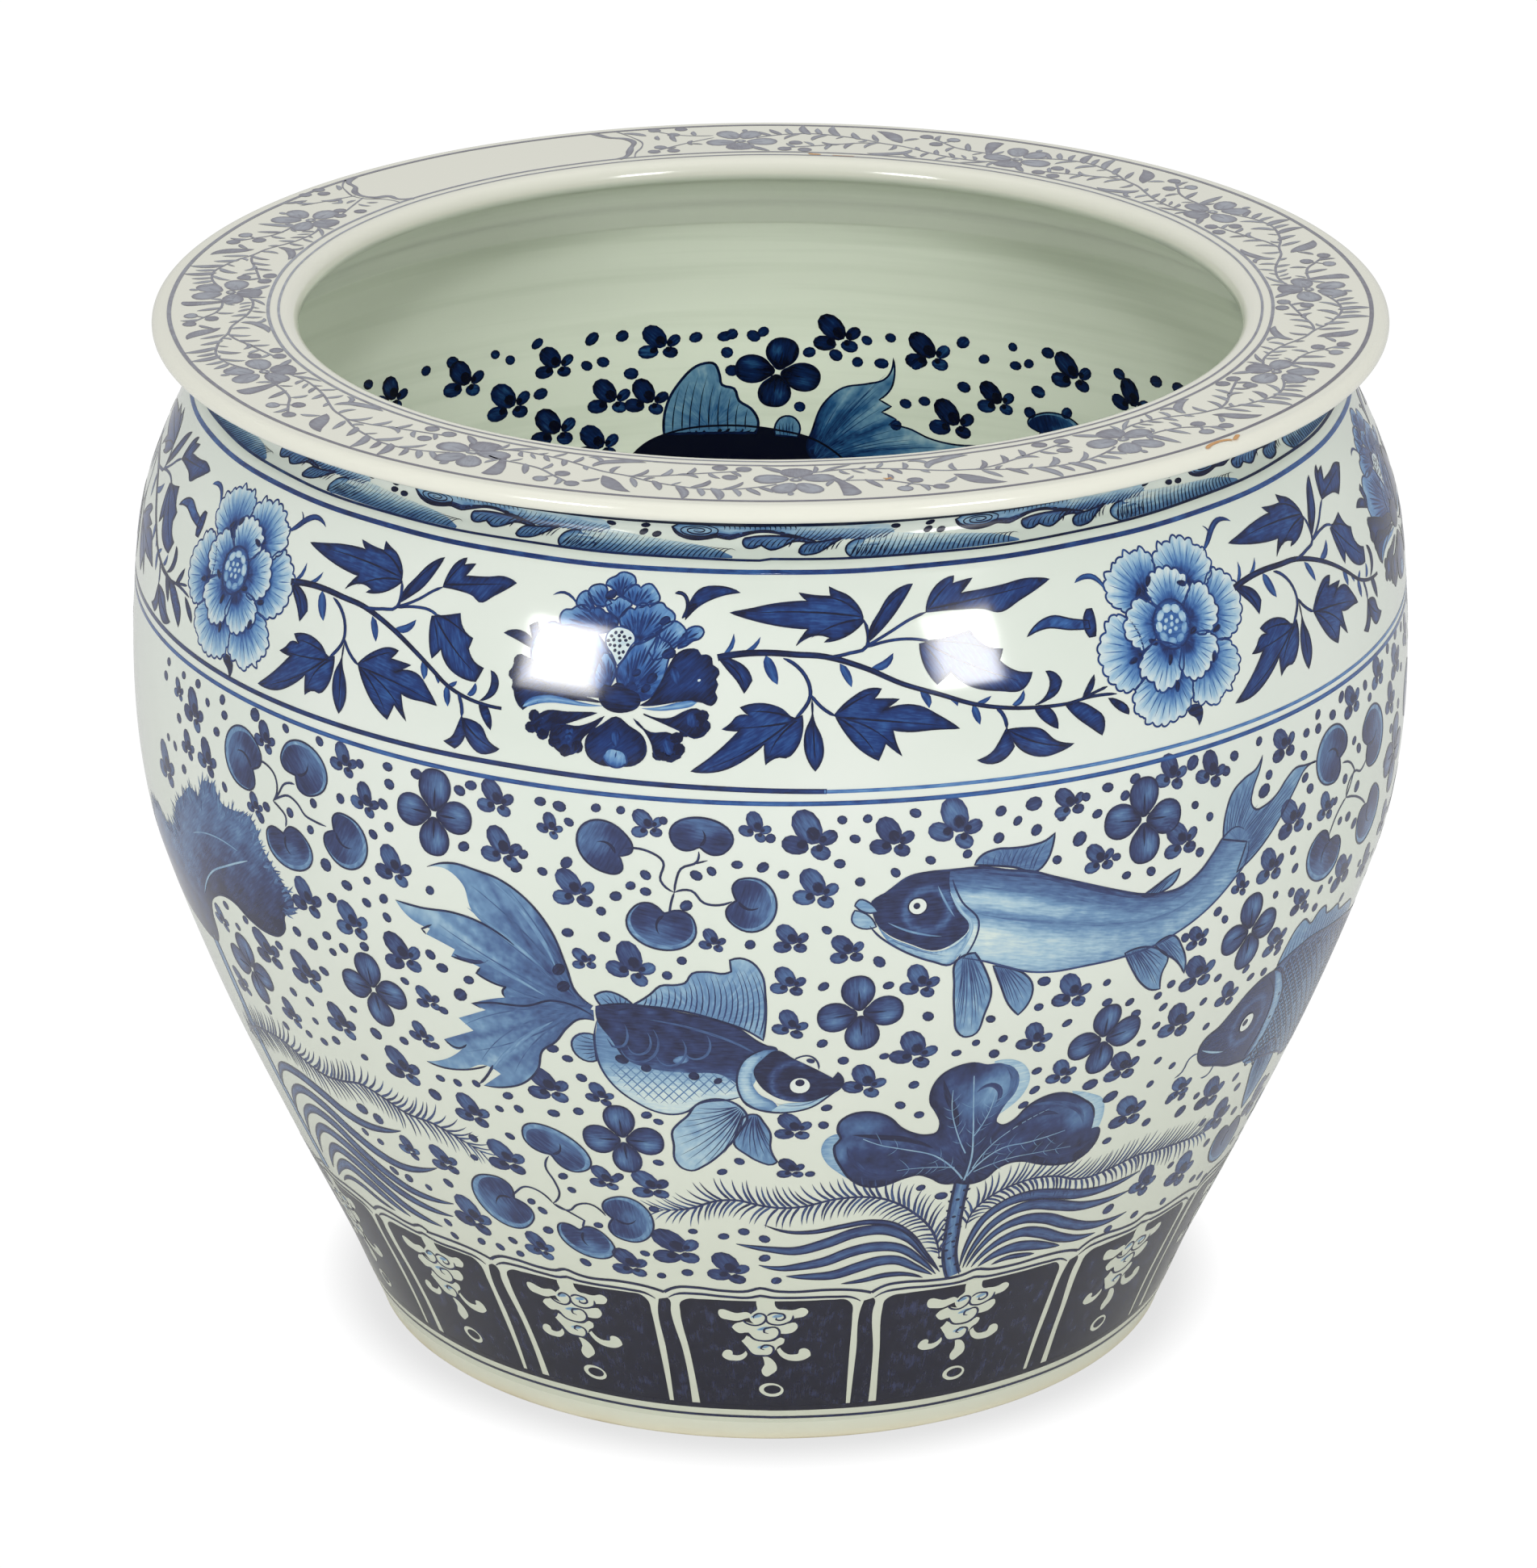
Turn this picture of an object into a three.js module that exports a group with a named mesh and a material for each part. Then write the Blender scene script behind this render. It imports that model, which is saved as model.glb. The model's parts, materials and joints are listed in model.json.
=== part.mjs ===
// Porcelain jardiniere: a wide fish-bowl planter with a flat everted rim, a short pinched neck,
// a full belly and a tapering foot. It is built as a large pot is built, from turned sections
// that are luted together before glazing: foot ring, base slab, three stacked wall sections and
// the rim. Each seam is a low tongue in a groove. Millimetres, +Z up, origin at the middle of
// the foot.
import * as THREE from "three";

// Heights of the sections, and of the lines that divide the outline
const FOOT_RECESS = 10;
const SLAB_THICKNESS = 16;
const LOWER_WALL_HEIGHT = 150;
const BELLY_WALL_HEIGHT = 150;
const SHOULDER_WALL_HEIGHT = 94;
const BELLY_LINE_RISE = 125;
const SHOULDER_LINE_RISE = 9;
const NECK_RISE = 11.5;
const FLANGE_RISE = 20.5;

// Radii of the outside, and of the mouth
const FOOT_RADIUS = 171.5;
const BELLY_RADIUS = 270;
const SHOULDER_RADIUS = 242.5;
const NECK_RADIUS = 230.5;
const RIM_RADIUS = 257.5;
const MOUTH_RADIUS = 197;

// How thick things are
const WALL_THICKNESS = 13;
const SLAB_SEAT_WIDTH = 8;
const CORNER_TOE = 12;
const CORNER_RISE = 22;
const LIP_THICKNESS = 7.6;
const MOUTH_THICKNESS = 9;

// Small rounds
const MOUTH_ROUND = 6;
const FOOT_ROUND = 2;

// The lutes between the sections
const TONGUE_WIDTH = 4;
const TONGUE_HEIGHT = 5;
const LUTE_CLEARANCE = 0.3;

// Fineness of the turned surfaces
const SEGMENTS = 64;
const ARC_STEPS = 4;
const STEP_HEIGHT = 25;

// Outlines, as shares of the way from one line to the next: [of the height, of the radius]
const LOWER_OUTLINE_SHARES = [
  [0, 0], [0.058, 0.068], [0.145, 0.171], [0.319, 0.401], [0.551, 0.688],
  [0.783, 0.922], [0.884, 0.979], [1, 1],
];
const UPPER_OUTLINE_SHARES = [[0.29, 0.044], [0.58, 0.2], [0.806, 0.56], [1, 1]];
const NECK_IN_SHARES = [[0.22, 0.22], [0.4, 0.52], [0.62, 0.82], [1, 1]];
const NECK_OUT_SHARES = [[0.3, 0.05], [0.6, 0.22], [0.85, 0.52]];
const UNDERCUT_SHARES = [[1, 1], [0.75, 0.5], [0.4, 0.14], [0, 0]];
const CORNER_SHARES = [[0.45, 0.22], [0.8, 0.55], [0.95, 0.8], [1, 1]];

const floorHeight = FOOT_RECESS + SLAB_THICKNESS;
const lowerSeam = FOOT_RECESS + LOWER_WALL_HEIGHT;
const bellySeam = lowerSeam + BELLY_WALL_HEIGHT;
const shoulderSeam = bellySeam + SHOULDER_WALL_HEIGHT;
const shoulderHeight = shoulderSeam + SHOULDER_LINE_RISE;
const neckHeight = shoulderHeight + NECK_RISE;
const rimHeight = neckHeight + FLANGE_RISE;

// Points at shares of the way between two corners given as [radius, height]
function between(start, end, shares) {
  return shares.map(([heightShare, radiusShare]) => [
    start[0] + (end[0] - start[0]) * radiusShare,
    start[1] + (end[1] - start[1]) * heightShare,
  ]);
}

// A smooth radius for any height, through [radius, height] points
function radiusThrough(points) {
  const slopes = points.map((_, i) => {
    const before = points[Math.max(i - 1, 0)];
    const after = points[Math.min(i + 1, points.length - 1)];
    return (after[0] - before[0]) / (after[1] - before[1]);
  });
  return (height) => {
    const above = points.findIndex(([, top]) => height <= top);
    const i = above < 0 ? points.length - 2 : Math.max(above - 1, 0);
    const [[r0, z0], [r1, z1]] = [points[i], points[i + 1]];
    const t = (height - z0) / (z1 - z0);
    const eased = r0 + (r1 - r0) * t * t * (3 - 2 * t);
    const bend = slopes[i] * t * (1 - t) * (1 - t) - slopes[i + 1] * t * t * (1 - t);
    return eased + (z1 - z0) * bend;
  };
}

const bellyPoint = [BELLY_RADIUS, lowerSeam + BELLY_LINE_RISE];
const shoulderPoint = [SHOULDER_RADIUS, shoulderHeight];
const outsideRadius = radiusThrough([
  ...between([FOOT_RADIUS, 0], bellyPoint, LOWER_OUTLINE_SHARES),
  ...between(bellyPoint, shoulderPoint, UPPER_OUTLINE_SHARES),
]);
const insideRadius = (height) => outsideRadius(height) - WALL_THICKNESS;

// [radius, height] points up a turned surface, from one height to another
function up(radiusAt, low, high) {
  const steps = Math.max(1, Math.round((high - low) / STEP_HEIGHT));
  return Array.from({ length: steps + 1 }, (_, i) => {
    const height = low + ((high - low) * i) / steps;
    return [radiusAt(height), height];
  });
}

const down = (radiusAt, high, low) => up(radiusAt, low, high).reverse();

// Points round an arc of the section. Angles are in quarter turns from straight out.
function arc([radius, height], round, from, to) {
  return Array.from({ length: ARC_STEPS + 1 }, (_, i) => {
    const angle = ((from + ((to - from) * i) / ARC_STEPS) * Math.PI) / 2;
    return [radius + round * Math.cos(angle), height + round * Math.sin(angle)];
  });
}

// The middle of the wall half way up a tongue that stands at this height
const tongueRadius = (height) =>
  outsideRadius(height + TONGUE_HEIGHT / 2) - WALL_THICKNESS / 2;

// The tongue on top of a section, from outside to inside
function tongue(height) {
  const middle = tongueRadius(height);
  const half = TONGUE_WIDTH / 2;
  return [
    [middle + half, height],
    [middle + half, height + TONGUE_HEIGHT],
    [middle - half, height + TONGUE_HEIGHT],
    [middle - half, height],
  ];
}

// The groove under a section that takes the tongue below it, from inside to outside
function groove(height) {
  const middle = tongueRadius(height);
  const half = TONGUE_WIDTH / 2 + LUTE_CLEARANCE;
  const top = height + TONGUE_HEIGHT + LUTE_CLEARANCE;
  return [
    [middle - half, height],
    [middle - half, top],
    [middle + half, top],
    [middle + half, height],
  ];
}

// Turns [radius, height] points about the upright axis. The lathe's own axis is Y.
function turned(name, points, material) {
  const outline = points.map(([radius, height]) => new THREE.Vector2(radius, height));
  const mesh = new THREE.Mesh(new THREE.LatheGeometry(outline, SEGMENTS), material);
  mesh.name = name;
  mesh.rotation.x = Math.PI / 2;
  return mesh;
}

// A ring, from an outline that runs up the outside and down the inside
const ring = (name, outline, material) => turned(name, [...outline, outline[0]], material);

const glazed = (color) =>
  new THREE.MeshStandardMaterial({ color, roughness: 0.12, metalness: 0 });
const wallGlaze = glazed(0xe3ebdc);
const rimGlaze = glazed(0xe9e8da);
const slabGlaze = glazed(0xdfe6d8);
const bareFoot = new THREE.MeshStandardMaterial({
  color: 0xd9d2b4,
  roughness: 0.75,
  metalness: 0,
});

const slabRadius = insideRadius(FOOT_RECESS) - LUTE_CLEARANCE;

// The ring that the pot stands on, with a ledge inside the wall for the slab
function footRing() {
  const inner = slabRadius - SLAB_SEAT_WIDTH;
  return ring("foot_ring", [
    ...arc([FOOT_RADIUS - FOOT_ROUND, FOOT_ROUND], FOOT_ROUND, -1, 0),
    [outsideRadius(FOOT_RECESS), FOOT_RECESS],
    [inner, FOOT_RECESS],
    ...arc([inner + FOOT_ROUND, FOOT_ROUND], FOOT_ROUND, -2, -1),
  ], bareFoot);
}

function baseSlab() {
  return turned("base_slab", [
    [0, FOOT_RECESS],
    [slabRadius, FOOT_RECESS],
    [slabRadius, floorHeight],
    [0, floorHeight],
  ], slabGlaze);
}

// Stands on the foot ring, round the slab. Its toe lies on the slab's edge and rounds the
// inside corner.
function lowerWall() {
  const cornerTop = floorHeight + CORNER_RISE;
  const cornerStart = [insideRadius(cornerTop), cornerTop];
  const toe = [slabRadius - CORNER_TOE, floorHeight];
  return ring("lower_wall", [
    ...up(outsideRadius, FOOT_RECESS, lowerSeam),
    ...tongue(lowerSeam),
    ...down(insideRadius, lowerSeam, cornerTop),
    ...between(cornerStart, toe, CORNER_SHARES),
    [slabRadius + LUTE_CLEARANCE, floorHeight],
    [slabRadius + LUTE_CLEARANCE, FOOT_RECESS],
  ], wallGlaze);
}

function wallSection(name, low, high) {
  return ring(name, [
    ...up(outsideRadius, low, high),
    ...tongue(high),
    ...down(insideRadius, high, low),
    ...groove(low),
  ], wallGlaze);
}

// Neck and flange in one section: out under the lip, over its nose, across the flat top, in
// round the mouth and back down behind the undercut
function rimFlange() {
  const neckPoint = [NECK_RADIUS, neckHeight];
  const innerNeck = [NECK_RADIUS - WALL_THICKNESS, neckHeight];
  const lipNose = LIP_THICKNESS / 2;
  const lipCentre = [RIM_RADIUS - lipNose, rimHeight - lipNose];
  const lipFoot = [lipCentre[0], rimHeight - LIP_THICKNESS];
  const mouthCentre = [MOUTH_RADIUS + MOUTH_ROUND, rimHeight - MOUTH_ROUND];
  const mouthFoot = [MOUTH_RADIUS, rimHeight - MOUTH_THICKNESS];
  return ring("rim_flange", [
    ...up(outsideRadius, shoulderSeam, shoulderHeight),
    ...between(shoulderPoint, neckPoint, NECK_IN_SHARES),
    ...between(neckPoint, lipFoot, NECK_OUT_SHARES),
    ...arc(lipCentre, lipNose, -1, 1),
    ...arc(mouthCentre, MOUTH_ROUND, 1, 2),
    ...between(innerNeck, mouthFoot, UNDERCUT_SHARES),
    [insideRadius(shoulderSeam), shoulderSeam],
    ...groove(shoulderSeam),
  ], rimGlaze);
}

const jardiniere = new THREE.Group();
jardiniere.add(
  footRing(),
  baseSlab(),
  lowerWall(),
  wallSection("belly_wall", lowerSeam, bellySeam),
  wallSection("shoulder_wall", bellySeam, shoulderSeam),
  rimFlange(),
);

export default jardiniere;
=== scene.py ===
"""Porcelain jardiniere in underglaze blue: the turned body, the painting over it, the camera and the light.

The pot stands on the floor at z = 0, its axis is the z axis, and its front faces -Y. Lengths are millimetres
until a mesh is made. The outside is drawn on a sheet: u is the distance round the widest line from the front
centre, to the right as seen from outside, and z is the height.
"""
import json
import math
import random

import bpy
import numpy as np
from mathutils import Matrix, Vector
from mathutils.geometry import delaunay_2d_cdt

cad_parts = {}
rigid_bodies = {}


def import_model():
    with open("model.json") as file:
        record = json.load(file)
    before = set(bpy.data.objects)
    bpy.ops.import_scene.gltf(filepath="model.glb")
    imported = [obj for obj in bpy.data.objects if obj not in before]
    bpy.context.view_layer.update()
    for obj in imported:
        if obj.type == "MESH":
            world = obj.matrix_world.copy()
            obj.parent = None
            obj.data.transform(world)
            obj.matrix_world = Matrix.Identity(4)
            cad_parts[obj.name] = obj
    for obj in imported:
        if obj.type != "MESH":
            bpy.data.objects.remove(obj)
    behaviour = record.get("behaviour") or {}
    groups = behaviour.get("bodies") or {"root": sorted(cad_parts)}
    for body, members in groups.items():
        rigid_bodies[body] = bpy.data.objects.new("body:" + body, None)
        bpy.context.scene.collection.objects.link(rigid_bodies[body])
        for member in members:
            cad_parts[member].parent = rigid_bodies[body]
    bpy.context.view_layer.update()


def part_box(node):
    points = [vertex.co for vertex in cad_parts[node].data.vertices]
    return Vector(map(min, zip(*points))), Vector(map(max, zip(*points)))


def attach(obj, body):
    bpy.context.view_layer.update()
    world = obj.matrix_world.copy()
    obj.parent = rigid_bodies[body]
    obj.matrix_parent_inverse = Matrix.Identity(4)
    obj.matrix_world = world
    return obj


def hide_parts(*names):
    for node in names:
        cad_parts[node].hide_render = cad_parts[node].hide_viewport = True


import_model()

MM = 0.001
TAU = 2 * math.pi

# Heights and radii, read from the frame where it holds them
FOOT_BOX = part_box("foot_ring")
BELLY_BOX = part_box("belly_wall")
SHOULDER_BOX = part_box("shoulder_wall")
RIM_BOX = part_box("rim_flange")
TOP = RIM_BOX[1].z / MM
BELLY = BELLY_BOX[1].x / MM
BELLY_FOOT = BELLY_BOX[0].z / MM
SHOULDER_FOOT = SHOULDER_BOX[0].z / MM
NECK_FOOT = RIM_BOX[0].z / MM
SLAB_FOOT = round(FOOT_BOX[1].z / MM, 1)
SLAB_TOP = 26.0
WIDEST = 285.0
FOOT = 171.5
FOOT_HEEL = 154.2
SHOULDER = 242.5
SHOULDER_LINE = 413.0
NECK = 230.5
NECK_LINE = 424.5
WALL = 13.0
LIP_CENTRE = (253.7, 441.2)
LIP_RADIUS = 3.8
LIP_FOOT = 437.4
MOUTH_CENTRE = (203.0, 439.0)
MOUTH_RADIUS = 6.0
FOOT_ROUND = 2.0


def xy(*numbers):
    """Numbers taken two by two, as a list of points."""
    return list(zip(numbers[::2], numbers[1::2]))


def between(start, end, shares):
    """Points from start to end, at (share of the height, share of the radius)."""
    line = []
    for up, out in shares:
        line.append((start[0] + (end[0] - start[0]) * out, start[1] + (end[1] - start[1]) * up))
    return line


# The outline, as (radius, height) points from the foot to the foot of the lip
LOWER = xy(0,0, 0.058,0.068, 0.145,0.171, 0.319,0.401, 0.551,0.688, 0.783,0.922, 0.884,0.979, 1,1)
UPPER = xy(0.29,0.044, 0.58,0.2, 0.806,0.56, 1,1)
WALL_LINE = between((FOOT, 0), (BELLY, WIDEST), LOWER)
WALL_LINE += between((BELLY, WIDEST), (SHOULDER, SHOULDER_LINE), UPPER)
NECK_IN = xy(0,0, 0.22,0.22, 0.4,0.52, 0.62,0.82, 1,1)
NECK_OUT = xy(0.3,0.05, 0.6,0.22, 0.85,0.52, 1,1)
NECK_CURVE = between((SHOULDER, SHOULDER_LINE), (NECK, NECK_LINE), NECK_IN)
NECK_CURVE += between((NECK, NECK_LINE), (LIP_CENTRE[0], LIP_FOOT), NECK_OUT)
UNDERCUT = xy(1,1, 0.75,0.5, 0.4,0.14, 0,0)


def line_slopes(line):
    slopes = []
    for i in range(len(line)):
        below = line[max(i - 1, 0)]
        above = line[min(i + 1, len(line) - 1)]
        slopes.append((above[0] - below[0]) / (above[1] - below[1]))
    return slopes


def smooth_radius(line, slopes, z):
    """The radius at heights z on a smooth curve through the (radius, height) points."""
    radii = np.array([p[0] for p in line])
    heights = np.array([p[1] for p in line])
    slope = np.array(slopes)
    z = np.clip(np.asarray(z, float), heights[0], heights[-1])
    i = np.clip(np.searchsorted(heights, z) - 1, 0, len(line) - 2)
    span = heights[i + 1] - heights[i]
    t = (z - heights[i]) / span
    bend = slope[i] * t * (1 - t) ** 2 - slope[i + 1] * t * t * (1 - t)
    return radii[i] + (radii[i + 1] - radii[i]) * t * t * (3 - 2 * t) + span * bend


WALL_SLOPES = line_slopes(WALL_LINE)
NECK_SLOPES = line_slopes(NECK_CURVE)


def wall_radius(z):
    """The outside radius at height z, up to the foot of the lip."""
    z = np.asarray(z, float)
    wall = smooth_radius(WALL_LINE, WALL_SLOPES, z)
    neck = smooth_radius(NECK_CURVE, NECK_SLOPES, z)
    return np.where(z <= SHOULDER_LINE, wall, neck)


def wall_slope(z):
    z = np.asarray(z, float)
    step = 0.05
    return (wall_radius(z + step) - wall_radius(z - step)) / (2 * step)


class Outside:
    """The outer face of the pot."""

    @staticmethod
    def place(sheet, lift):
        angle = sheet[:, 0] / BELLY
        z = sheet[:, 1]
        radius = wall_radius(z)
        slope = wall_slope(z)
        long = np.sqrt(1 + slope**2)
        out = 1 / long
        up = -slope / long
        normals = np.stack([np.sin(angle) * out, -np.cos(angle) * out, up], 1)
        reach = radius + lift * out
        points = np.stack([np.sin(angle) * reach, -np.cos(angle) * reach, z + lift * up], 1)
        return points, normals

    @staticmethod
    def metric(sheet):
        z = sheet[:, 1]
        return wall_radius(z) / BELLY, np.sqrt(1 + wall_slope(z) ** 2)


class RimTop:
    """The flat top of the rim: u is the distance round at radius 229.5 from the front, z is the radius."""

    ROUND = 229.5

    @staticmethod
    def place(sheet, lift):
        angle = sheet[:, 0] / RimTop.ROUND
        radius = sheet[:, 1]
        height = np.full(len(radius), TOP + lift)
        points = np.stack([np.sin(angle) * radius, -np.cos(angle) * radius, height], 1)
        normals = np.tile([0.0, 0.0, 1.0], (len(radius), 1))
        return points, normals

    @staticmethod
    def metric(sheet):
        return sheet[:, 1] / RimTop.ROUND, np.ones(len(sheet))


class Inside:
    """The inner face: u is the distance round at radius 230 from the back middle, z is the height."""

    ROUND = 230.0

    @staticmethod
    def place(sheet, lift):
        angle = sheet[:, 0] / Inside.ROUND
        z = sheet[:, 1]
        slope = wall_slope(z)
        long = np.sqrt(1 + slope**2)
        reach = wall_radius(z) - WALL - lift
        points = np.stack([np.sin(angle) * reach, np.cos(angle) * reach, z], 1)
        normals = np.stack([-np.sin(angle) / long, -np.cos(angle) / long, slope / long], 1)
        return points, normals

    @staticmethod
    def metric(sheet):
        z = sheet[:, 1]
        return (wall_radius(z) - WALL) / Inside.ROUND, np.sqrt(1 + wall_slope(z) ** 2)


# Meshes


def linear(colour):
    """A colour written in the usual 0 to 255 steps, as the light values that materials use."""
    values = []
    for part in colour:
        share = part / 255
        values.append(share / 12.92 if share <= 0.04045 else ((share + 0.055) / 1.055) ** 2.4)
    return (*values, 1.0)


def make_object(name, points, faces, normals=None, attributes=None, material=None):
    mesh = bpy.data.meshes.new(name)
    mesh.from_pydata((np.asarray(points) * MM).tolist(), [], faces)
    for key, (kind, values) in (attributes or {}).items():
        layer = mesh.attributes.new(key, kind, "POINT")
        field = "vector" if kind == "FLOAT_VECTOR" else "value"
        layer.data.foreach_set(field, np.asarray(values, np.float32).ravel())
    mesh.polygons.foreach_set("use_smooth", [True] * len(mesh.polygons))
    if normals is not None:
        mesh.normals_split_custom_set_from_vertices(np.asarray(normals).tolist())
    if material:
        mesh.materials.append(material)
    obj = bpy.data.objects.new(name, mesh)
    bpy.context.scene.collection.objects.link(obj)
    return obj


ROUND_STEPS = 512


def turned(name, outline, material, ring_normals, tint=None):
    """A closed ring turned from (radius, height) points, in order with the inside to their left."""
    angles = np.arange(ROUND_STEPS) * TAU / ROUND_STEPS
    sine = np.sin(angles)[:, None]
    cosine = -np.cos(angles)[:, None]
    radius = np.array([p[0] for p in outline])[None, :]
    height = np.array([p[1] for p in outline])[None, :] + 0 * sine
    points = np.stack([radius * sine, radius * cosine, height], 2).reshape(-1, 3)
    out = np.array([n[0] for n in ring_normals])[None, :]
    up = np.array([n[1] for n in ring_normals])[None, :] + 0 * sine
    normals = np.stack([out * sine, out * cosine, up], 2).reshape(-1, 3)
    count = len(outline)
    faces = []
    for i in range(ROUND_STEPS):
        here = i * count
        there = (i + 1) % ROUND_STEPS * count
        for j in range(count):
            k = (j + 1) % count
            if outline[j][0] < 1e-6 and outline[k][0] < 1e-6:
                continue
            faces.append((here + j, there + j, there + k, here + k))
    values = np.tile(np.array(tint if tint is not None else [0.0] * count), ROUND_STEPS)
    attributes = {"tint": ("FLOAT", values)}
    return make_object(name, points, faces, normals, attributes, material)


def outline_normals(outline):
    """Normals (outward, up) at each point of a closed outline, smooth except where the line turns sharply."""
    normals = []
    count = len(outline)
    for j in range(count):
        a = outline[j - 1]
        b = outline[j]
        c = outline[(j + 1) % count]
        first = (b[1] - a[1], a[0] - b[0])
        second = (c[1] - b[1], b[0] - c[0])
        one = math.hypot(*first) or 1
        two = math.hypot(*second) or 1
        both = (first[0] / one + second[0] / two, first[1] / one + second[1] / two)
        size = math.hypot(*both) or 1
        normals.append((both[0] / size, both[1] / size))
    return normals


def rise(start, end, step=3.0):
    count = max(1, round(abs(end - start) / step))
    return [start + (end - start) * i / count for i in range(count + 1)]


def arc(centre, radius, start, end, steps):
    points = []
    for i in range(steps + 1):
        angle = math.radians(start + (end - start) * i / steps)
        points.append((centre[0] + radius * math.cos(angle), centre[1] + radius * math.sin(angle)))
    return points


def drop_repeats(line):
    kept = []
    for point in line:
        if not kept or math.dist(point, kept[-1]) > 0.02:
            kept.append(point)
    if math.dist(kept[0], kept[-1]) < 0.02:
        kept.pop()
    return kept


# Materials


def link(tree, source, target):
    tree.links.new(source, target)


def new_material(name, roughness=0.09, shine=0.5):
    material = bpy.data.materials.new(name)
    material.use_nodes = True
    shader = material.node_tree.nodes["Principled BSDF"]
    shader.inputs["Roughness"].default_value = roughness
    shader.inputs["Specular IOR Level"].default_value = shine
    return material, material.node_tree, shader


def add_node(tree, kind, **inputs):
    node = tree.nodes.new(kind)
    for key, value in inputs.items():
        node.inputs[key].default_value = value
    return node


def read_attribute(tree, name):
    node = tree.nodes.new("ShaderNodeAttribute")
    node.attribute_name = name
    return node


def arithmetic(tree, way, first, second):
    node = tree.nodes.new("ShaderNodeMath")
    node.operation = way
    for slot, value in enumerate((first, second)):
        if isinstance(value, (int, float)):
            node.inputs[slot].default_value = value
        else:
            link(tree, value, node.inputs[slot])
    return node.outputs[0]


def blend(tree, share, first, second):
    """The first colour, going over to the second as share goes from 0 to 1."""
    node = tree.nodes.new("ShaderNodeMix")
    node.data_type = "RGBA"
    link(tree, share, node.inputs["Factor"])
    link(tree, first, node.inputs[6])
    if isinstance(second, tuple):
        node.inputs[7].default_value = linear(second)
    else:
        link(tree, second, node.inputs[7])
    return node.outputs[2]


def squeezed(tree, place, sizes):
    node = tree.nodes.new("ShaderNodeVectorMath")
    node.operation = "MULTIPLY"
    node.inputs[1].default_value = sizes
    link(tree, place, node.inputs[0])
    return node.outputs[0]


def noise_about_zero(tree, noise, size):
    return arithmetic(tree, "MULTIPLY", arithmetic(tree, "SUBTRACT", noise.outputs["Fac"], 0.5), size)


def ramp(tree, source, stops):
    node = tree.nodes.new("ShaderNodeValToRGB")
    stops_here = node.color_ramp.elements
    while len(stops_here) < len(stops):
        stops_here.new(1.0)
    for element, (place, colour) in zip(stops_here, stops):
        element.position = place
        element.color = linear(colour)
    link(tree, source, node.inputs["Fac"])
    return node.outputs["Color"]


GLAZE = (231, 237, 228)
GLAZE_SHADE = (224, 232, 221)
GLAZE_LOW = (222, 226, 206)
GLAZE_RIM = (238, 238, 224)
GLAZE_INSIDE = (215, 222, 206)
GLAZE_THROWN = (204, 212, 195)


CLEAR = 0.09


def make_porcelain(name, roughness=CLEAR):
    """The clear glaze over white clay: faintly green, warmer low down and on the rim, slightly clouded."""
    material, tree, shader = new_material(name, roughness)
    cloud = add_node(tree, "ShaderNodeTexNoise", Scale=9.0, Detail=2.0, Roughness=0.5)
    place = tree.nodes.new("ShaderNodeTexCoord")
    link(tree, place.outputs["Object"], cloud.inputs["Vector"])
    skin = ramp(tree, cloud.outputs["Fac"], [(0.3, GLAZE_SHADE), (0.7, GLAZE)])
    split = tree.nodes.new("ShaderNodeSeparateXYZ")
    link(tree, place.outputs["Object"], split.inputs[0])
    low = arithmetic(tree, "DIVIDE", arithmetic(tree, "SUBTRACT", 0.32, split.outputs[2]), 0.3)
    warm = blend(tree, low, skin, GLAZE_LOW)
    high = arithmetic(tree, "DIVIDE", arithmetic(tree, "SUBTRACT", split.outputs[2], 0.433), 0.006)
    cream = blend(tree, high, warm, GLAZE_RIM)
    flat = squeezed(tree, place.outputs["Object"], (3.0, 3.0, 80.0))
    turning = add_node(tree, "ShaderNodeTexNoise", Scale=1.0, Detail=3.0, Roughness=0.6)
    link(tree, flat, turning.inputs["Vector"])
    inside = ramp(tree, turning.outputs["Fac"], [(0.32, GLAZE_THROWN), (0.52, GLAZE_INSIDE)])
    tint = read_attribute(tree, "tint").outputs["Fac"]
    link(tree, blend(tree, tint, cream, inside), shader.inputs["Base Color"])
    return material


def make_paint(name, stops, streak, blot=0.1, roughness=CLEAR, shine=0.5):
    """Blue under the glaze: its strength follows the brush, with streaks along the stroke and soft blots."""
    material, tree, shader = new_material(name, roughness, shine)
    tone = read_attribute(tree, "tone").outputs["Fac"]
    grain = read_attribute(tree, "grain").outputs["Vector"]
    hair = add_node(tree, "ShaderNodeTexNoise", Scale=1.0, Detail=2.0, Roughness=0.6)
    link(tree, squeezed(tree, grain, (1.1, 0.14, 1.0)), hair.inputs["Vector"])
    soft = add_node(tree, "ShaderNodeTexNoise", Scale=0.16, Detail=2.0, Roughness=0.55)
    link(tree, grain, soft.inputs["Vector"])
    streaks = noise_about_zero(tree, hair, streak * 2)
    blots = noise_about_zero(tree, soft, blot * 2)
    total = arithmetic(tree, "ADD", arithmetic(tree, "ADD", tone, streaks), blots)
    link(tree, ramp(tree, total, stops), shader.inputs["Base Color"])
    return material


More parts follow.
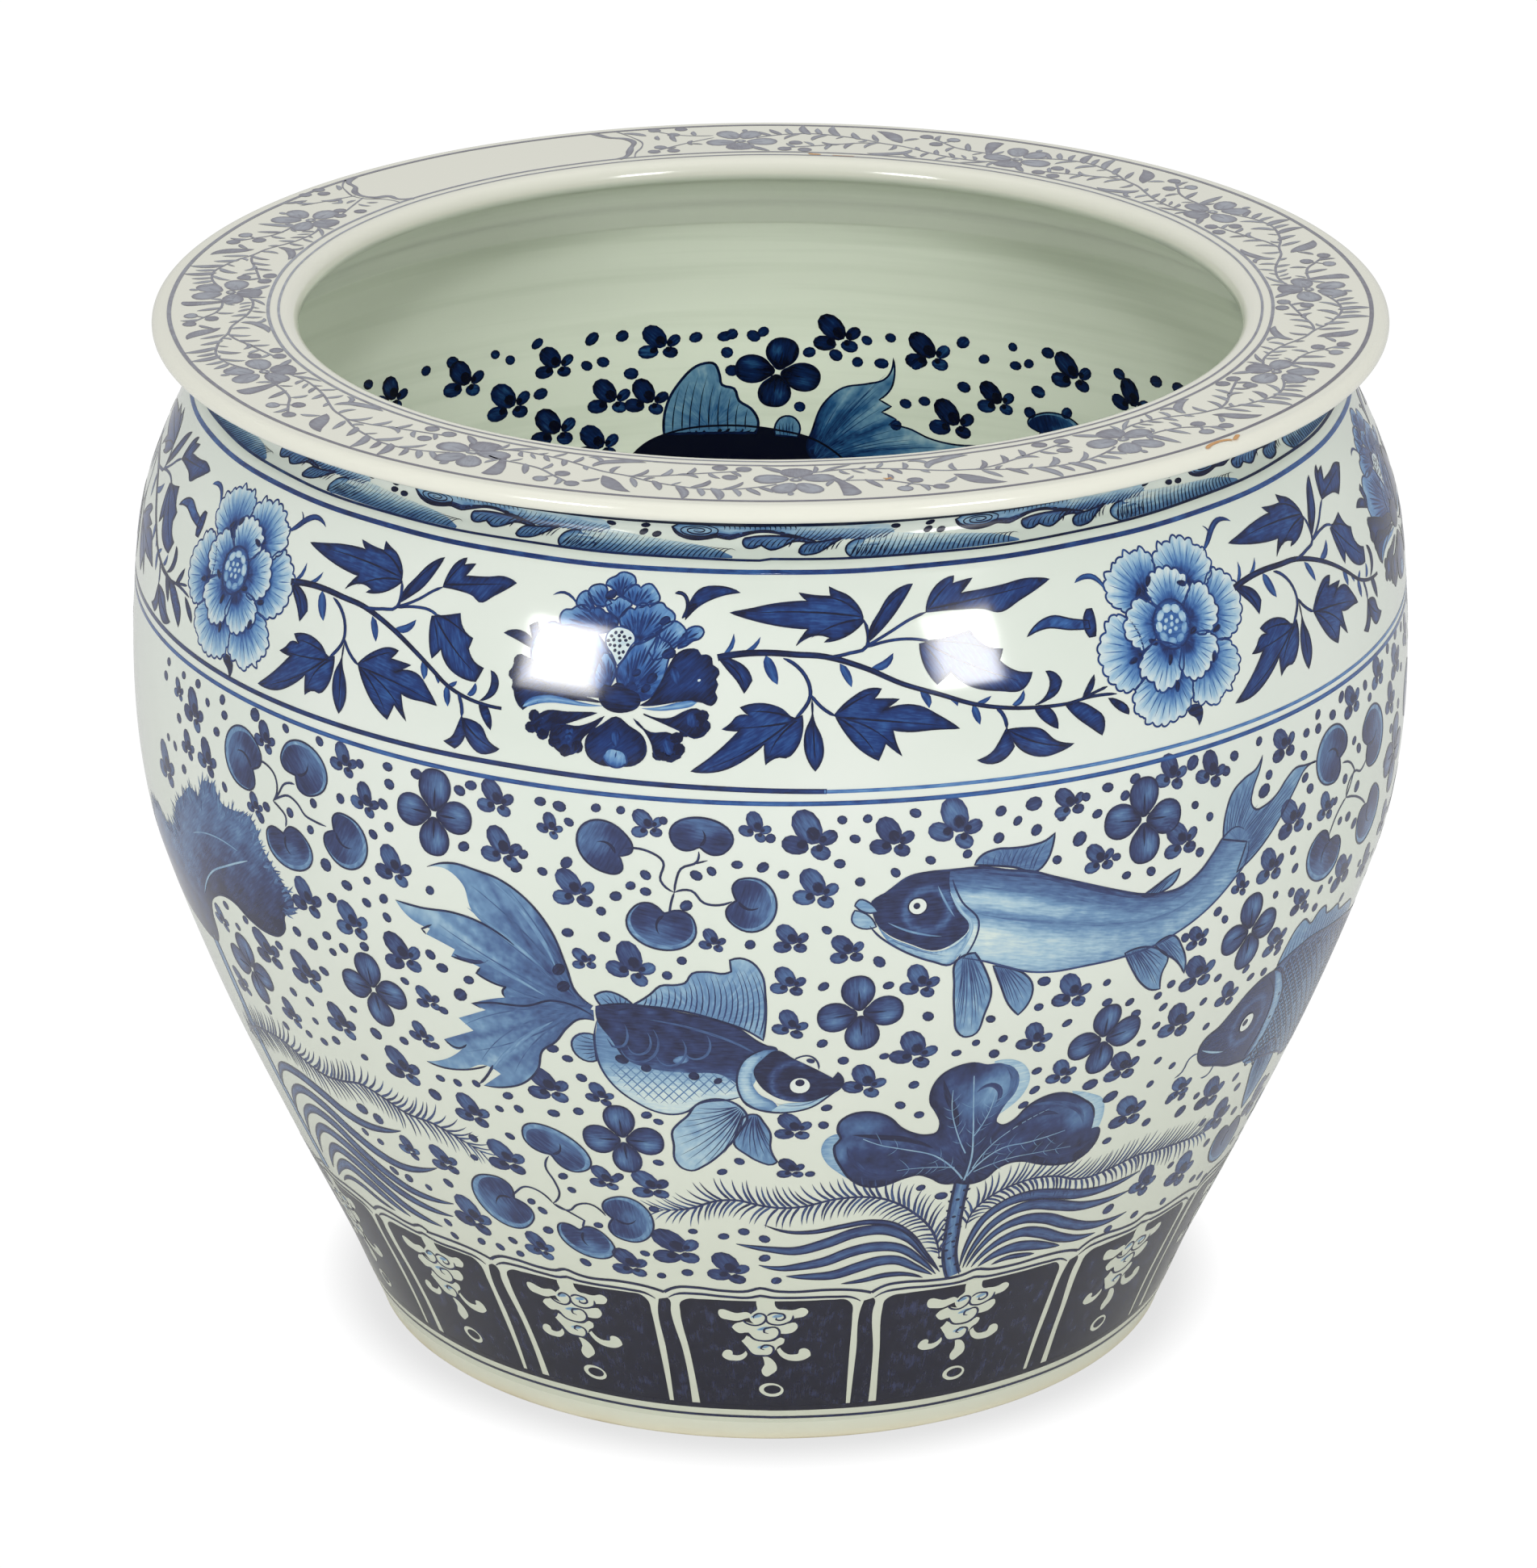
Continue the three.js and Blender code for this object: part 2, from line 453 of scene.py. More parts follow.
BLUE_STOPS = [
    (0.0, (214, 228, 222)), (0.2, (166, 197, 213)), (0.4, (111, 149, 185)), (0.6, (76, 107, 152)),
    (0.8, (48, 62, 108)), (1.0, (30, 33, 64)),
]
BRIGHT_STOPS = [
    (0.0, (212, 226, 226)), (0.2, (162, 196, 216)), (0.4, (103, 149, 194)), (0.6, (50, 98, 162)),
    (0.8, (16, 50, 112)), (1.0, (0, 10, 50)),
]
NECK_STOPS = [
    (0.0, (214, 226, 220)), (0.2, (160, 192, 210)), (0.4, (96, 138, 178)), (0.6, (54, 88, 138)),
    (0.8, (26, 42, 88)), (1.0, (12, 16, 44)),
]
DEEP_STOPS = [
    (0.0, (196, 212, 198)), (0.2, (150, 178, 186)), (0.4, (88, 128, 154)), (0.6, (34, 78, 120)),
    (0.8, (4, 28, 70)), (1.0, (0, 2, 22)),
]
DARK_STOPS = [(0.0, (84, 112, 164)), (0.3, (56, 64, 100)), (0.62, (31, 32, 52)), (1.0, (21, 20, 38))]
RIM_STOPS = [(0.0, (212, 215, 207)), (0.35, (162, 168, 179)), (0.7, (118, 117, 130)), (1.0, (82, 81, 98))]


def plain_material(name, colour):
    material, _, shader = new_material(name)
    shader.inputs["Base Color"].default_value = linear(colour)
    return material


def make_foot():
    """The glaze runs thin over the cream foot, and the lowest edge is wiped bare."""
    material, tree, shader = new_material("bare_foot", 0.3, 0.4)
    place = tree.nodes.new("ShaderNodeTexCoord")
    split = tree.nodes.new("ShaderNodeSeparateXYZ")
    link(tree, place.outputs["Object"], split.inputs[0])
    stain = add_node(tree, "ShaderNodeTexNoise", Scale=40.0, Detail=3.0)
    link(tree, place.outputs["Object"], stain.inputs["Vector"])
    height = arithmetic(tree, "DIVIDE", split.outputs[2], SLAB_FOOT * MM)
    level = arithmetic(tree, "ADD", height, noise_about_zero(tree, stain, 0.5))
    stops = [(0.0, (212, 202, 170)), (0.14, (229, 224, 199)), (0.5, (233, 233, 212)), (1.0, (233, 236, 217))]
    link(tree, ramp(tree, level, stops), shader.inputs["Base Color"])
    return material


PORCELAIN = make_porcelain("porcelain_glaze")
RIM_PORCELAIN = make_porcelain("rim_porcelain", 0.13)
BLUE = make_paint("cobalt_wash", BLUE_STOPS, 0.2)
BRIGHT_BLUE = make_paint("cobalt_bright", BRIGHT_STOPS, 0.2)
DEEP_BLUE = make_paint("cobalt_deep", DEEP_STOPS, 0.2, 0.1, 0.2, 0.15)
DARK_BLUE = make_paint("cobalt_dark", DARK_STOPS, 0.36, 0.6)
NECK_BLUE = make_paint("cobalt_neck", NECK_STOPS, 0.2, 0.1, 0.3, 0.25)
RIM_BLUE = make_paint("rim_blue", RIM_STOPS, 0.12, 0.2)
RESERVE = plain_material("reserve_white", (229, 236, 227))
RESERVE_LOW = plain_material("reserve_cream", (220, 225, 206))
BARE_FOOT = make_foot()
RUST_STOPS = [(0.0, (222, 196, 140)), (0.5, (208, 146, 66)), (1.0, (158, 90, 34))]
RUST = make_paint("iron_stain", RUST_STOPS, 0.1, 0.3)


# The turned body, one piece for each section


def outside_run(low, high, step=3.0):
    return [(float(wall_radius(z)), z) for z in rise(low, high, step)]


def inside_run(high, low, step=3.0):
    return [(float(wall_radius(z)) - WALL, z) for z in rise(high, low, step)]


def curve_normal(z, sign=1):
    slope = float(wall_slope(z))
    long = math.hypot(1, slope)
    return (sign / long, -sign * slope / long)


def wall_section(name, low, high, node):
    outer = outside_run(low, high)
    inner = inside_run(high, low)
    normals = [curve_normal(p[1]) for p in outer] + [curve_normal(p[1], -1) for p in inner]
    tint = [0.0] * len(outer) + [1.0] * len(inner)
    obj = turned(name, outer + inner, PORCELAIN, normals, tint)
    return settle(obj, "porcelain_glaze", node)


def settle(obj, slot, *nodes):
    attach(obj, "root")
    if nodes:
        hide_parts(*nodes)
    return obj


CORNER_TOE = 12.0
CORNER_TOP = SLAB_TOP + 22.0


def make_lower_wall():
    outer = outside_run(SLAB_FOOT, BELLY_FOOT)
    inner = inside_run(BELLY_FOOT, CORNER_TOP)
    toe = (float(wall_radius(SLAB_TOP)) - WALL - CORNER_TOE, SLAB_TOP + 0.02)
    corner = between(inner[-1], toe, xy(0.25,0.08, 0.45,0.22, 0.65,0.38, 0.8,0.55, 0.95,0.8, 1,1))
    seat = [(float(wall_radius(SLAB_TOP)) - WALL, SLAB_TOP + 0.01)]
    seat += [(float(wall_radius(SLAB_FOOT)) - WALL, SLAB_FOOT)]
    outline = drop_repeats(outer + inner + corner + seat)
    normals = outline_normals(outline)
    for i, point in enumerate(outer):
        normals[i] = curve_normal(point[1])
    tint = [0.0] * len(outer) + [1.0] * (len(outline) - len(outer))
    obj = turned("lower_wall_glazed", outline, PORCELAIN, normals, tint)
    return settle(obj, "porcelain_glaze", "lower_wall")


def make_foot_ring():
    inner = FOOT_HEEL
    outer = outside_run(FOOT_ROUND, SLAB_FOOT, 2.0)
    base = float(wall_radius(FOOT_ROUND))
    toe = arc((base - FOOT_ROUND, FOOT_ROUND), FOOT_ROUND, -90, -10, 5)
    heel = arc((inner + 1, 1), 1, 180, 270, 3)
    flat = [(inner + 6, 0), (base - FOOT_ROUND - 0.2, 0)]
    outline = drop_repeats(toe + outer + [(inner + 0.2, SLAB_FOOT), (inner, SLAB_FOOT - 0.2)] + heel + flat)
    normals = outline_normals(outline)
    for i, point in enumerate(outline):
        if point in outer and point[1] > FOOT_ROUND:
            normals[i] = curve_normal(point[1])
    obj = turned("foot_ring_bare", outline, BARE_FOOT, normals)
    return settle(obj, "bare_foot", "foot_ring")


def make_slab():
    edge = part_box("base_slab")[1].x / MM
    outline = [(0, SLAB_FOOT), (edge - 0.4, SLAB_FOOT), (edge, SLAB_FOOT + 0.4), (edge, SLAB_TOP - 0.4)]
    outline += [(edge - 0.4, SLAB_TOP), (0, SLAB_TOP)]
    normals = xy(0,-1, 0,-1, 1,0, 1,0, 0,1, 0,1)
    obj = turned("base_slab_glazed", outline, PORCELAIN, normals, [0, 0, 0, 0, 1, 1])
    return settle(obj, "porcelain_glaze", "base_slab")


def make_rim():
    outer = outside_run(NECK_FOOT, SHOULDER_LINE) + outside_run(SHOULDER_LINE + 0.6, LIP_FOOT, 0.6)
    lip = arc(LIP_CENTRE, LIP_RADIUS, -86, 90, 16)
    top = [(LIP_CENTRE[0] - 0.15, TOP), (228, TOP), (MOUTH_CENTRE[0] + 0.15, TOP)]
    mouth = arc(MOUTH_CENTRE, MOUTH_RADIUS, 90, 180, 14)
    foot = (MOUTH_CENTRE[0] - MOUTH_RADIUS, 436)
    under = between((NECK - WALL, NECK_LINE), foot, UNDERCUT)
    inner = inside_run(NECK_LINE - 1.5, NECK_FOOT, 1.5)
    outline = drop_repeats(outer + lip + top + mouth + under + inner)
    normals = outline_normals(outline)
    tint = []
    for i, point in enumerate(outline):
        if i < 3 or (point in outer and point[1] <= SHOULDER_LINE - 1):
            normals[i] = curve_normal(point[1])
        tint.append(1.0 if point in under or point in inner else 0.0)
    for i, point in enumerate(outline):
        if point in inner or point in under[1:]:
            down = max(0.0, (point[1] - NECK_LINE) / 14)
            size = math.hypot(1, down)
            normals[i] = (-1 / size, -down / size)
    normals[-1] = curve_normal(NECK_FOOT, -1)
    obj = turned("rim_flange_glazed", outline, RIM_PORCELAIN, normals, tint)
    return settle(obj, "rim_glaze", "rim_flange")


make_foot_ring()
make_slab()
make_lower_wall()
wall_section("belly_wall_glazed", BELLY_FOOT, SHOULDER_FOOT, "belly_wall")
wall_section("shoulder_wall_glazed", SHOULDER_FOOT, NECK_FOOT, "shoulder_wall")
make_rim()


# Painting: thin sheets of colour laid over the glaze, each a hair higher than the one under it

# The start of the random draws, so that the brush trembles alike each time
HAND = 11
random.seed(HAND)
# Heights over the glaze, in mm, from the first wash to the last dot
WASH = 0.05
BODY = 0.08
LINE = 0.11
DARK = 0.14
OVER = 0.17
LAST = 0.2
# Each stroke lies a little over the one before it, in turns, so that no two share a plane
STROKE_RISE = 0.0011
STROKE_RISES = 19


def unit(vector):
    size = math.hypot(*vector) or 1
    return vector[0] / size, vector[1] / size


def smooth(points, step=2.0, closed=False, sharp=72):
    """A smooth line through the given points, but a sharp one where it turns by more than sharp degrees."""
    line = np.array(points, float)
    count = len(line)
    ahead = np.roll(line, -1, 0) - line
    behind = line - np.roll(line, 1, 0)
    long_a = np.maximum(np.hypot(ahead[:, 0], ahead[:, 1]), 1e-6)
    long_b = np.maximum(np.hypot(behind[:, 0], behind[:, 1]), 1e-6)
    cosine = (ahead * behind).sum(1) / (long_a * long_b)
    turn = np.degrees(np.arccos(np.clip(cosine, -1, 1)))
    corner = turn > sharp
    tangent = ahead / long_a[:, None] ** 2 + behind / long_b[:, None] ** 2
    tangent /= np.maximum(np.hypot(tangent[:, 0], tangent[:, 1]), 1e-6)[:, None]
    if not closed:
        corner[0] = True
        corner[-1] = True
    made = []
    for i in range(count if closed else count - 1):
        k = (i + 1) % count
        way = line[k] - line[i]
        size = math.hypot(*way)
        if size < 1e-6:
            continue
        first = way / size if corner[i] else tangent[i]
        last = way / size if corner[k] else tangent[k]
        if corner[i] and not corner[k]:
            first = np.array(unit(2 * way / size - last))
        if corner[k] and not corner[i]:
            last = np.array(unit(2 * way / size - first))
        bend = math.degrees(math.acos(max(-1, min(1, float(first @ last)))))
        pieces = max(1, math.ceil(size / step), math.ceil(bend / 18) if size > 0.8 else 1)
        for j in range(pieces):
            t = j / pieces
            a = 2 * t**3 - 3 * t**2 + 1
            b = t**3 - 2 * t**2 + t
            c = t**3 - t**2
            made.append(a * line[i] + b * size * first + (1 - a) * line[k] + c * size * last)
    if not closed:
        made.append(line[-1])
    return np.array(made)


def even(t):
    return 1.0


def thick_line(t):
    return min(1.0, 0.25 + 9 * t, 0.25 + 9 * (1 - t))


def blade(t):
    return max(0.03, math.sin(math.pi * t) ** 0.75)


def leaf_shape(t):
    return max(0.03, 1.62 * t**0.6 * (1 - t) ** 0.75)


def tail_off(t):
    return max(0.03, min(1.0, 0.3 + 6 * t) * (1 - t) ** 0.65)


def swell(t):
    return max(0.03, min(1.0, t * 1.5) ** 0.8 * min(1.0, 7 * (1 - t)) ** 0.5)


class Paint:
    """One piece of painting on one surface."""

    def __init__(self, name, surface, material, slot):
        self.name = name
        self.surface = surface
        self.material = material
        self.slot = slot
        self.points = []
        self.normals = []
        self.tones = []
        self.grains = []
        self.faces = []
        self.count = 0
        self.strokes = 0
        self.move = (0.0, 0.0)
        self.flip = surface is RimTop

    def lay(self, sheet, faces, tone, grain, lift):
        """Puts one sheet of colour on the surface: (u, z) points, with a tone and a grain each."""
        sheet = np.asarray(sheet, float) + np.array(self.move)
        self.strokes += 1
        points, normals = self.surface.place(sheet, lift + STROKE_RISE * (self.strokes % STROKE_RISES))
        seed = random.uniform(0, 60)
        grain = np.asarray(grain, float)
        full = np.concatenate([grain, np.full((len(grain), 1), seed)], 1)
        self.points.append(points)
        self.normals.append(normals)
        self.tones.append(np.broadcast_to(np.asarray(tone, float), (len(sheet),)))
        self.grains.append(full)
        start = self.count
        for face in faces:
            moved = tuple(start + i for i in face)
            self.faces.append(moved[::-1] if self.flip else moved)
        self.count += len(sheet)

    def fill(self, outline, tone=0.7, lift=WASH, mesh=3.6, angle=0.0, centre=None, sharp=72, step=2.0):
        """A filled shape. tone is a number or a function of (u, z, distance from the edge)."""
        loop = smooth(outline, step, True, sharp) if sharp else np.array(outline, float)
        low = loop.min(0)
        high = loop.max(0)
        rows = []
        row = 0
        z = low[1] + mesh / 2
        while z < high[1]:
            u = low[0] + (mesh / 2 if row % 2 else mesh)
            while u < high[0]:
                rows.append((u, z))
                u += mesh
            z += mesh * 0.87
            row += 1
        inside = np.array(rows).reshape(-1, 2)
        if len(inside):
            hit = np.zeros(len(inside), bool)
            following = np.roll(loop, -1, 0)
            for a, b in zip(loop, following):
                cross = (a[1] > inside[:, 1]) != (b[1] > inside[:, 1])
                if cross.any():
                    u = (b[0] - a[0]) * (inside[:, 1] - a[1]) / (b[1] - a[1] + 1e-12) + a[0]
                    hit ^= cross & (inside[:, 0] < u)
            inside = inside[hit]
        if len(inside):
            gap = np.sqrt(((inside[:, None, :] - loop[None, :, :]) ** 2).sum(2)).min(1)
            inside = inside[gap > mesh * 0.4]
        every = [Vector((float(p[0]), float(p[1]))) for p in np.concatenate([loop, inside])]
        ring = [list(range(len(loop)))]
        verts, _, faces, _, _, _ = delaunay_2d_cdt(every, [], ring, 1, 1e-5)
        if not faces:
            return
        sheet = np.array([(v.x, v.y) for v in verts])
        gap = np.sqrt(((sheet[:, None, :] - loop[None, :, :]) ** 2).sum(2)).min(1)
        if callable(tone):
            tone = tone(sheet[:, 0], sheet[:, 1], gap)
        if centre is not None:
            away = sheet - np.array(centre)
            reach = np.hypot(away[:, 0], away[:, 1])
            turn = np.arctan2(away[:, 1], away[:, 0])
            grain = np.stack([turn * 9, reach], 1)
        else:
            c, s = math.cos(math.radians(angle)), math.sin(math.radians(angle))
            grain = np.stack([-s * sheet[:, 0] + c * sheet[:, 1], c * sheet[:, 0] + s * sheet[:, 1]], 1)
        self.lay(sheet, [tuple(f) for f in faces], tone, grain, lift)

    def stroke(self, points, width=1.0, shape=thick_line, tone=0.85, lift=LINE, pool=0.1, step=2.5,
               closed=False, sharp=72):
        """A brush stroke along a line. tone is a number or a (start, end) pair."""
        path = smooth(points, step, closed, sharp)
        if closed:
            path = np.concatenate([path, path[:1]])
        if len(path) < 2:
            return
        wide, tall = self.surface.metric(path + np.array(self.move))
        way = np.gradient(path, axis=0)
        if closed:
            ends = path[1] - path[-2]
            way[0] = ends
            way[-1] = ends
        across = np.stack([-way[:, 1] * tall, way[:, 0] * wide], 1)
        across /= np.maximum(np.hypot(across[:, 0], across[:, 1]), 1e-9)[:, None]
        across = np.stack([across[:, 0] / wide, across[:, 1] / tall], 1)
        steps = np.hypot(np.diff(path[:, 0]) * wide[1:], np.diff(path[:, 1]) * tall[1:])
        along = np.concatenate([[0], np.cumsum(steps)])
        share = along / max(along[-1], 1e-9)
        half = np.array([1.0 if closed else shape(float(t)) for t in share]) * width / 2
        left = path + across * half[:, None]
        right = path - across * half[:, None]
        sheet = np.stack([right, path, left], 1).reshape(-1, 2)
        first, last = tone if isinstance(tone, tuple) else (tone, tone)
        level = first + (last - first) * share
        tones = np.stack([level + pool, level - pool * 0.5, level + pool], 1).ravel()
        sides = [np.stack([offset, along], 1) for offset in (-half, 0 * half, half)]
        grain = np.stack(sides, 1).reshape(-1, 2)
        faces = []
        for i in range(len(path) - 1):
            a = i * 3
            faces.append((a, a + 3, a + 4, a + 1))
            faces.append((a + 1, a + 4, a + 5, a + 2))
        self.lay(sheet, faces, tones, grain, lift)

    def blob(self, u, z, long, wide, angle=0.0, edge=0.86, middle=0.62, egg=0.15, lift=BODY, sides=12):
        """A rounded dab of the brush, half long and half wide, leaning by angle, darker at its edge."""
        wide_here, tall_here = self.surface.metric(np.array([[u, z]]) + np.array(self.move))
        c, s = math.cos(math.radians(angle)), math.sin(math.radians(angle))
        sheet = [(u, z)]
        tones = [middle]
        for share, level in ((0.62, middle + 0.04), (1.0, edge)):
            for i in range(sides):
                turn = TAU * i / sides
                x = long * share * math.cos(turn)
                y = wide * share * math.sin(turn) * (1 + egg * math.cos(turn))
                sheet.append((u + (c * x - s * y) / wide_here[0], z + (s * x + c * y) / tall_here[0]))
                tones.append(level + random.uniform(-0.05, 0.05))
        faces = []
        for i in range(sides):
            k = (i + 1) % sides
            faces.append((0, 1 + i, 1 + k))
            faces.append((1 + i, 1 + sides + i, 1 + sides + k, 1 + k))
        grain = np.array(sheet) - np.array([[u, z]])
        turned_grain = np.stack([-s * grain[:, 0] + c * grain[:, 1], c * grain[:, 0] + s * grain[:, 1]], 1)
        self.lay(sheet, faces, tones, turned_grain, lift)

    def dot(self, u, z, size=2.3, edge=0.98, middle=0.8, lift=BODY):
        stretch = random.uniform(1.0, 1.3)
        turn = random.uniform(-50, 50)
        self.blob(u, z, size * stretch, size * 0.96, turn, edge, middle, 0.05, lift, 10)

    def finish(self, *turns):
        """Makes the piece, and a copy of it for each turn round the pot, in degrees."""
        points = np.concatenate(self.points)
        normals = np.concatenate(self.normals)
        attributes = {
            "tone": ("FLOAT", np.concatenate(self.tones)),
            "grain": ("FLOAT_VECTOR", np.concatenate(self.grains)),
        }
        for number, turn in enumerate(turns or (0,)):
            c, s = math.cos(math.radians(turn)), math.sin(math.radians(turn))
            spin = np.array([[c, s, 0], [-s, c, 0], [0, 0, 1]])
            name = self.name if len(turns) < 2 else f"{self.name}_{number + 1}"
            faces = [f for f in self.faces if len(set(f)) > 2]
            obj = make_object(name, points @ spin, faces, normals @ spin, attributes, self.material)
            settle(obj, self.slot)


BAND_STEPS = 360


def add_band(paint, low, high, tone=0.75, lift=LINE, rows=1):
    """A line right round the pot, as one closed band with the slight wobble of a hand."""
    around = TAU * (BELLY if paint.surface is Outside else paint.surface.ROUND)
    sheet = []
    faces = []
    for i in range(BAND_STEPS):
        k = (i + 1) % BAND_STEPS
        wobble = 0.12 * math.sin(i * 0.13 + low) + 0.08 * math.sin(i * 0.41 + 2)
        for j in range(rows + 1):
            sheet.append((around * i / BAND_STEPS, low + (high - low) * j / rows + wobble))
        for j in range(rows):
            a = i * (rows + 1) + j
            b = k * (rows + 1) + j
            faces.append((a, b, b + 1, a + 1))
    grain = [(p[1], p[0]) for p in sheet]
    tones = []
    for i in range(len(sheet)):
        tones.append(tone + 0.08 * math.sin(i * 0.021) + 0.05 * math.sin(i * 0.0071 + 1))
    paint.lay(sheet, faces, tones, grain, lift)


def oval(u, z, wide, high, turn=0.0, count=16):
    """Points round an oval of half width wide and half height high."""
    c, s = math.cos(math.radians(turn)), math.sin(math.radians(turn))
    points = []
    for i in range(count):
        a = TAU * i / count
        x = wide * math.cos(a)
        y = high * math.sin(a)
        points.append((u + c * x - s * y, z + s * x + c * y))
    return points


def outline_of(paint, points, width=0.8, tone=0.98, lift=DARK, closed=True, sharp=72):
    paint.stroke(points, width, thick_line, tone, lift, 0.04, 2.2, closed, sharp)


# The small scattered motifs


def sprig(p, u, z, size=1.0, load=0.0):
    """Four small leaves: a large one up to the left, a long one below it and two short ones to the right."""
    lean = random.uniform(-16, 16)
    k = size * 1.05
    parts = [(-2.4, 3.3, 6.3, 4.3, 127), (-5.6, -2.9, 4.4, 3.1, 168), (4.3, 0.3, 3.3, 2.4, 36)]
    parts.append((2.5, -4.6, 3.3, 2.5, -16))
    c, s = math.cos(math.radians(lean)), math.sin(math.radians(lean))
    for x, y, long, wide, angle in parts:
        dark = random.uniform(0.84, 0.96) + load
        at = (u + k * (c * x - s * y), z + k * (s * x + c * y))
        p.blob(at[0], at[1], long * k, wide * k, angle + lean, dark, dark - random.uniform(0.12, 0.24), 0.1)
        inward = math.atan2(z - k - at[1], u + k - at[0])
        end = (at[0] + math.cos(inward) * long * k * 0.5, at[1] + math.sin(inward) * wide * k * 0.62)
        p.blob(end[0], end[1], long * k * 0.4, wide * k * 0.5, math.degrees(inward),
               dark + 0.01, 1.02, 0, LINE, 8)


def four_petals(p, u, z, reach=18.4, turn=0.0, tones=(0.94, 0.72)):
    """A flower of four round petals about a small bare eye."""
    for side in range(4):
        angle = math.radians(90 * side + turn + random.uniform(-6, 6))
        size = reach * random.uniform(0.93, 1.04)
        c, s = math.cos(angle), math.sin(angle)
        shape = xy(0.09,0.05, 0.2,0.17, 0.34,0.31, 0.54,0.39, 0.75,0.37, 0.92,0.25, 0.99,0.0)
        shape += [(x, -y * 0.94) for x, y in reversed(shape[:-1])]
        loop = [(u + size * (c * x - s * y), z + size * (s * x + c * y)) for x, y in shape]
        edge, middle = tones
        lift_here = BODY if side % 2 else WASH + 0.015
        glow_side = random.choice((-1, 1))

        def shade(pu, pz, gap, edge=edge, middle=middle, c=c, s=s, size=size, glow_side=glow_side):
            along = ((pu - u) * c + (pz - z) * s) / size
            across = (-(pu - u) * s + (pz - z) * c) / size
            light = 0.22 * np.exp(-(((along - 0.62) / 0.22) ** 2) - ((across - 0.13 * glow_side) / 0.12) ** 2)
            return middle + (edge - middle) * np.exp(-gap / 1.5) - light + 0.24 * np.clip(0.5 - along, 0, 1)

        p.fill(loop, shade, lift_here, 2.2, math.degrees(angle), None, 100)
        outline_of(p, loop, 0.75, 0.97, lift_here + 0.04, True, 100)
        vein = [(u + size * 0.16 * c, z + size * 0.16 * s), (u + size * 0.62 * c, z + size * 0.62 * s)]
        p.stroke(vein, 1.3, tail_off, 1.02, DARK)


def kidney(u, z, wide, high, notch, depth, tilt):
    """Points round a bean: an oval leaning by tilt, with one notch toward an angle."""
    c, s = math.cos(math.radians(tilt)), math.sin(math.radians(tilt))
    local = (notch - tilt) % 360
    count = 30
    points = []
    for i in range(count):
        a = 360 * i / count + local
        off = (a - local + 180) % 360 - 180
        dent = depth * math.exp(-((off / 17) ** 2)) - 0.05 * math.exp(-(((abs(off) - 44) / 17) ** 2))
        x = wide / 2 * math.cos(math.radians(a)) * (1 - dent)
        y = high / 2 * math.sin(math.radians(a)) * (1 - dent)
        points.append((u + c * x - s * y, z + s * x + c * y))
    return points


def pad(p, u, z, wide, high, notch, tilt=0.0, rim=0.11, light=0.34, depth=0.42, deep=0.89):
    """A floating leaf like a kidney: dark toward its notch, with a light crescent along the far side."""
    edge = kidney(u, z, wide, high, notch, depth, tilt)
    c, s = math.cos(math.radians(notch)), math.sin(math.radians(notch))
    reach = min(wide, high) / 2

    def crescent(pu, pz, gap):
        return light + 0.32 * np.clip((gap - 1.2) / 4, 0, 1) + 0.2 * np.exp(-gap / 0.8)

    p.fill(edge, crescent, WASH, 2.2, notch + 90, None, 72, 1.6)
    less = 1 - rim * 0.95
    at = (u + c * reach * rim, z + s * reach * rim)
    heart = kidney(*at, wide * less, high * less, notch, depth * 0.95, tilt)

    def core(pu, pz, gap):
        away = np.hypot(pu - u + c * reach * 0.15, pz - z + s * reach * 0.15) / reach
        glow = 0.2 * np.exp(-((away / 0.5) ** 2))
        far = np.clip(-((pu - u) * c + (pz - z) * s) / reach, 0, 1)
        return deep - glow - 0.24 * far - 0.08 * np.exp(-gap / 0.9)

    p.fill(heart, core, BODY, 2.2, notch + 90, None, 72, 1.6)
    outline_of(p, edge, 0.8, 0.97)
    curl = [
        (u + c * reach * 0.5, z + s * reach * 0.5),
        (u + c * reach * 0.05 - s * reach * 0.2, z + s * reach * 0.05 + c * reach * 0.2),
        (u - c * reach * 0.35, z - s * reach * 0.35),
    ]
    p.stroke(curl, 1.6, tail_off, 1.02, LINE)


def frond(p, spine, upper=13.8, lower=12.4, gap=3.3, tone=0.88, turn=56):
    """A water weed: a thin spine with a comb of curved strokes on both sides, long hairs at its tip."""
    path = smooth(spine, 1.0)
    p.stroke(spine, 1.2, thick_line, tone, LINE, 0.05)
    steps = np.hypot(np.diff(path[:, 0]), np.diff(path[:, 1]))
    along = np.concatenate([[0], np.cumsum(steps)])
    total = along[-1]
    at = 2.0
    while at < total:
        i = min(int(np.searchsorted(along, at)), len(path) - 2)
        way = unit(path[i + 1] - path[i])
        taper = min(1.0, 0.62 + at / 34) * min(1.0, 0.8 + (total - at) / 60)
        left = way[0] < 0
        for side in (1, -1):
            top = (side < 0) == left
            size = upper if top else lower
            near_tip = max(0, at - total + 34) / 34
            open_by = turn - 32 * near_tip + (0 if top else 5)
            lean = math.radians(side * open_by + random.uniform(-4, 4))
            c, s = math.cos(lean), math.sin(lean)
            out = (way[0] * c - way[1] * s, way[0] * s + way[1] * c)
            long = size * taper * random.uniform(0.88, 1.08)
            start = (path[i][0], path[i][1])
            bow = 0.12 * long
            middle = (start[0] + out[0] * long * 0.5 + way[0] * bow,
                      start[1] + out[1] * long * 0.5 + way[1] * bow)
            end = (start[0] + out[0] * long, start[1] + out[1] * long)
            p.stroke([start, middle, end], 1.5 - 0.5 * near_tip, tail_off,
                     tone - random.uniform(0, 0.14) - 0.12 * near_tip, BODY, 0.05, 3.0)
        at += gap * random.uniform(0.85, 1.12)


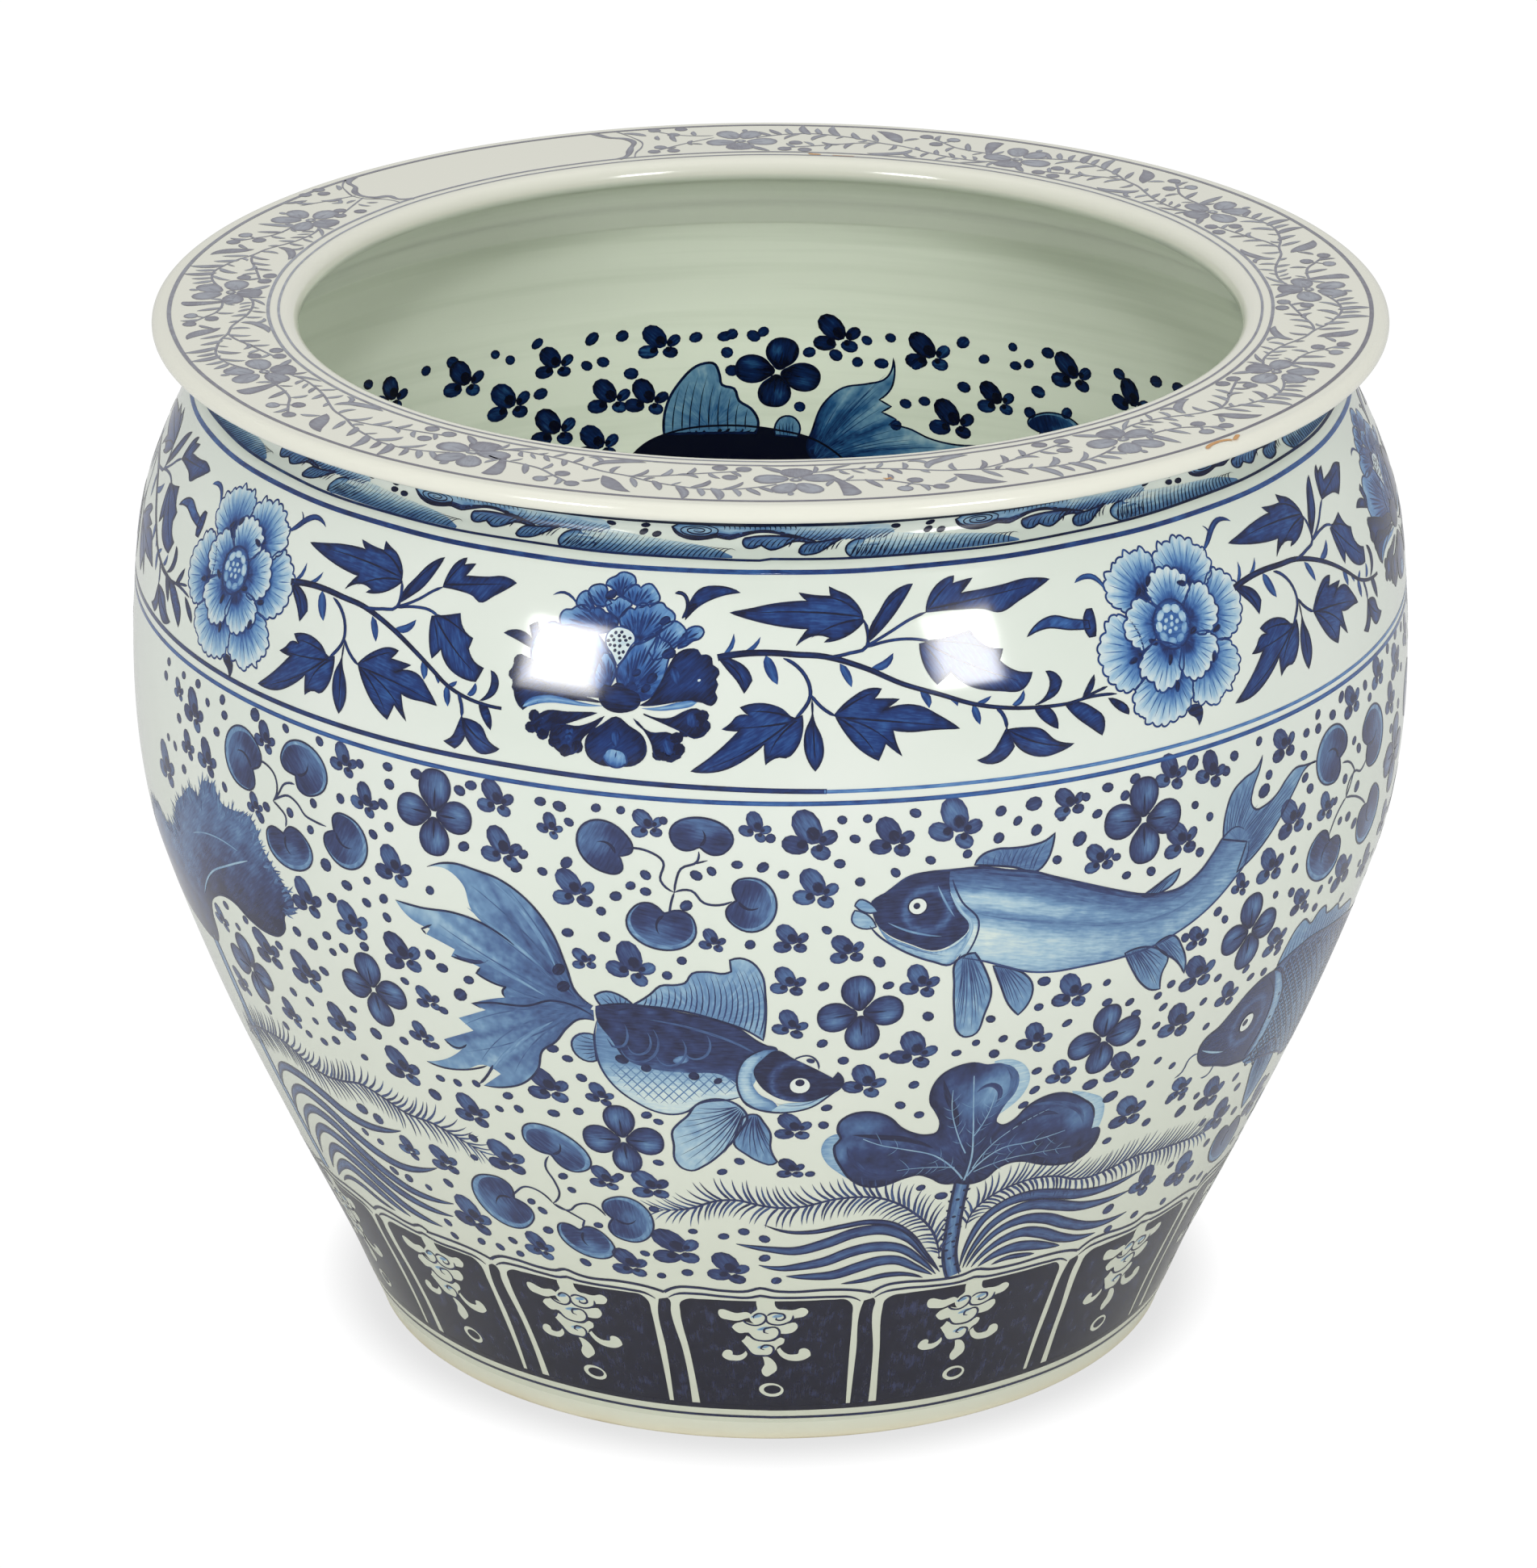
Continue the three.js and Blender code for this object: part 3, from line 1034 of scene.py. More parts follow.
def long_blade(p, points, width=5.5, tone=0.72):
    p.stroke(points, width, blade, tone, BODY, 0.12, 3.0)
    path = smooth(points, 3.0)
    way = np.gradient(path, axis=0)
    size = np.maximum(np.hypot(way[:, 0], way[:, 1]), 1e-6)
    side = np.stack([-way[:, 1] / size, way[:, 0] / size], 1)
    half = np.array([blade(i / (len(path) - 1)) for i in range(len(path))]) * width / 2
    for sign in (1, -1):
        edge = path + sign * side * half[:, None] * 0.95
        p.stroke([tuple(q) for q in edge], 0.8, thick_line, 0.98, LINE, 0.03, 4.0)


def rays(p, roots, tips, count, width=0.6, tone=0.8, lift=LINE, bow=0.0, short=0.96):
    """Fine lines fanning from points along one line to points along another."""
    start = smooth(roots, 0.8) if len(roots) > 1 else np.array([roots[0], roots[0]])
    end = smooth(tips, 0.8)
    for i in range(count):
        t = (i + 0.5) / count
        a = start[int(t * (len(start) - 1))]
        b = end[int(t * (len(end) - 1))]
        b = a + (b - a) * short * random.uniform(0.93, 1.0)
        middle = (a + b) / 2 + np.array([-(b - a)[1], (b - a)[0]]) * bow
        p.stroke([tuple(a), tuple(middle), tuple(b)], width, tail_off, tone, lift, 0.03, 4.0)


# The main band: goldfish, carp, lotus leaves and water weed among scattered flowers. It is drawn once for
# the front half, and stands again half a turn round.

main = Paint("main_band", Outside, BLUE, "cobalt_wash")


NET_STEPS = 39


def fish_net(p, inside_of, low, high, gap, slant, width, tone, lift):
    """Two sets of slanting lines that cross as a fish's scales, kept inside a loop."""
    loop = smooth(inside_of, 2.0, True)
    u0, z0 = loop.min(0)
    u1, z1 = loop.max(0)
    for sign in (1, -1):
        reach = (z1 - z0) / math.tan(math.radians(slant))
        at = u0 - reach
        while at < u1 + reach:
            run = []
            for i in range(NET_STEPS + 1):
                z = z0 + (z1 - z0) * i / NET_STEPS
                u = at + sign * (z - z0) / math.tan(math.radians(slant))
                held = within(loop, u, z) and low <= z <= high
                if held:
                    run.append((u, z))
                if not held or i == NET_STEPS:
                    if len(run) > 2:
                        p.stroke([run[0], run[-1]], width, thick_line, tone, lift, 0.0, 5.0)
                    run = []
            at += gap


def within(loop, u, z):
    following = np.roll(loop, -1, 0)
    cross = (loop[:, 1] > z) != (following[:, 1] > z)
    climb = following[:, 1] - loop[:, 1] + 1e-12
    at = (following[:, 0] - loop[:, 0]) * (z - loop[:, 1]) / climb + loop[:, 0]
    return bool(np.count_nonzero(cross & (u < at)) % 2)


def fin(p, loop, roots, tips, count, tone=0.42, line=0.8, lift=WASH, bow=0.03, outline=0.9):
    """A fin: a pale wash, fine rays from root to tip and a dark outline."""
    root = np.array(roots, float).mean(0)
    far = max(math.dist(root, q) for q in loop)

    def shade(u, z, gap):
        reach = np.hypot(u - root[0], z - root[1]) / far
        return tone + 0.2 * np.clip(0.5 - reach, 0, 1) - 0.12 * np.clip(reach - 0.4, 0, 1)

    p.fill(loop, shade, lift, 3.0, 0, tuple(root))
    rays(p, roots, tips, count, 0.75, line, lift + 0.03, bow)
    outline_of(p, loop, outline, 0.93, lift + 0.06)


def goldfish(p):
    back = xy(-71,236, -58,238.5, -45,237.5, -30,235, -15,231, -3,222, 3,219.5)
    belly = xy(-13,195, -16,194, -32,190, -35,187, -42,184.5, -50,185.5, -58,189.5, -66,196, -71,204,
               -73,215, -71,229)
    whole = back + xy(2,219, -4,210, -8,200) + belly

    def flank(u, z, gap):
        return 0.03 + 0.42 * np.clip((z - 194) / 16, 0, 1) ** 1.3 + 0.1 * np.exp(-gap / 1.5)

    p.fill(whole, flank, WASH, 3.0)
    net_loop = xy(-68,210, -66,200, -60,194, -50,190, -38,190, -26,196, -16,197, -12,206, -30,209, -52,209)
    fish_net(p, net_loop, 188, 211, 4.4, 47, 0.55, 0.5, BODY)
    dark = back + xy(3,219, -5,214, -11,206, -12,199, -20,206, -35,206.5, -50,207.5)
    dark += xy(-60,211, -66,221, -71,230)

    def deep(u, z, gap):
        ripple = 0.1 * np.sin(u * 0.55 + z * 0.2) * np.sin(z * 0.42)
        low_edge = np.clip((z - 207 + 0.1 * (u + 40)) / 6, 0, 1)
        return 0.7 + 0.2 * low_edge + ripple * (u < -30)

    p.fill(dark, deep, BODY + 0.01, 3.0)
    for u, z, size in ((-62, 211, 2.5), (-52, 207.5, 2.2), (-32, 205, 2.3), (-22, 203, 1.6)):
        p.dot(u, z, size, 0.96, 0.9, LINE)
    p.blob(-37, 213, 3.4, 2.0, 20, 0.62, 0.36, 0.1, LINE)
    for u, z, wide, high in ((-54, 222, 9, 11), (-54, 222, 5.5, 7.5), (-41, 219, 7, 9), (-63, 225, 5, 8),
                             (-30, 222, 6, 8)):
        p.stroke([(u - wide * 0.9, z - high * 0.5), (u - wide * 0.5, z - high),
                  (u + wide * 0.4, z - high * 0.9),
                  (u + wide * 0.9, z - high * 0.2), (u + wide * 0.7, z + high * 0.5)],
                  1.2, blade, 0.68, LINE, 0.0, 3.0)
    p.stroke(xy(-50,232, -30,228.5, -10,220, 0,212), 1.3, blade, 0.7, LINE, 0.0, 3.0)
    gill = xy(-3,219, -10,215, -14,205, -13.5,198, -10,191, -3,188, 4,187.5, 2,192, -5,197, -8,205, -4,213,
              3,219)

    def pale(u, z, gap):
        return 0.12 + 0.32 * np.exp(-gap / 1.6) + 0.16 * np.clip((u + 9) / 8, 0, 1)

    p.fill(gill, pale, LINE, 2.2)
    outline_of(p, gill[:7], 0.9, 0.95, DARK, False)
    face = xy(2,219, 10,214.5, 20,208.5, 26,204.5, 28,207.5, 31,202, 29,198, 25,196, 18,193, 8,193, 0,196.5,
              -5,202, -7,209, -3,215)

    def head(u, z, gap):
        swirl = np.abs(np.hypot(u - 10, z - 203) - 9.5)
        return 0.98 - 0.3 * np.exp(-((swirl / 1.3) ** 2)) * (u < 14)

    p.fill(face, head, DARK, 1.9)
    chin = xy(29,198, 25,195.5, 18,190.5, 8,187.5, 0,187.5, 4,191, 14,192.5, 24,196)
    p.fill(chin, 0.22, LINE + 0.02, 2.2)
    p.stroke(xy(30,200, 25,195.5, 18,190, 8,187.3, 0,187.3, -8,190, -12,194), 0.9,
             thick_line, 0.95, DARK + 0.02)
    p.stroke(xy(20,193.5, 10,190.5, 2,192), 0.6, tail_off, 0.7, DARK)
    p.stroke(xy(9.5,214, 12,215.6, 16,216, 19,213.5, 20,209), 0.8, thick_line, 0.92, DARK)
    p.blob(16.5, 213.5, 1.8, 1.2, -20, 0.9, 0.85, 0.1, DARK)
    outline_of(p, back, 0.9, 0.97, DARK, False)
    outline_of(p, list(reversed(belly)) + [(-12, 193.5)], 0.9, 0.9, DARK, False)


def goldfish_fins(p):
    back_fin = xy(-56,238, -48,244, -44,248, -37,249, -34,250, -31,254.5, -25,255.5, -18,255, -15.5,256,
                  -16,261, -12,262, -7,260, -3.5,255, -2,245, -2,232, -3,224, -10,229, -20,233, -35,237)
    roots = xy(-52,238, -35,237, -20,233, -10,229, -3,226)
    tips = xy(-50,243, -44,248, -34,250, -31,254.5, -25,255.5, -16,255.5, -13,261, -5,258)
    fin(p, back_fin, roots, tips, 22, 0.4, 0.84, WASH, -0.1)
    small = xy(-69,237, -71,241, -66,243.5, -60,242, -55,238)
    fin(p, small, [(-64, 237), (-58, 238)], xy(-70,241, -62,243, -57,240), 5, 0.45, 0.85)
    under = xy(-73,222, -79,221.5, -83,217, -82,211, -77,208, -73,209)
    fin(p, under, [(-73, 220), (-73, 210)], xy(-79,221.5, -83,215, -77,208), 6, 0.45, 0.9)
    one = xy(-12,189, -20,193.5, -27,193, -32,190, -36,184, -40,180, -43,176, -43,168, -43,160, -40,156,
             -36,155, -30,158, -24,163, -18,170, -13,178, -10,185)
    fin(p, one, [(-14, 190), (-11, 186)], xy(-31,190, -42,176, -42,158, -34,156, -15,175), 14,
        0.26, 0.85, BODY, 0.05, 1.0)
    two = xy(-9,186, -15,176, -16,170, -11,165, -5,161, 1,159.5, 3,161, 0,168, 0,176, -3,182, -6,186)
    fin(p, two, [(-8, 185), (-5, 185)], xy(-16,171, -6,162, 2,161, 0,172), 8, 0.48, 0.85, WASH, -0.05)
    for u, z in ((-85.5, 251), (-84, 243.5)):
        p.dot(u, z, 2.5, 0.97, 0.93, DARK)


def goldfish_tail(p):
    upper = xy(-142,286, -130,290, -120,289, -110,287, -98,280, -88,268, -82,252, -79,242, -72,236, -74,233,
               -90,245, -104,259, -118,267, -122,271, -126,282, -134,287)
    middle = xy(-158,268, -146,267.5, -130,268.5, -120,267, -104,259, -90,246, -76,237, -72,233, -90,234,
                -102,233, -110,234, -111,236.5, -109,239, -115,240, -122,243, -120,246, -125,247.5,
                -133,248.5, -131,252, -137,254, -144,256, -142,259, -152,262)
    lower = xy(-72,234, -90,236, -110,234, -126,228, -120,226, -134,219, -128,214, -144,206, -139,202,
               -134,205, -145,196, -157,191.5, -150,190.5, -138,192, -125,197, -119,194, -129,186, -120,187,
               -108,192, -100,201, -97,210, -90,216, -84,224, -78,229, -72,229)

    def shade_to(root, far, base, drop):
        def shade(u, z, gap):
            reach = np.hypot(u - root[0], z - root[1]) / far
            turned = np.arctan2(z - root[1], u - root[0]) + 0.12 * reach
            bright = 0.07 * np.sin(turned * 19 + 1) + 0.06 * np.sin(turned * 43 + 2)
            bright = bright + 0.04 * np.sin(turned * 71)
            bright = bright * np.clip(reach * 2.2, 0.2, 1)
            return base - drop * np.clip(reach - 0.2, 0, 1) + bright + 0.06 * np.exp(-gap / 1.5)
        return shade

    p.fill(upper, shade_to((-76, 235), 75, 0.7, 0.42), WASH, 2.2, 0, (-76, 235))
    p.fill(middle, shade_to((-74, 236), 85, 0.66, 0.44), WASH + 0.02, 2.2, 0, (-60, 236))
    p.fill(lower, shade_to((-74, 236), 90, 0.64, 0.42), BODY, 2.2, 0, (-70, 240))
    edges = [
        upper[:9],
        middle[:5],
        xy(-110,234, -111,236.5, -109,239, -115,240, -122,243, -120,246),
        [(-133, 248.5), (-125, 247.5)],
        xy(-144,256, -146,258, -141,261),
        xy(-72,231, -90,236, -100,232, -118,230, -126,228, -122,226.5),
        xy(-144,206, -139,203, -133,206),
        xy(-157,191.5, -150,190.5, -138,192, -125,197),
        xy(-129,186, -120,187, -108,192, -100,201, -97,210, -90,216, -84,224, -78,229, -72,229),
    ]
    for edge in edges:
        outline_of(p, edge, 0.95, 0.97, DARK, False)
    for points in (
        xy(-80,240, -98,254, -118,266),
        xy(-78,238, -96,262, -122,282),
        xy(-80,243, -92,266, -106,284),
        xy(-80,236, -104,246, -138,262),
        xy(-80,235, -104,238, -120,244),
        xy(-80,232, -104,222, -128,198),
        xy(-79,233, -108,228, -132,216),
        xy(-80,231, -98,216, -112,196),
        xy(-80,231, -106,214, -134,202),
    ):
        p.stroke(points, 1.1, tail_off, 0.66, LINE, -0.04, 4.0)
    p.stroke(xy(-122,198, -128,189.5, -131,186.5), 1.2, thick_line, 0.95, DARK, 0.02)
    p.stroke(xy(-132,250, -124,248, -116,250), 2.0, blade, 0.85, LINE, 0.02)
    for points in (
        xy(-88,246, -106,261, -124,272),
        xy(-90,226, -110,210, -124,194),
        xy(-92,238, -118,250, -138,258),
        xy(-86,250, -97,271, -113,286),
    ):
        p.stroke(points, 2.2, blade, 0.42, LINE, 0.05, 4.0)


def plain_carp(p):
    back = xy(39,284, 47,290, 55,295, 62,296, 71,296, 85,295.5, 95,293, 105,291, 115,287, 130,281, 145,275,
              156,271, 166,269, 175,269, 185,273, 193,280, 198,285, 205,287.5, 210,285)
    belly = xy(213,279, 212,270, 205,264, 195,257, 185,252, 175,248.5, 165,246, 150,244.5, 130,244.5,
               115,245, 105,247, 95,251, 85,255, 76,257.5)
    body = back[3:] + belly + xy(71,264, 76,272, 70,284)
    spine = np.array(smooth(back, 2.0))
    under = np.array(smooth(list(reversed(belly)), 2.0))

    def shade(u, z, gap):
        top = np.interp(u, spine[:, 0], spine[:, 1])
        low = np.interp(u, under[:, 0], under[:, 1])
        share = np.clip((top - z) / np.maximum(top - low, 4), 0, 1)
        near = np.interp(share, [0, 0.1, 0.22, 0.31, 0.4, 0.47, 0.56, 0.68, 0.86, 1],
                         [0.74, 0.66, 0.52, 0.14, 0.2, 0.52, 0.3, 0.04, 0.12, 0.3])
        far = np.interp(share, [0, 0.1, 0.24, 0.36, 0.5, 0.62, 0.8, 1],
                        [0.7, 0.62, 0.56, 0.44, 0.5, 0.36, 0.32, 0.42])
        along = np.clip((u - 90) / 62, 0, 1)
        steps = near * (1 - along) + far * along
        tail = np.clip((u - 184) / 24, 0, 1)
        return steps * (1 - 0.3 * tail) + 0.16 * tail

    p.fill(body, shade, WASH, 2.2, -12)
    for start, end, level, wide in ((0.04, 0.04, 0.78, 1.8), (0.2, 0.16, 0.6, 2.2), (0.49, 0.46, 0.54, 1.6)):
        run = []
        for i in range(9):
            u = 82 + i * 13.5
            share = start + (end - start) * i / 8 + 0.01 * math.sin(i * 1.7)
            top = float(np.interp(u, spine[:, 0], spine[:, 1]))
            low = float(np.interp(u, under[:, 0], under[:, 1]))
            run.append((u, top - (top - low) * share))
        p.stroke(run, wide, blade, level, BODY, 0.0, 5.0)
    outline_of(p, back, 1.0, 0.9, DARK, False)
    outline_of(p, belly, 0.9, 0.8, DARK, False)
    head = xy(39,284, 47,290, 55,295, 62,296, 71,296, 71,288, 74,280, 78,275, 79,270, 74,265, 66,262, 55,266,
              46,271, 42,275, 40,280)

    def skull(u, z, gap):
        return 0.92 - 0.3 * np.exp(-(((np.hypot(u - 62, z - 280) - 9) / 1.6) ** 2))

    p.fill(head, skull, BODY, 2.2)
    cheek = xy(42,275, 46,270.5, 55,265.5, 66,261.5, 75,264.5, 79,269, 76,260, 72,255.5, 65,257, 56,261,
               48,266)
    p.fill(cheek, lambda u, z, gap: 0.14 + 0.3 * np.exp(-gap / 1.3), BODY, 2.0)
    outline_of(p, xy(76,259, 72,255, 65,257, 56,261, 48,266, 42,271, 39,275), 0.9, 0.9, DARK, False)
    p.stroke(xy(48,268, 58,263, 70,259), 0.6, tail_off, 0.6, LINE)
    p.stroke(xy(71,287, 75,279, 80,272, 78,264, 74,258), 1.8, blade, 0.25, LINE)
    p.stroke(xy(72,292, 76,282, 83,273, 81,263, 77,257), 0.8, thick_line, 0.88, DARK)
    p.stroke(xy(46,276, 56,271, 68,268), 1.0, blade, 0.42, LINE)
    p.stroke(xy(66,290, 69,283, 73,276), 1.0, blade, 0.4, LINE)
    upper_lip = xy(33,284, 35,286.5, 38,285.5, 42,281, 39,280.5)
    lower_lip = xy(33,282, 32,277, 36,274, 41.5,274.5, 39,279)
    p.fill(upper_lip, 0.35, LINE, 1.6)
    p.fill(lower_lip, 0.3, LINE, 1.6)
    outline_of(p, upper_lip, 0.7, 0.92)
    outline_of(p, lower_lip, 0.7, 0.92)
    back_fin = xy(81,297, 83,300, 90,302.5, 97,302, 105,302, 111,303, 115,305.5, 114,300, 112,295, 108,291,
                  97,294)
    fin(p, back_fin, xy(84,296, 96,294, 107,291), xy(84,300, 97,302, 114,304), 12, 0.56, 0.74, WASH, 0.06)
    second = xy(156,270, 163,273, 170,276, 175,277.5, 173,273, 165,269.5)
    fin(p, second, [(156, 270), (166, 269.5)], [(163, 273), (175, 277)], 6, 0.5, 0.8)
    tail = xy(198,284, 199,295, 203,303, 210,307, 217,309, 221,313.5, 219,308, 215,301, 214,295, 217,291.5,
              222,291.5, 230,294, 237,299, 243,301.5, 250,300.5, 259,299.4, 250,299, 243,293, 236,286,
              228,279, 218,272, 207,267, 212,279)
    fin(p, tail, xy(200,285, 205,287, 211,284, 213,276, 209,269),
        xy(200,296, 209,306, 219,309, 215,297, 224,292, 243,300, 250,299, 238,288, 220,273),
        26, 0.46, 0.72, WASH + 0.01, 0.04)
    front = xy(75,257, 74,245, 75,232, 77,223, 80,220, 84,220, 88,230, 90,240, 87,250, 82,259)
    fin(p, front, [(77, 257), (81, 258)], xy(75,235, 78,221, 84,221, 90,240), 11, 0.42, 0.72, BODY, 0.02)
    behind = xy(90,252, 94,242, 98,233, 103,227, 107,232, 108,240, 104,246, 99,249)
    fin(p, behind, [(91, 251), (97, 250)], xy(96,236, 103,228, 108,240), 8, 0.48, 0.75, WASH, 0.02)
    low = xy(150,246, 155,237, 161,229, 168,224, 172,223.5, 171,231, 173,238, 168,243, 162,246)
    fin(p, low, [(151, 246), (160, 246)], xy(158,232, 171,224, 172,238), 10, 0.46, 0.76, BODY, 0.02)
    last = xy(165,246, 170,241, 177,236, 184,227.5, 183,235, 180,241, 174,248)
    fin(p, last, [(166, 246), (172, 247)], xy(176,237, 184,228, 181,240), 7, 0.44, 0.72, WASH, 0.02)


def scaled_carp(p):
    head = xy(211,183, 213,186, 220,189, 227,195, 234,201, 242,205, 252,206, 258,205, 262,200, 268,192,
              271,182, 270,172, 265,163, 258,160, 250,161, 240,163, 232,166, 226,168, 218,171, 212,177)
    body = xy(250,206, 275,212, 300,209, 330,203, 360,196, 385,190, 400,186, 400,172, 385,165, 365,150,
              345,138, 325,138, 305,146, 285,152, 258,158)

    def flank(u, z, gap):
        top = np.interp(u, [250, 275, 300, 330, 360, 385, 400], [206, 212, 209, 203, 196, 190, 186])
        return 0.66 - 0.22 * np.clip((top - z) / 30, 0, 1) + 0.08 * np.exp(-gap / 2)

    p.fill(body, flank, WASH, 3.2)
    loop = smooth(body, 2.0, True)
    rows = 0
    z = 140.0
    while z < 212:
        u = 262 + (rows % 2) * 3.1
        while u < 398:
            if within(loop, u - 2, z) and within(loop, u + 4, z) and within(loop, u + 1, z + 2.4):
                arc_points = [(u + 2.6, z + 2.7), (u - 0.6, z + 1.9), (u - 1.4, z), (u - 0.4, z - 1.9),
                              (u + 2.6, z - 2.7)]
                p.stroke(arc_points, 0.85, thick_line, 0.95, BODY, 0.0, 4.0)
                if (rows + int(u)) % 2 == 0:
                    p.blob(u + 1.6, z, 1.1, 0.9, 0, 0.97, 0.95, 0.0, LINE, 6)
            u += 6.2
        z += 2.9
        rows += 1
    outline_of(p, body[:7], 1.1, 0.95, DARK, False)
    outline_of(p, body[7:], 1.0, 0.85, DARK, False)

    def skull(u, z, gap):
        ring = np.exp(-(((np.hypot(u - 244, z - 184) - 11) / 1.8) ** 2))
        return 0.88 - 0.22 * ring - 0.2 * np.clip((u - 255) / 14, 0, 1)

    p.fill(head, skull, BODY + 0.01, 2.4)
    gill = xy(252,206, 262,200, 268,192, 271,182, 270,172, 265,163, 258,160, 262,168, 263,180, 260,192)
    p.fill(gill, lambda u, z, gap: 0.3 + 0.25 * np.exp(-gap / 1.3), LINE, 2.0)
    outline_of(p, head, 1.0, 0.95)
    p.stroke(xy(250,203, 259,194, 263,182, 261,170, 256,162), 1.0, thick_line, 0.95, DARK)
    p.stroke(xy(213,180, 222,176, 232,173), 1.1, blade, 0.25, DARK)
    p.stroke(xy(211,179, 206,178, 204,172, 200,170), 0.9, thick_line, 0.75, LINE)
    p.stroke(xy(228,168, 227,164, 221,163.3), 0.9, thick_line, 0.75, LINE)
    back_fin = xy(253,208, 256,218, 260,224, 265,226, 270,223, 273,221, 279,225, 285,225, 289,220, 295,219,
                  303,219, 307,215, 318,213, 330,210, 335,203, 300,209, 275,212)
    fin(p, back_fin, xy(256,208, 275,211, 300,208, 332,203),
        xy(257,220, 265,225, 282,225, 303,218, 330,209), 24, 0.42, 0.66, WASH + 0.01, 0.06)
    front = xy(272,160, 273,150, 278,140, 284,130, 290,123, 295,128, 300,140, 298,150, 290,158)
    fin(p, front, [(274, 159), (286, 158)], xy(278,140, 290,124, 299,140), 12, 0.5, 0.75, BODY, 0.03)
    tail = xy(398,188, 415,200, 435,215, 442,218, 438,200, 440,185, 438,172, 444,160, 436,150, 418,160,
              398,171)
    fin(p, tail, xy(400,186, 401,179, 400,172), xy(435,214, 438,186, 437,152), 20, 0.45, 0.75)


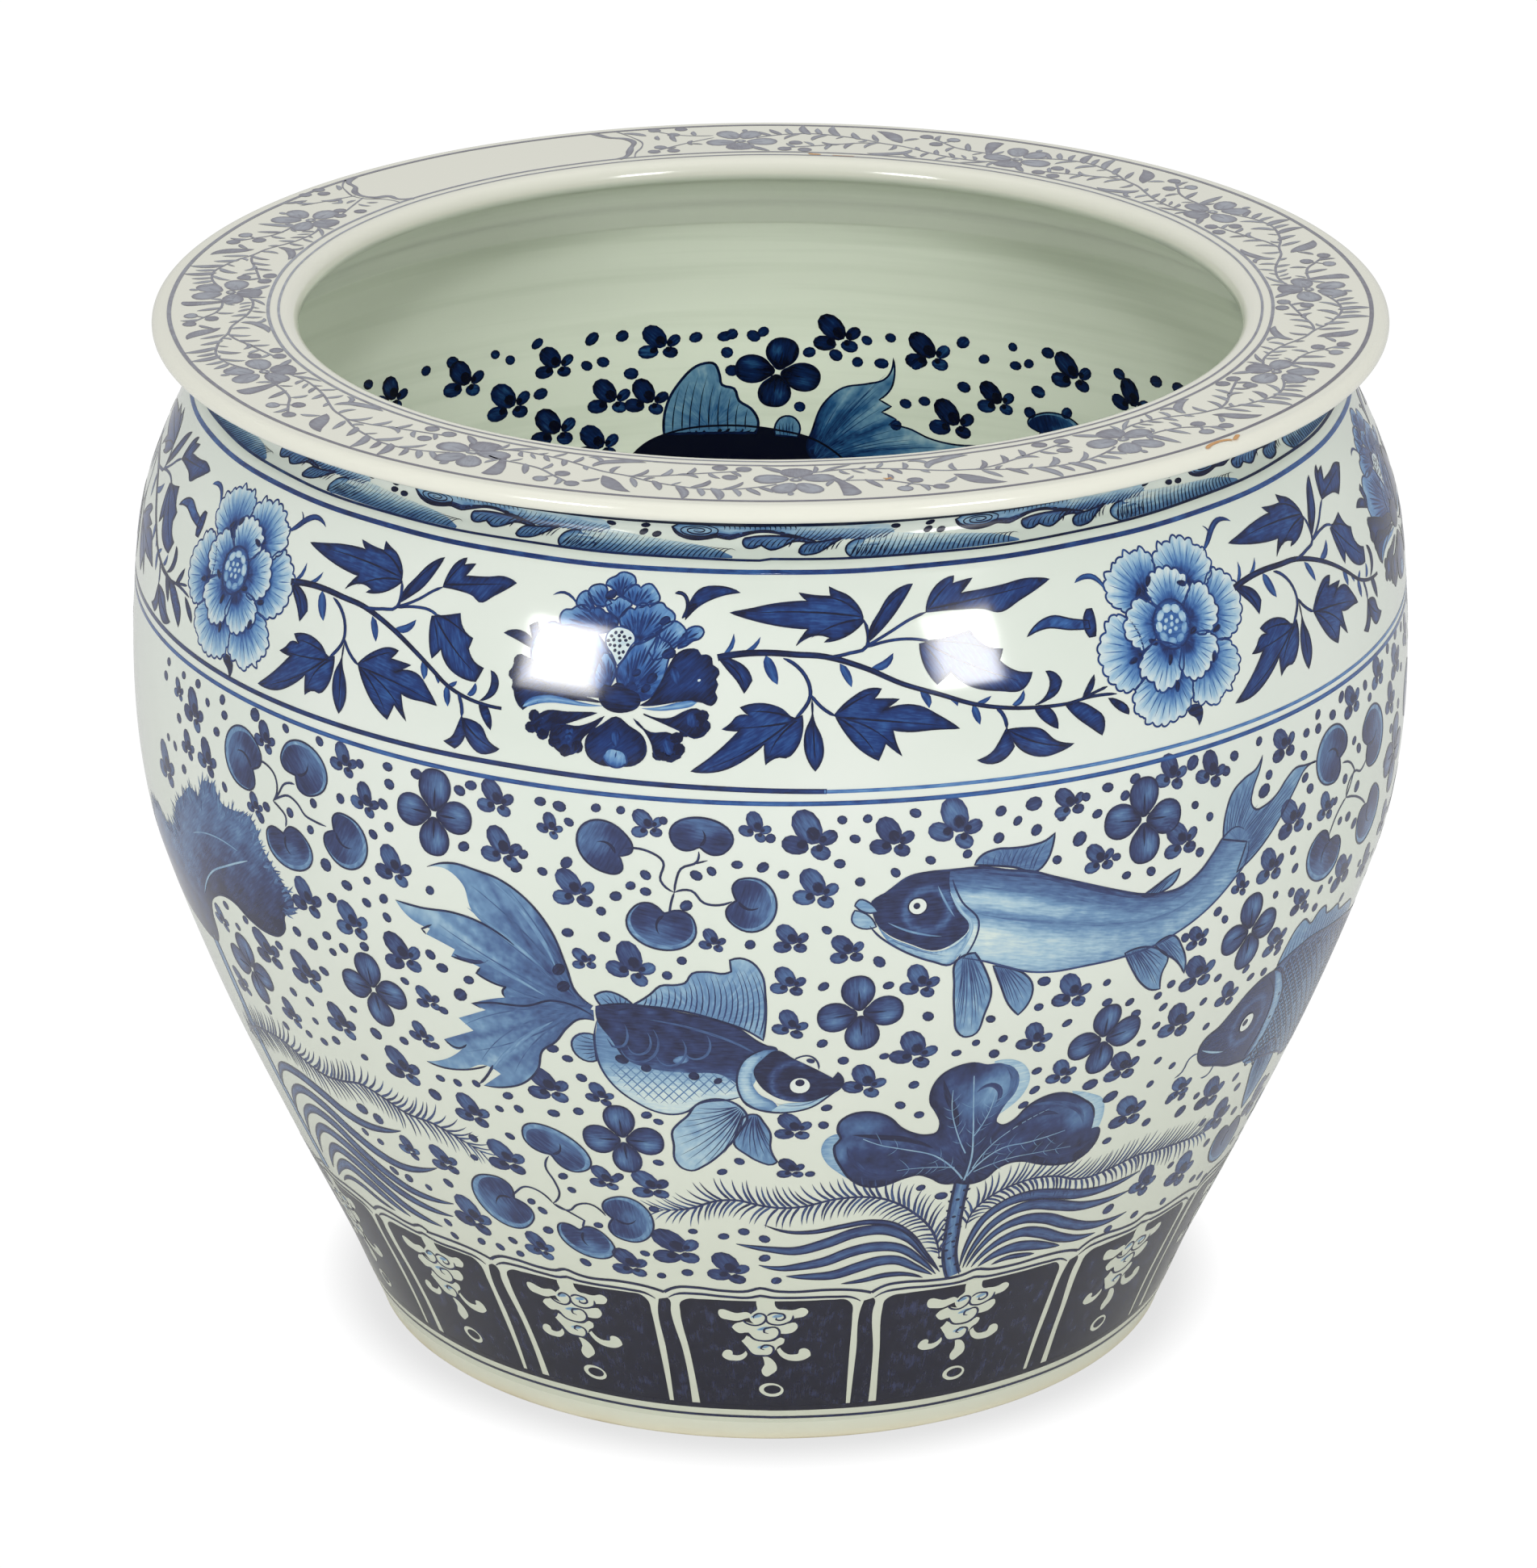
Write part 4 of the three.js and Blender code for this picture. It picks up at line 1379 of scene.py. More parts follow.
def lotus_leaf(p):
    """A drooping lotus leaf of three lobes on a thorny stem."""
    stem = xy(91.5,144, 91.2,130, 92,115, 93.5,101, 98.5,88.5)
    p.stroke(stem, 7.2, even, 0.6, WASH, 0.26, 3.0)
    for sign in (-1, 1):
        p.stroke([(u + sign * 3.4, z) for u, z in stem], 1.1, thick_line, 0.98, BODY, 0.02, 4.0)
        for i in range(9):
            z = 95 + i * 5.3
            u = 91.3 + 5.5 * max(0.0, (106 - z) / 16) ** 1.6 + sign * 3.4
            p.blob(u + sign * 0.7, z, 1.2, 0.7, 90 - sign * 55, 0.98, 0.95, 0, LINE, 6)
    for i in range(9):
        z = 99 + i * 4.8
        p.blob(92.4 + 1.4 * (-1) ** i, z, 1.0, 0.8, 0, 1.0, 0.98, 0, LINE, 7)
    fringe = [
        (xy(38,149, 31,154, 25,160, 22.5,167, 25,173, 30,175, 36,168, 42,156), 0.3),
        (xy(96,205, 104,204.5, 111,200, 114.5,192, 112,184, 106,178.5, 102,176, 98,190), 0.16),
        (xy(138,181, 149,177, 157,172, 160,164, 159,155, 152,156, 144,170), 0.16),
        (xy(43,184.5, 52,182.5, 56,178, 50,176), 0.2),
    ]
    for piece, pale in fringe:
        p.fill(piece, lambda u, z, gap, pale=pale: pale + 0.08 * np.exp(-gap / 1.5), WASH, 2.4)
    lobes = xy(89,142, 81,143, 75,147, 69,149.5, 62,148.5, 55,146, 48,145, 41,147, 36,151, 32,157, 29,163,
               28.5,169, 31,172.5, 29.5,176, 30,181, 35,185, 41,185.8, 48,184.2, 53,181, 57,176.5, 63,172.6,
               70,170.6, 74.5,171.5, 75.5,176, 73,182, 69.5,188, 69.5,195, 73,201.5, 80,205.3, 87,206,
               93,204, 99,203.6, 105,199, 108,192, 107,185, 103.5,178, 102.5,172.5, 106,170.2, 111,172,
               116,177.5, 123,181, 131,181.6, 139,179, 146,174.5, 152,169.5, 155,162.5, 155.5,157, 160,156.5,
               161.8,150.5, 159,144.5, 152,141, 144,141, 136,142.6, 129,145, 121,148, 114,148.6, 108,146.6,
               103,142, 97,140.6)

    def shade(u, z, gap):
        tone = 0.93 + 0.06 * np.exp(-gap / 1.6)
        for at_u, at_z, wide, high, lighter in (
            (96, 188, 12, 11, 0.44), (104, 196, 9, 10, 0.3), (78, 194, 7, 10, 0.12), (40, 179, 12, 6, 0.34),
            (31, 164, 5, 9, 0.34), (52, 168, 22, 5, 0.16), (148, 165, 9, 8, 0.36), (132, 172, 16, 8, 0.2),
            (112, 157, 10, 8, 0.14), (78, 160, 12, 6, 0.12), (88, 176, 7, 10, 0.16), (52, 153, 14, 5, 0.1),
        ):
            tone = tone - lighter * np.exp(-(((u - at_u) / wide) ** 2) - ((z - at_z) / high) ** 2)
        return tone

    p.fill(lobes, shade, BODY, 2.6, 0, (92, 150))
    outline_of(p, lobes[:30], 1.1, 1.0, LINE, False)
    outline_of(p, lobes[36:46], 1.0, 1.0, LINE, False)
    outline_of(p, lobes[49:] + lobes[:1], 1.1, 1.0, LINE, False)
    for points, width, tone in (
        (xy(100,203, 106,197, 107,188, 102,180), 4.0, 0.66),
        (xy(90,190, 96,193, 101,189, 100,182), 2.6, 0.78),
        (xy(74,199, 77,190, 82,180, 84,172), 3.0, 0.98),
        (xy(34,168, 38,159, 46,152, 58,150), 3.2, 0.84),
        (xy(36,174, 48,172, 62,169, 74,163), 3.0, 1.0),
        (xy(118,178, 132,176, 146,168, 150,160), 3.0, 0.72),
        (xy(124,152, 136,148, 150,147, 158,151), 4.0, 0.86),
        (xy(110,166, 120,172, 134,170), 3.0, 0.9),
    ):
        p.stroke(points, width, blade, tone, BODY + 0.015, 0.0, 3.0)
    veins = [
        (xy(92,143, 93.5,155, 92,168, 89.5,184, 87.5,199), 0.9),
        (xy(91,144, 84,152, 75,159, 61,164, 48,168, 41,171.5), 0.8),
        (xy(93,145, 100,153, 108,157.5, 121,158, 140,160), 0.8),
        (xy(95,149, 103,161, 116,169.5, 128,174), 0.6), (xy(90,158, 84,170, 80,182, 79,193), 0.6),
        (xy(92,166, 97,176, 99,188), 0.6), (xy(86,151, 72,153, 58,153), 0.5),
        (xy(96,147, 112,151, 128,151, 146,150), 0.5),
    ]
    for vein, width in veins:
        p.stroke(vein, width, lambda t: 1.0 - 0.5 * t, 0.32, LINE, 0.0, 4.0)
        path = smooth(vein, 1.0)
        for share in np.arange(0.2, 0.95, 0.13):
            i = int(share * (len(path) - 2))
            way = unit(path[i + 1] - path[i])
            for side in (1, -1):
                if random.random() < 0.35:
                    continue
                lean = math.radians(side * random.uniform(38, 58))
                out = (way[0] * math.cos(lean) - way[1] * math.sin(lean),
                       way[0] * math.sin(lean) + way[1] * math.cos(lean))
                long = random.uniform(4.5, 8.5)
                start = tuple(path[i])
                middle = (start[0] + out[0] * long * 0.5 - way[0] * 0.5,
                          start[1] + out[1] * long * 0.5 - way[1] * 0.5)
                end = (start[0] + out[0] * long, start[1] + out[1] * long)
                p.stroke([start, middle, end], 0.42, tail_off, 0.42, LINE, 0.0, 4.0)


def ragged_leaf(p):
    """A large old leaf with a torn upper edge."""
    loop = xy(-400,212, -372,232, -345,250, -330,247, -315,252, -310,262, -300,270, -290,277, -282,275,
              -276,285, -268,285, -262,280, -252,280, -245,281, -238,279, -235,272, -228,264, -222,258,
              -216,250, -219,244, -224,242, -225,236, -230,231, -240,229, -252,231, -262,235, -275,234,
              -285,228, -292,218, -295,208, -300,202, -310,200, -330,202, -350,205, -395,205)

    def shade(u, z, gap):
        low = np.interp(u, [-400, -330, -300, -290, -275, -250, -225], [205, 202, 203, 222, 234, 231, 236])
        rise_here = np.clip((z - low) / 38, 0, 1)
        mottle = 0.08 * np.sin(u * 0.31 + z * 0.2) * np.sin(z * 0.37 - u * 0.12)
        return 0.98 - 0.36 * rise_here + mottle

    p.fill(loop, shade, WASH, 3.2, 40)
    edge = smooth(loop[1:20], 2.2)
    for u, z in edge:
        out = math.atan2(z - 225, u + 285)
        for _ in range(2):
            turn = out + random.uniform(-0.5, 0.5)
            start = (u + random.uniform(-2, 2) - 4.5 * math.cos(out),
                     z + random.uniform(-2, 2) - 4.5 * math.sin(out))
            long = random.uniform(5.0, 8.0)
            end = (start[0] + long * math.cos(turn), start[1] + long * math.sin(turn))
            p.stroke([start, end], random.uniform(1.1, 2.0), tail_off, random.uniform(0.5, 0.78),
                     BODY, 0.0, 3.0)
    p.stroke(xy(-245,260, -262,252, -280,242, -293,228), 0.9, thick_line, 0.3, LINE)
    p.stroke(xy(-252,262, -272,262, -292,256), 0.7, thick_line, 0.38, LINE)
    outline_of(p, loop[19:28], 1.4, 0.97, BODY, False)
    stem = xy(-305,203, -303,180, -303,150, -301,120, -298,90)
    p.stroke(stem, 7.0, even, 0.45, WASH, 0.2, 3.0)
    for sign in (-1, 1):
        p.stroke([(u + sign * 3.3, z) for u, z in stem], 0.9, thick_line, 0.88, BODY, 0.02, 4.0)


goldfish_tail(main)
goldfish_fins(main)
goldfish(main)
plain_carp(main)
scaled_carp(main)
lotus_leaf(main)
ragged_leaf(main)

FRONDS = [
    xy(88,100, 80,118, 70,128, 60,135, 50,139, 42,140, 30,139.5, 15,136, 5,135.5, -5,137, -15,139.5, -25,139,
       -38,134, -52,132),
    xy(-320,150, -300,160, -280,165, -262,166, -248,162, -235,160, -220,162, -205,165, -195,163, -180,158,
       -165,157, -152,153, -140,148),
    xy(99,115, 101,125, 108,131, 118,135, 130,136.5, 145,134, 155,130, 165,128.5, 180,130, 195,131.5,
       205,130, 220,128.5, 250,125),
]
for spine in FRONDS:
    frond(main, spine)

BLADES = [
    xy(90,92, 80,103, 68,115, 55,120.5, 42,120, 28,115, 12,111, 0,112, -17,115),
    xy(88,91, 77,101, 65,109, 52,111, 40,109, 28,104.5, 15,102, 5,101, -6,103),
    xy(86,91, 75,97, 65,102, 55,102.5, 45,100, 33,96.5, 20,96, 8,96.5),
    xy(101,93, 103,108, 108,119, 118,125.5, 130,127, 145,124.5, 160,120.5, 175,118.5, 190,119, 202,121),
    xy(103,92, 107,105, 113,114, 123,120, 135,121, 150,117, 165,112.5, 180,110.5, 200,111),
    xy(105,92, 110,102, 118,110, 130,113.5, 145,111, 160,104.5, 175,99, 190,96.5, 206,97.5),
    xy(108,91.5, 113,98, 122,104, 133,106, 145,103, 160,96.5, 172,93, 186,92),
    xy(112,91, 120,96, 130,98, 142,96.5, 152,94, 162,91.5),
    xy(-300,130, -285,146, -265,150, -245,147, -230,142.5, -215,141, -200,143, -189,146),
    xy(-300,115, -285,133, -268,140.5, -250,139, -230,131, -215,126, -200,124, -185,126.5, -173,131),
    xy(-295,108, -280,125, -265,131.5, -248,130, -232,122, -215,115, -200,111, -185,110.5, -171,112),
    xy(-290,100, -278,115, -265,122, -248,121, -230,114, -212,107, -195,104, -175,104),
    xy(-283,95, -272,107, -262,113, -245,112, -228,105, -210,98, -195,95.5, -187,95),
    xy(-280,92, -270,100, -258,105.5, -240,102.5, -225,97, -212,93),
]
THIN_BLADES = [
    xy(89,93, 80,104, 70,116, 60,123, 48,125.5, 35,124, 20,121.5, 8,122, -3,126),
    xy(81,90, 70,93.5, 60,94, 48,92, 37,91), xy(120,90.5, 128,92.5, 138,92, 146,91),
    xy(-275,91, -262,97, -250,97, -238,94, -225,92),
]
for points in BLADES:
    long_blade(main, points)
for points in THIN_BLADES:
    long_blade(main, points, 2.4, 0.8)

FLOWERS = xy(-138.6,309, -176.6,221.6, -267,201, 36,236, -66,168.6, 156,303, 221,236, 147.6,205, 352,270,
             372,112)
for number, (u, z) in enumerate(FLOWERS):
    four_petals(main, u, z, 17.2 if u < -150 else 18.4, (number * 7) % 11 - 5)

# Each floating leaf: middle, width, height, the angle of its notch and its lean. Some also give how far the
# light rim reaches, its lightness, the depth of the notch and the deepest tone.
PADS = [
    (-245, 305.5, 26, 26, -22, 0), (-205.6, 312.5, 27, 21, 228, -14), (-182.6, 287, 23, 23, 152, 0),
    (-215.4, 275.5, 28, 19, 112, 0), (-137.6, 122, 33, 27, 30, -20, 0.14, 0.34, 0.42, 0.86),
    (-99, 159.5, 34, 19, 236, -26, 0.15, 0.32, 0.42, 0.82),
    (-70, 124.5, 26, 25, 185, -30, 0.15, 0.34, 0.42, 0.84),
    (-94.4, 109, 30, 18, 100, -14, 0.15, 0.34, 0.42, 0.84), (-65.5, 306.5, 24, 20, -28, -38, 0.05, 0.55),
    (-27, 313.2, 25, 15.5, 262, -6, 0.04, 0.6), (-7.6, 285, 20, 23, 164, 0), (-43, 274.4, 28, 20, 78, -10),
    (271.6, 298, 26, 25, -30, 0), (314, 292, 29, 24, 200, -52), (270.6, 253.6, 31, 22, 60, -24),
    (316, 255.4, 28, 24, 118, 10), (386, 286, 26, 24, -40, 0), (425, 284, 27, 22, 215, -20),
    (388, 240, 28, 22, 60, -10), (424, 243, 25, 24, 140, 0), (288, 107.6, 38, 22, 100, -22),
    (430, 122, 30, 24, 80, 0),
]
for leaf in PADS:
    pad(main, *leaf)

STEMS = [
    xy(-236,307, -229,307.5, -223,304, -222,297, -224.5,293), xy(-211,304, -217,302.5, -221,297, -224.5,293),
    xy(-193,291, -200,291.5, -205,292.5, -209,296, -215,298, -220,296, -224.5,293),
    xy(-224.5,293, -220,291, -217,289, -217,284), xy(-104,154, -107,148, -104,140, -103,134, -108,127.5),
    xy(-108,127.5, -100,125, -95,129, -88,130.5, -81,125), xy(-108,127.5, -99,123.5, -93,120.5, -95,116),
    xy(-131,126, -127,130, -121,134, -114,133, -108,127.5),
    xy(-57,306.5, -48,306, -42,302, -43,294, -37.6,289.4),
    xy(-28,307, -28.5,303, -35,299.5, -37,294, -37.6,289.4),
    xy(-37.6,289.4, -31,290.5, -26,285.5, -20,284.8, -15,286.5), xy(-37.6,289.4, -39,284.5, -39.6,280),
    xy(281,291, 288,289, 293,284, 290,279, 286,274), xy(306,284, 300,281, 294,283, 288,280, 286,274),
    xy(273,262, 278,269, 286,274), xy(309,263, 302,268, 296,271, 286,274), xy(394,278, 400,270, 404,262),
    xy(418,277, 411,270, 404,262), xy(393,249, 399,254, 404,262), xy(417,250, 410,256, 404,262),
]
for points in STEMS:
    main.stroke(points, 1.0, thick_line, 0.93, LINE, 0.03, 2.0)
main.stroke([(-30.5, 301.6), (-24.5, 303.4)], 0.8, thick_line, 0.95, LINE)

SPRIGS = [
    (-300, 316, 0.55), (-284, 312, 1), (-290, 295, 0.7), (-272, 295.5, 0.9), (-229, 318, 0.75),
    (-182.5, 321, 0.8), (-171, 307, 0.8), (-110, 320, 0.9), (-107, 300, 1), (-316, 277, 1.1),
    (-236, 287, 0.6), (-206, 255, 1), (-181, 252, 1), (-156, 244, 1.1), (-157, 282, 1), (-147, 225, 0.7),
    (-243, 219, 1.1), (-217, 217, 1.1), (-281, 220, 0.7), (-203, 197, 1), (-171.5, 184, 1.1),
    (-155, 205, 0.7), (-242, 188, 0.8), (-287, 187, 0.8), (-138, 170, 1), (-126, 148, 1.1), (-187, 137, 0.7),
    (-165, 137, 0.9), (-159, 108, 1.2), (-122, 100, 0.9), (-87, 312, 0.6), (-47.6, 317, 0.75),
    (-5, 317, 0.7), (17, 313, 1.2), (49, 311, 1), (75, 314, 1.2), (-77, 287, 1), (19, 291, 1),
    (-22, 269, 0.6), (9, 270, 0.8), (31, 265, 0.8), (-74, 257, 0.6), (-54, 256, 1.1), (8, 251, 0.8),
    (9, 231, 0.8), (61, 248, 0.9), (61, 215, 1.1), (41, 201, 1), (-96, 192, 1.1), (-73, 191, 0.7),
    (11, 179, 0.9), (10, 157, 0.7), (-77, 146, 0.8), (-55, 145, 1), (-46, 111, 1.3), (-72, 99, 1),
    (-20, 100, 1.1), (122.4, 317, 0.8), (171, 319, 0.9), (192, 315, 0.9), (236, 314, 0.9), (291, 315, 0.9),
    (321, 317, 0.9), (136, 291, 0.8), (176, 290, 1), (243, 280, 1.1), (269, 276, 0.8), (230, 263, 1),
    (211, 260, 0.6), (128, 233, 1), (189, 243, 0.7), (194, 225, 1.1), (244, 224, 0.9), (257, 238, 0.8),
    (295, 238, 1.1), (190, 202, 1.1), (219, 206, 0.8), (164, 187, 1), (131, 192, 0.8), (114, 213, 0.9),
    (208, 163, 0.8), (177, 160, 1.1), (238, 150, 1.1), (259, 131, 1.1), (211, 112, 1), (245, 107, 1.2),
    (312, 120, 1.3), (350, 312, 1), (378, 314, 0.9), (410, 314, 1), (437, 312, 1), (340, 298, 0.9),
    (352, 240, 1), (330, 228, 1), (372, 222, 1), (405, 226, 0.9), (362, 138, 1), (398, 140, 1.1),
    (340, 108, 1), (405, 104, 1.1), (420, 150, 0.9), (380, 96, 0.9),
]
for u, z, size in SPRIGS:
    sprig(main, u, z, size)

DOTS_LEFT = xy(-313,324, -296,324, -282,325, -261,325, -217,326, -197,326, -175,322, -161,324, -147,324,
               -127,321, -122,324, -316,317, -273,320, -259,319, -160,317, -265,310, -163,308, -185,305,
               -300,304, -160,299, -200,299, -168,294, -125,298, -313,291, -305,290, -259,288, -214,291,
               -229,289, -202,287, -296,283, -233,283, -141,276, -172,273, -164,267, -183,268, -173,263,
               -192,260, -163,259, -177,242, -198,241, -189,238, -196,234, -217,237, -143,247, -138,242,
               -126,239, -158,231, -272,230, -256,229, -266,222, -233,225, -205,222, -141,221, -193,207,
               -234,202, -223,201, -167,199, -150,201, -224,191, -213,185, -196,182, -223,181, -234,181,
               -267,181, -254,178, -152,184, -143,184, -133,186, -118,183, -124,175, -114,177, -122,161,
               -143,155, -146,144, -219,136, -209,134, -169,124, -208,119, -198,118, -185,117, -120,126,
               -115,122, -115,111, -181,99, -180,92, -161,94, -149,94, -137,93, -139,100)
DOTS_MIDDLE = xy(-92,322, -84,321, -69,322, -59,322, -42,319, -80,315, 0,313, 28,320, 38,320, 57,321, 33,312,
                 92,318, 118,312, 99,313, 91,307, 107,308, 78,302, 63,301, 49,297, 35,294, 27,302, 5,298,
                 -3,301, -13,302, -23,299, -29,297, -49,296, -49,289, -55,291, -81,298, -91,293, -99,299,
                 -102,293, -61,286, -67,279, -33,284, -8,268, 22,274, -66,268, -81,268, -35,260, -41,253,
                 43,259, 21,249, 47,248, 64,232, 21,222, 30,213, 47,214, 78,212, 86,216, 98,216, 95,209,
                 91,227, 112,229, 113,241, 116,294, 117,196, 118,186, 114,179, 61,198, 56,188, 65,182,
                 24,189, 23,180, 18,154, -14,161, -22,155, -49,180, -54,183, -81,199, -92,212, -86,208,
                 -97,178, -85,181, -51,158, -99,144, -96,137, -71,148, -56,132, -38,121, -13,122, -23,119,
                 -3,118, -3,107, -86,119, -64,106, -43,97, -57,94, 3,94, -98,96, 71,142, 82,136)
DOTS_RIGHT = xy(129,318, 139,320, 152,321, 147,315, 134,310, 204,318, 219,320, 199,313, 182,303, 190,296,
                143,290, 148,281, 160,280, 185,282, 225,304, 251,314, 260,319, 260,313, 272,315, 280,320,
                304,317, 309,310, 249,305, 250,295, 254,289, 255,272, 276,276, 284,283, 292,297, 297,292,
                297,275, 290,264, 282,265, 298,258, 247,256, 244,265, 235,248, 247,245, 203,247, 198,252,
                181,245, 143,234, 145,224, 157,221, 162,214, 172,220, 178,224, 177,213, 176,204, 170,197,
                127,218, 207,218, 226,216, 202,208, 210,193, 232,210, 242,209, 248,217, 263,232, 273,237,
                272,229, 282,238, 305,221, 184,184, 184,172, 195,178, 168,147, 191,150, 202,158, 211,157,
                224,153, 257,151, 265,143, 242,133, 278,126, 229,115, 260,116, 196,91, 215,93, 240,92,
                266,95, 276,93, 287,88, 335,322, 350,323, 364,321, 394,322, 422,321, 362,304, 396,306,
                440,298, 342,284, 356,290, 406,302, 334,272, 404,228, 345,226, 318,232, 388,214, 356,212,
                420,218, 318,128, 340,124, 352,122, 380,130, 412,132, 440,140, 330,96, 356,96, 398,92,
                428,96, 312,98, 436,108)
BIG_DOTS = xy(-237,326, -194,274, -208,234, -131,231, -183,198, -158,174, -213,150, -203,148, 106,319,
              181,321, 126,301, 222,298, 147,182, 161,172, 215,148, 189,104, 366,240)
for u, z in DOTS_LEFT + DOTS_MIDDLE + DOTS_RIGHT:
    main.dot(u, z, random.uniform(1.8, 2.4))
for u, z in BIG_DOTS:
    main.dot(u, z, 3.1)
main.finish(0, 180)

# Eyes: a white ring left bare, and a dark pupil
eyes = Paint("fish_eyes", Outside, RESERVE, "porcelain_glaze")
for u, z, size in ((12.3, 201, 4.3), (58, 282, 3.6), (243.5, 183.5, 4.6)):
    eyes.blob(u, z, size, size * 0.95, 0, 0, 0, 0, OVER, 18)
eyes.finish(0, 180)
pupils = Paint("fish_pupils", Outside, BLUE, "cobalt_line")
for u, z, size in ((12.3, 202.5, 1.9), (57.6, 282.2, 1.4), (242, 184, 1.8)):
    pupils.blob(u, z, size, size, 0, 1.0, 0.97, 0, LAST + 0.02, 12)
for u, z, size in ((12.3, 201, 4.5), (58, 282, 3.8), (243.5, 183.5, 4.8)):
    pupils.stroke(oval(u, z, size, size * 0.95), 0.6, thick_line, 1.0, LAST, 0.0, 2.0, True)
pupils.finish(0, 180)


# Lines right round the pot

lines = Paint("band_lines", Outside, BRIGHT_BLUE, "cobalt_line")
add_band(lines, 412.3, 413.9, 0.7, LINE, 2)


def drifting_line(paint, points, width, tone, lift=LINE):
    """The wheel and the brush were not quite level, so these lines run a little downhill to the right."""
    paint.stroke(points, width, even, tone, lift, 0.06, 4.5)


LOWER_LINE = xy(-849,327.6, -700,328.6, -500,329.8, -350,330.5, -240,330.2, -150,329.2, -60,327.9, 0,327.1,
                60,326.6, 150,326.1, 240,325.5, 350,325.2, 500,325.6, 700,326.6, 849,327.6)
drifting_line(lines, LOWER_LINE, 1.9, 0.68)
UPPER_LINE = xy(-849,332.4, -700,333.6, -500,334.9, -350,335.6, -240,335.5, -150,335.1, -100,334.8,
                -60,333.9, -20,333.0, 0,332.4, 22,331.8)
drifting_line(lines, UPPER_LINE, 2.1, 0.86)
PALE_LINE = xy(21,331.7, 60,331.4, 100,331.0, 150,330.5, 200,329.8, 240,329.3, 350,329.0, 500,329.6,
               700,331.0, 849,332.4)
drifting_line(lines, PALE_LINE, 1.5, 0.5)
lines.finish()


# The upper band: a scroll of peonies and leaves

flowers = Paint("peony_band", Outside, BRIGHT_BLUE, "cobalt_wash")


def scalloped(loop, base, wide=4.7, deep=1.6):
    """The outline with small round scallops along the part that is far from the base."""
    run = smooth(loop, 0.55, True, 40)
    far = max(math.dist(base, q) for q in loop)
    steps = np.hypot(*(np.roll(run, -1, 0) - run).T)
    along = np.concatenate([[0], np.cumsum(steps)[:-1]])
    away = run - np.array(base)
    reach = np.hypot(away[:, 0], away[:, 1])
    bump = np.abs(np.sin(math.pi * along / wide)) ** 0.6 - 0.5
    push = deep * bump * np.clip((reach / far - 0.5) / 0.2, 0, 1)
    made = run + away / np.maximum(reach, 0.1)[:, None] * push[:, None]
    return [tuple(point) for point in made]


def petal(p, loop, base, pale=0.14, deep=0.74, lift=BODY, hairs=9):
    """A scalloped petal, pale at its rim and deep at its base, with fine lines running out."""
    loop = scalloped(loop, base)
    far = max(math.dist(base, q) for q in loop)

    def shade(u, z, gap):
        reach = np.hypot(u - base[0], z - base[1]) / far
        near_rim = np.exp(-gap / 2.2)
        wave = 0.07 * np.sin(np.arctan2(z - base[1], u - base[0]) * 22)
        return pale + (deep - pale) * np.clip(1.26 - 1.3 * reach, 0, 1) ** 1.55 - 0.06 * near_rim + wave

    p.fill(loop, shade, lift, 1.6, 0, base, 0)
    rim = np.array(loop)
    reach = np.hypot(rim[:, 0] - base[0], rim[:, 1] - base[1])
    outer = rim[reach > far * 0.62]
    for i in range(hairs):
        tip = outer[int((i + 0.5) / hairs * len(outer))]
        start = (tip[0] + (base[0] - tip[0]) * 0.1, tip[1] + (base[1] - tip[1]) * 0.1)
        share = random.uniform(0.4, 0.62)
        end = (tip[0] + (base[0] - tip[0]) * share, tip[1] + (base[1] - tip[1]) * share)
        p.stroke([end, start], 0.7, tail_off, random.uniform(0.5, 0.62), lift + 0.03, 0.0, 3.0)
    outline_of(p, loop, 0.85, 0.8, lift + 0.04, True, 0)


FULL_AT = 176.5
SIDE_AT = -60


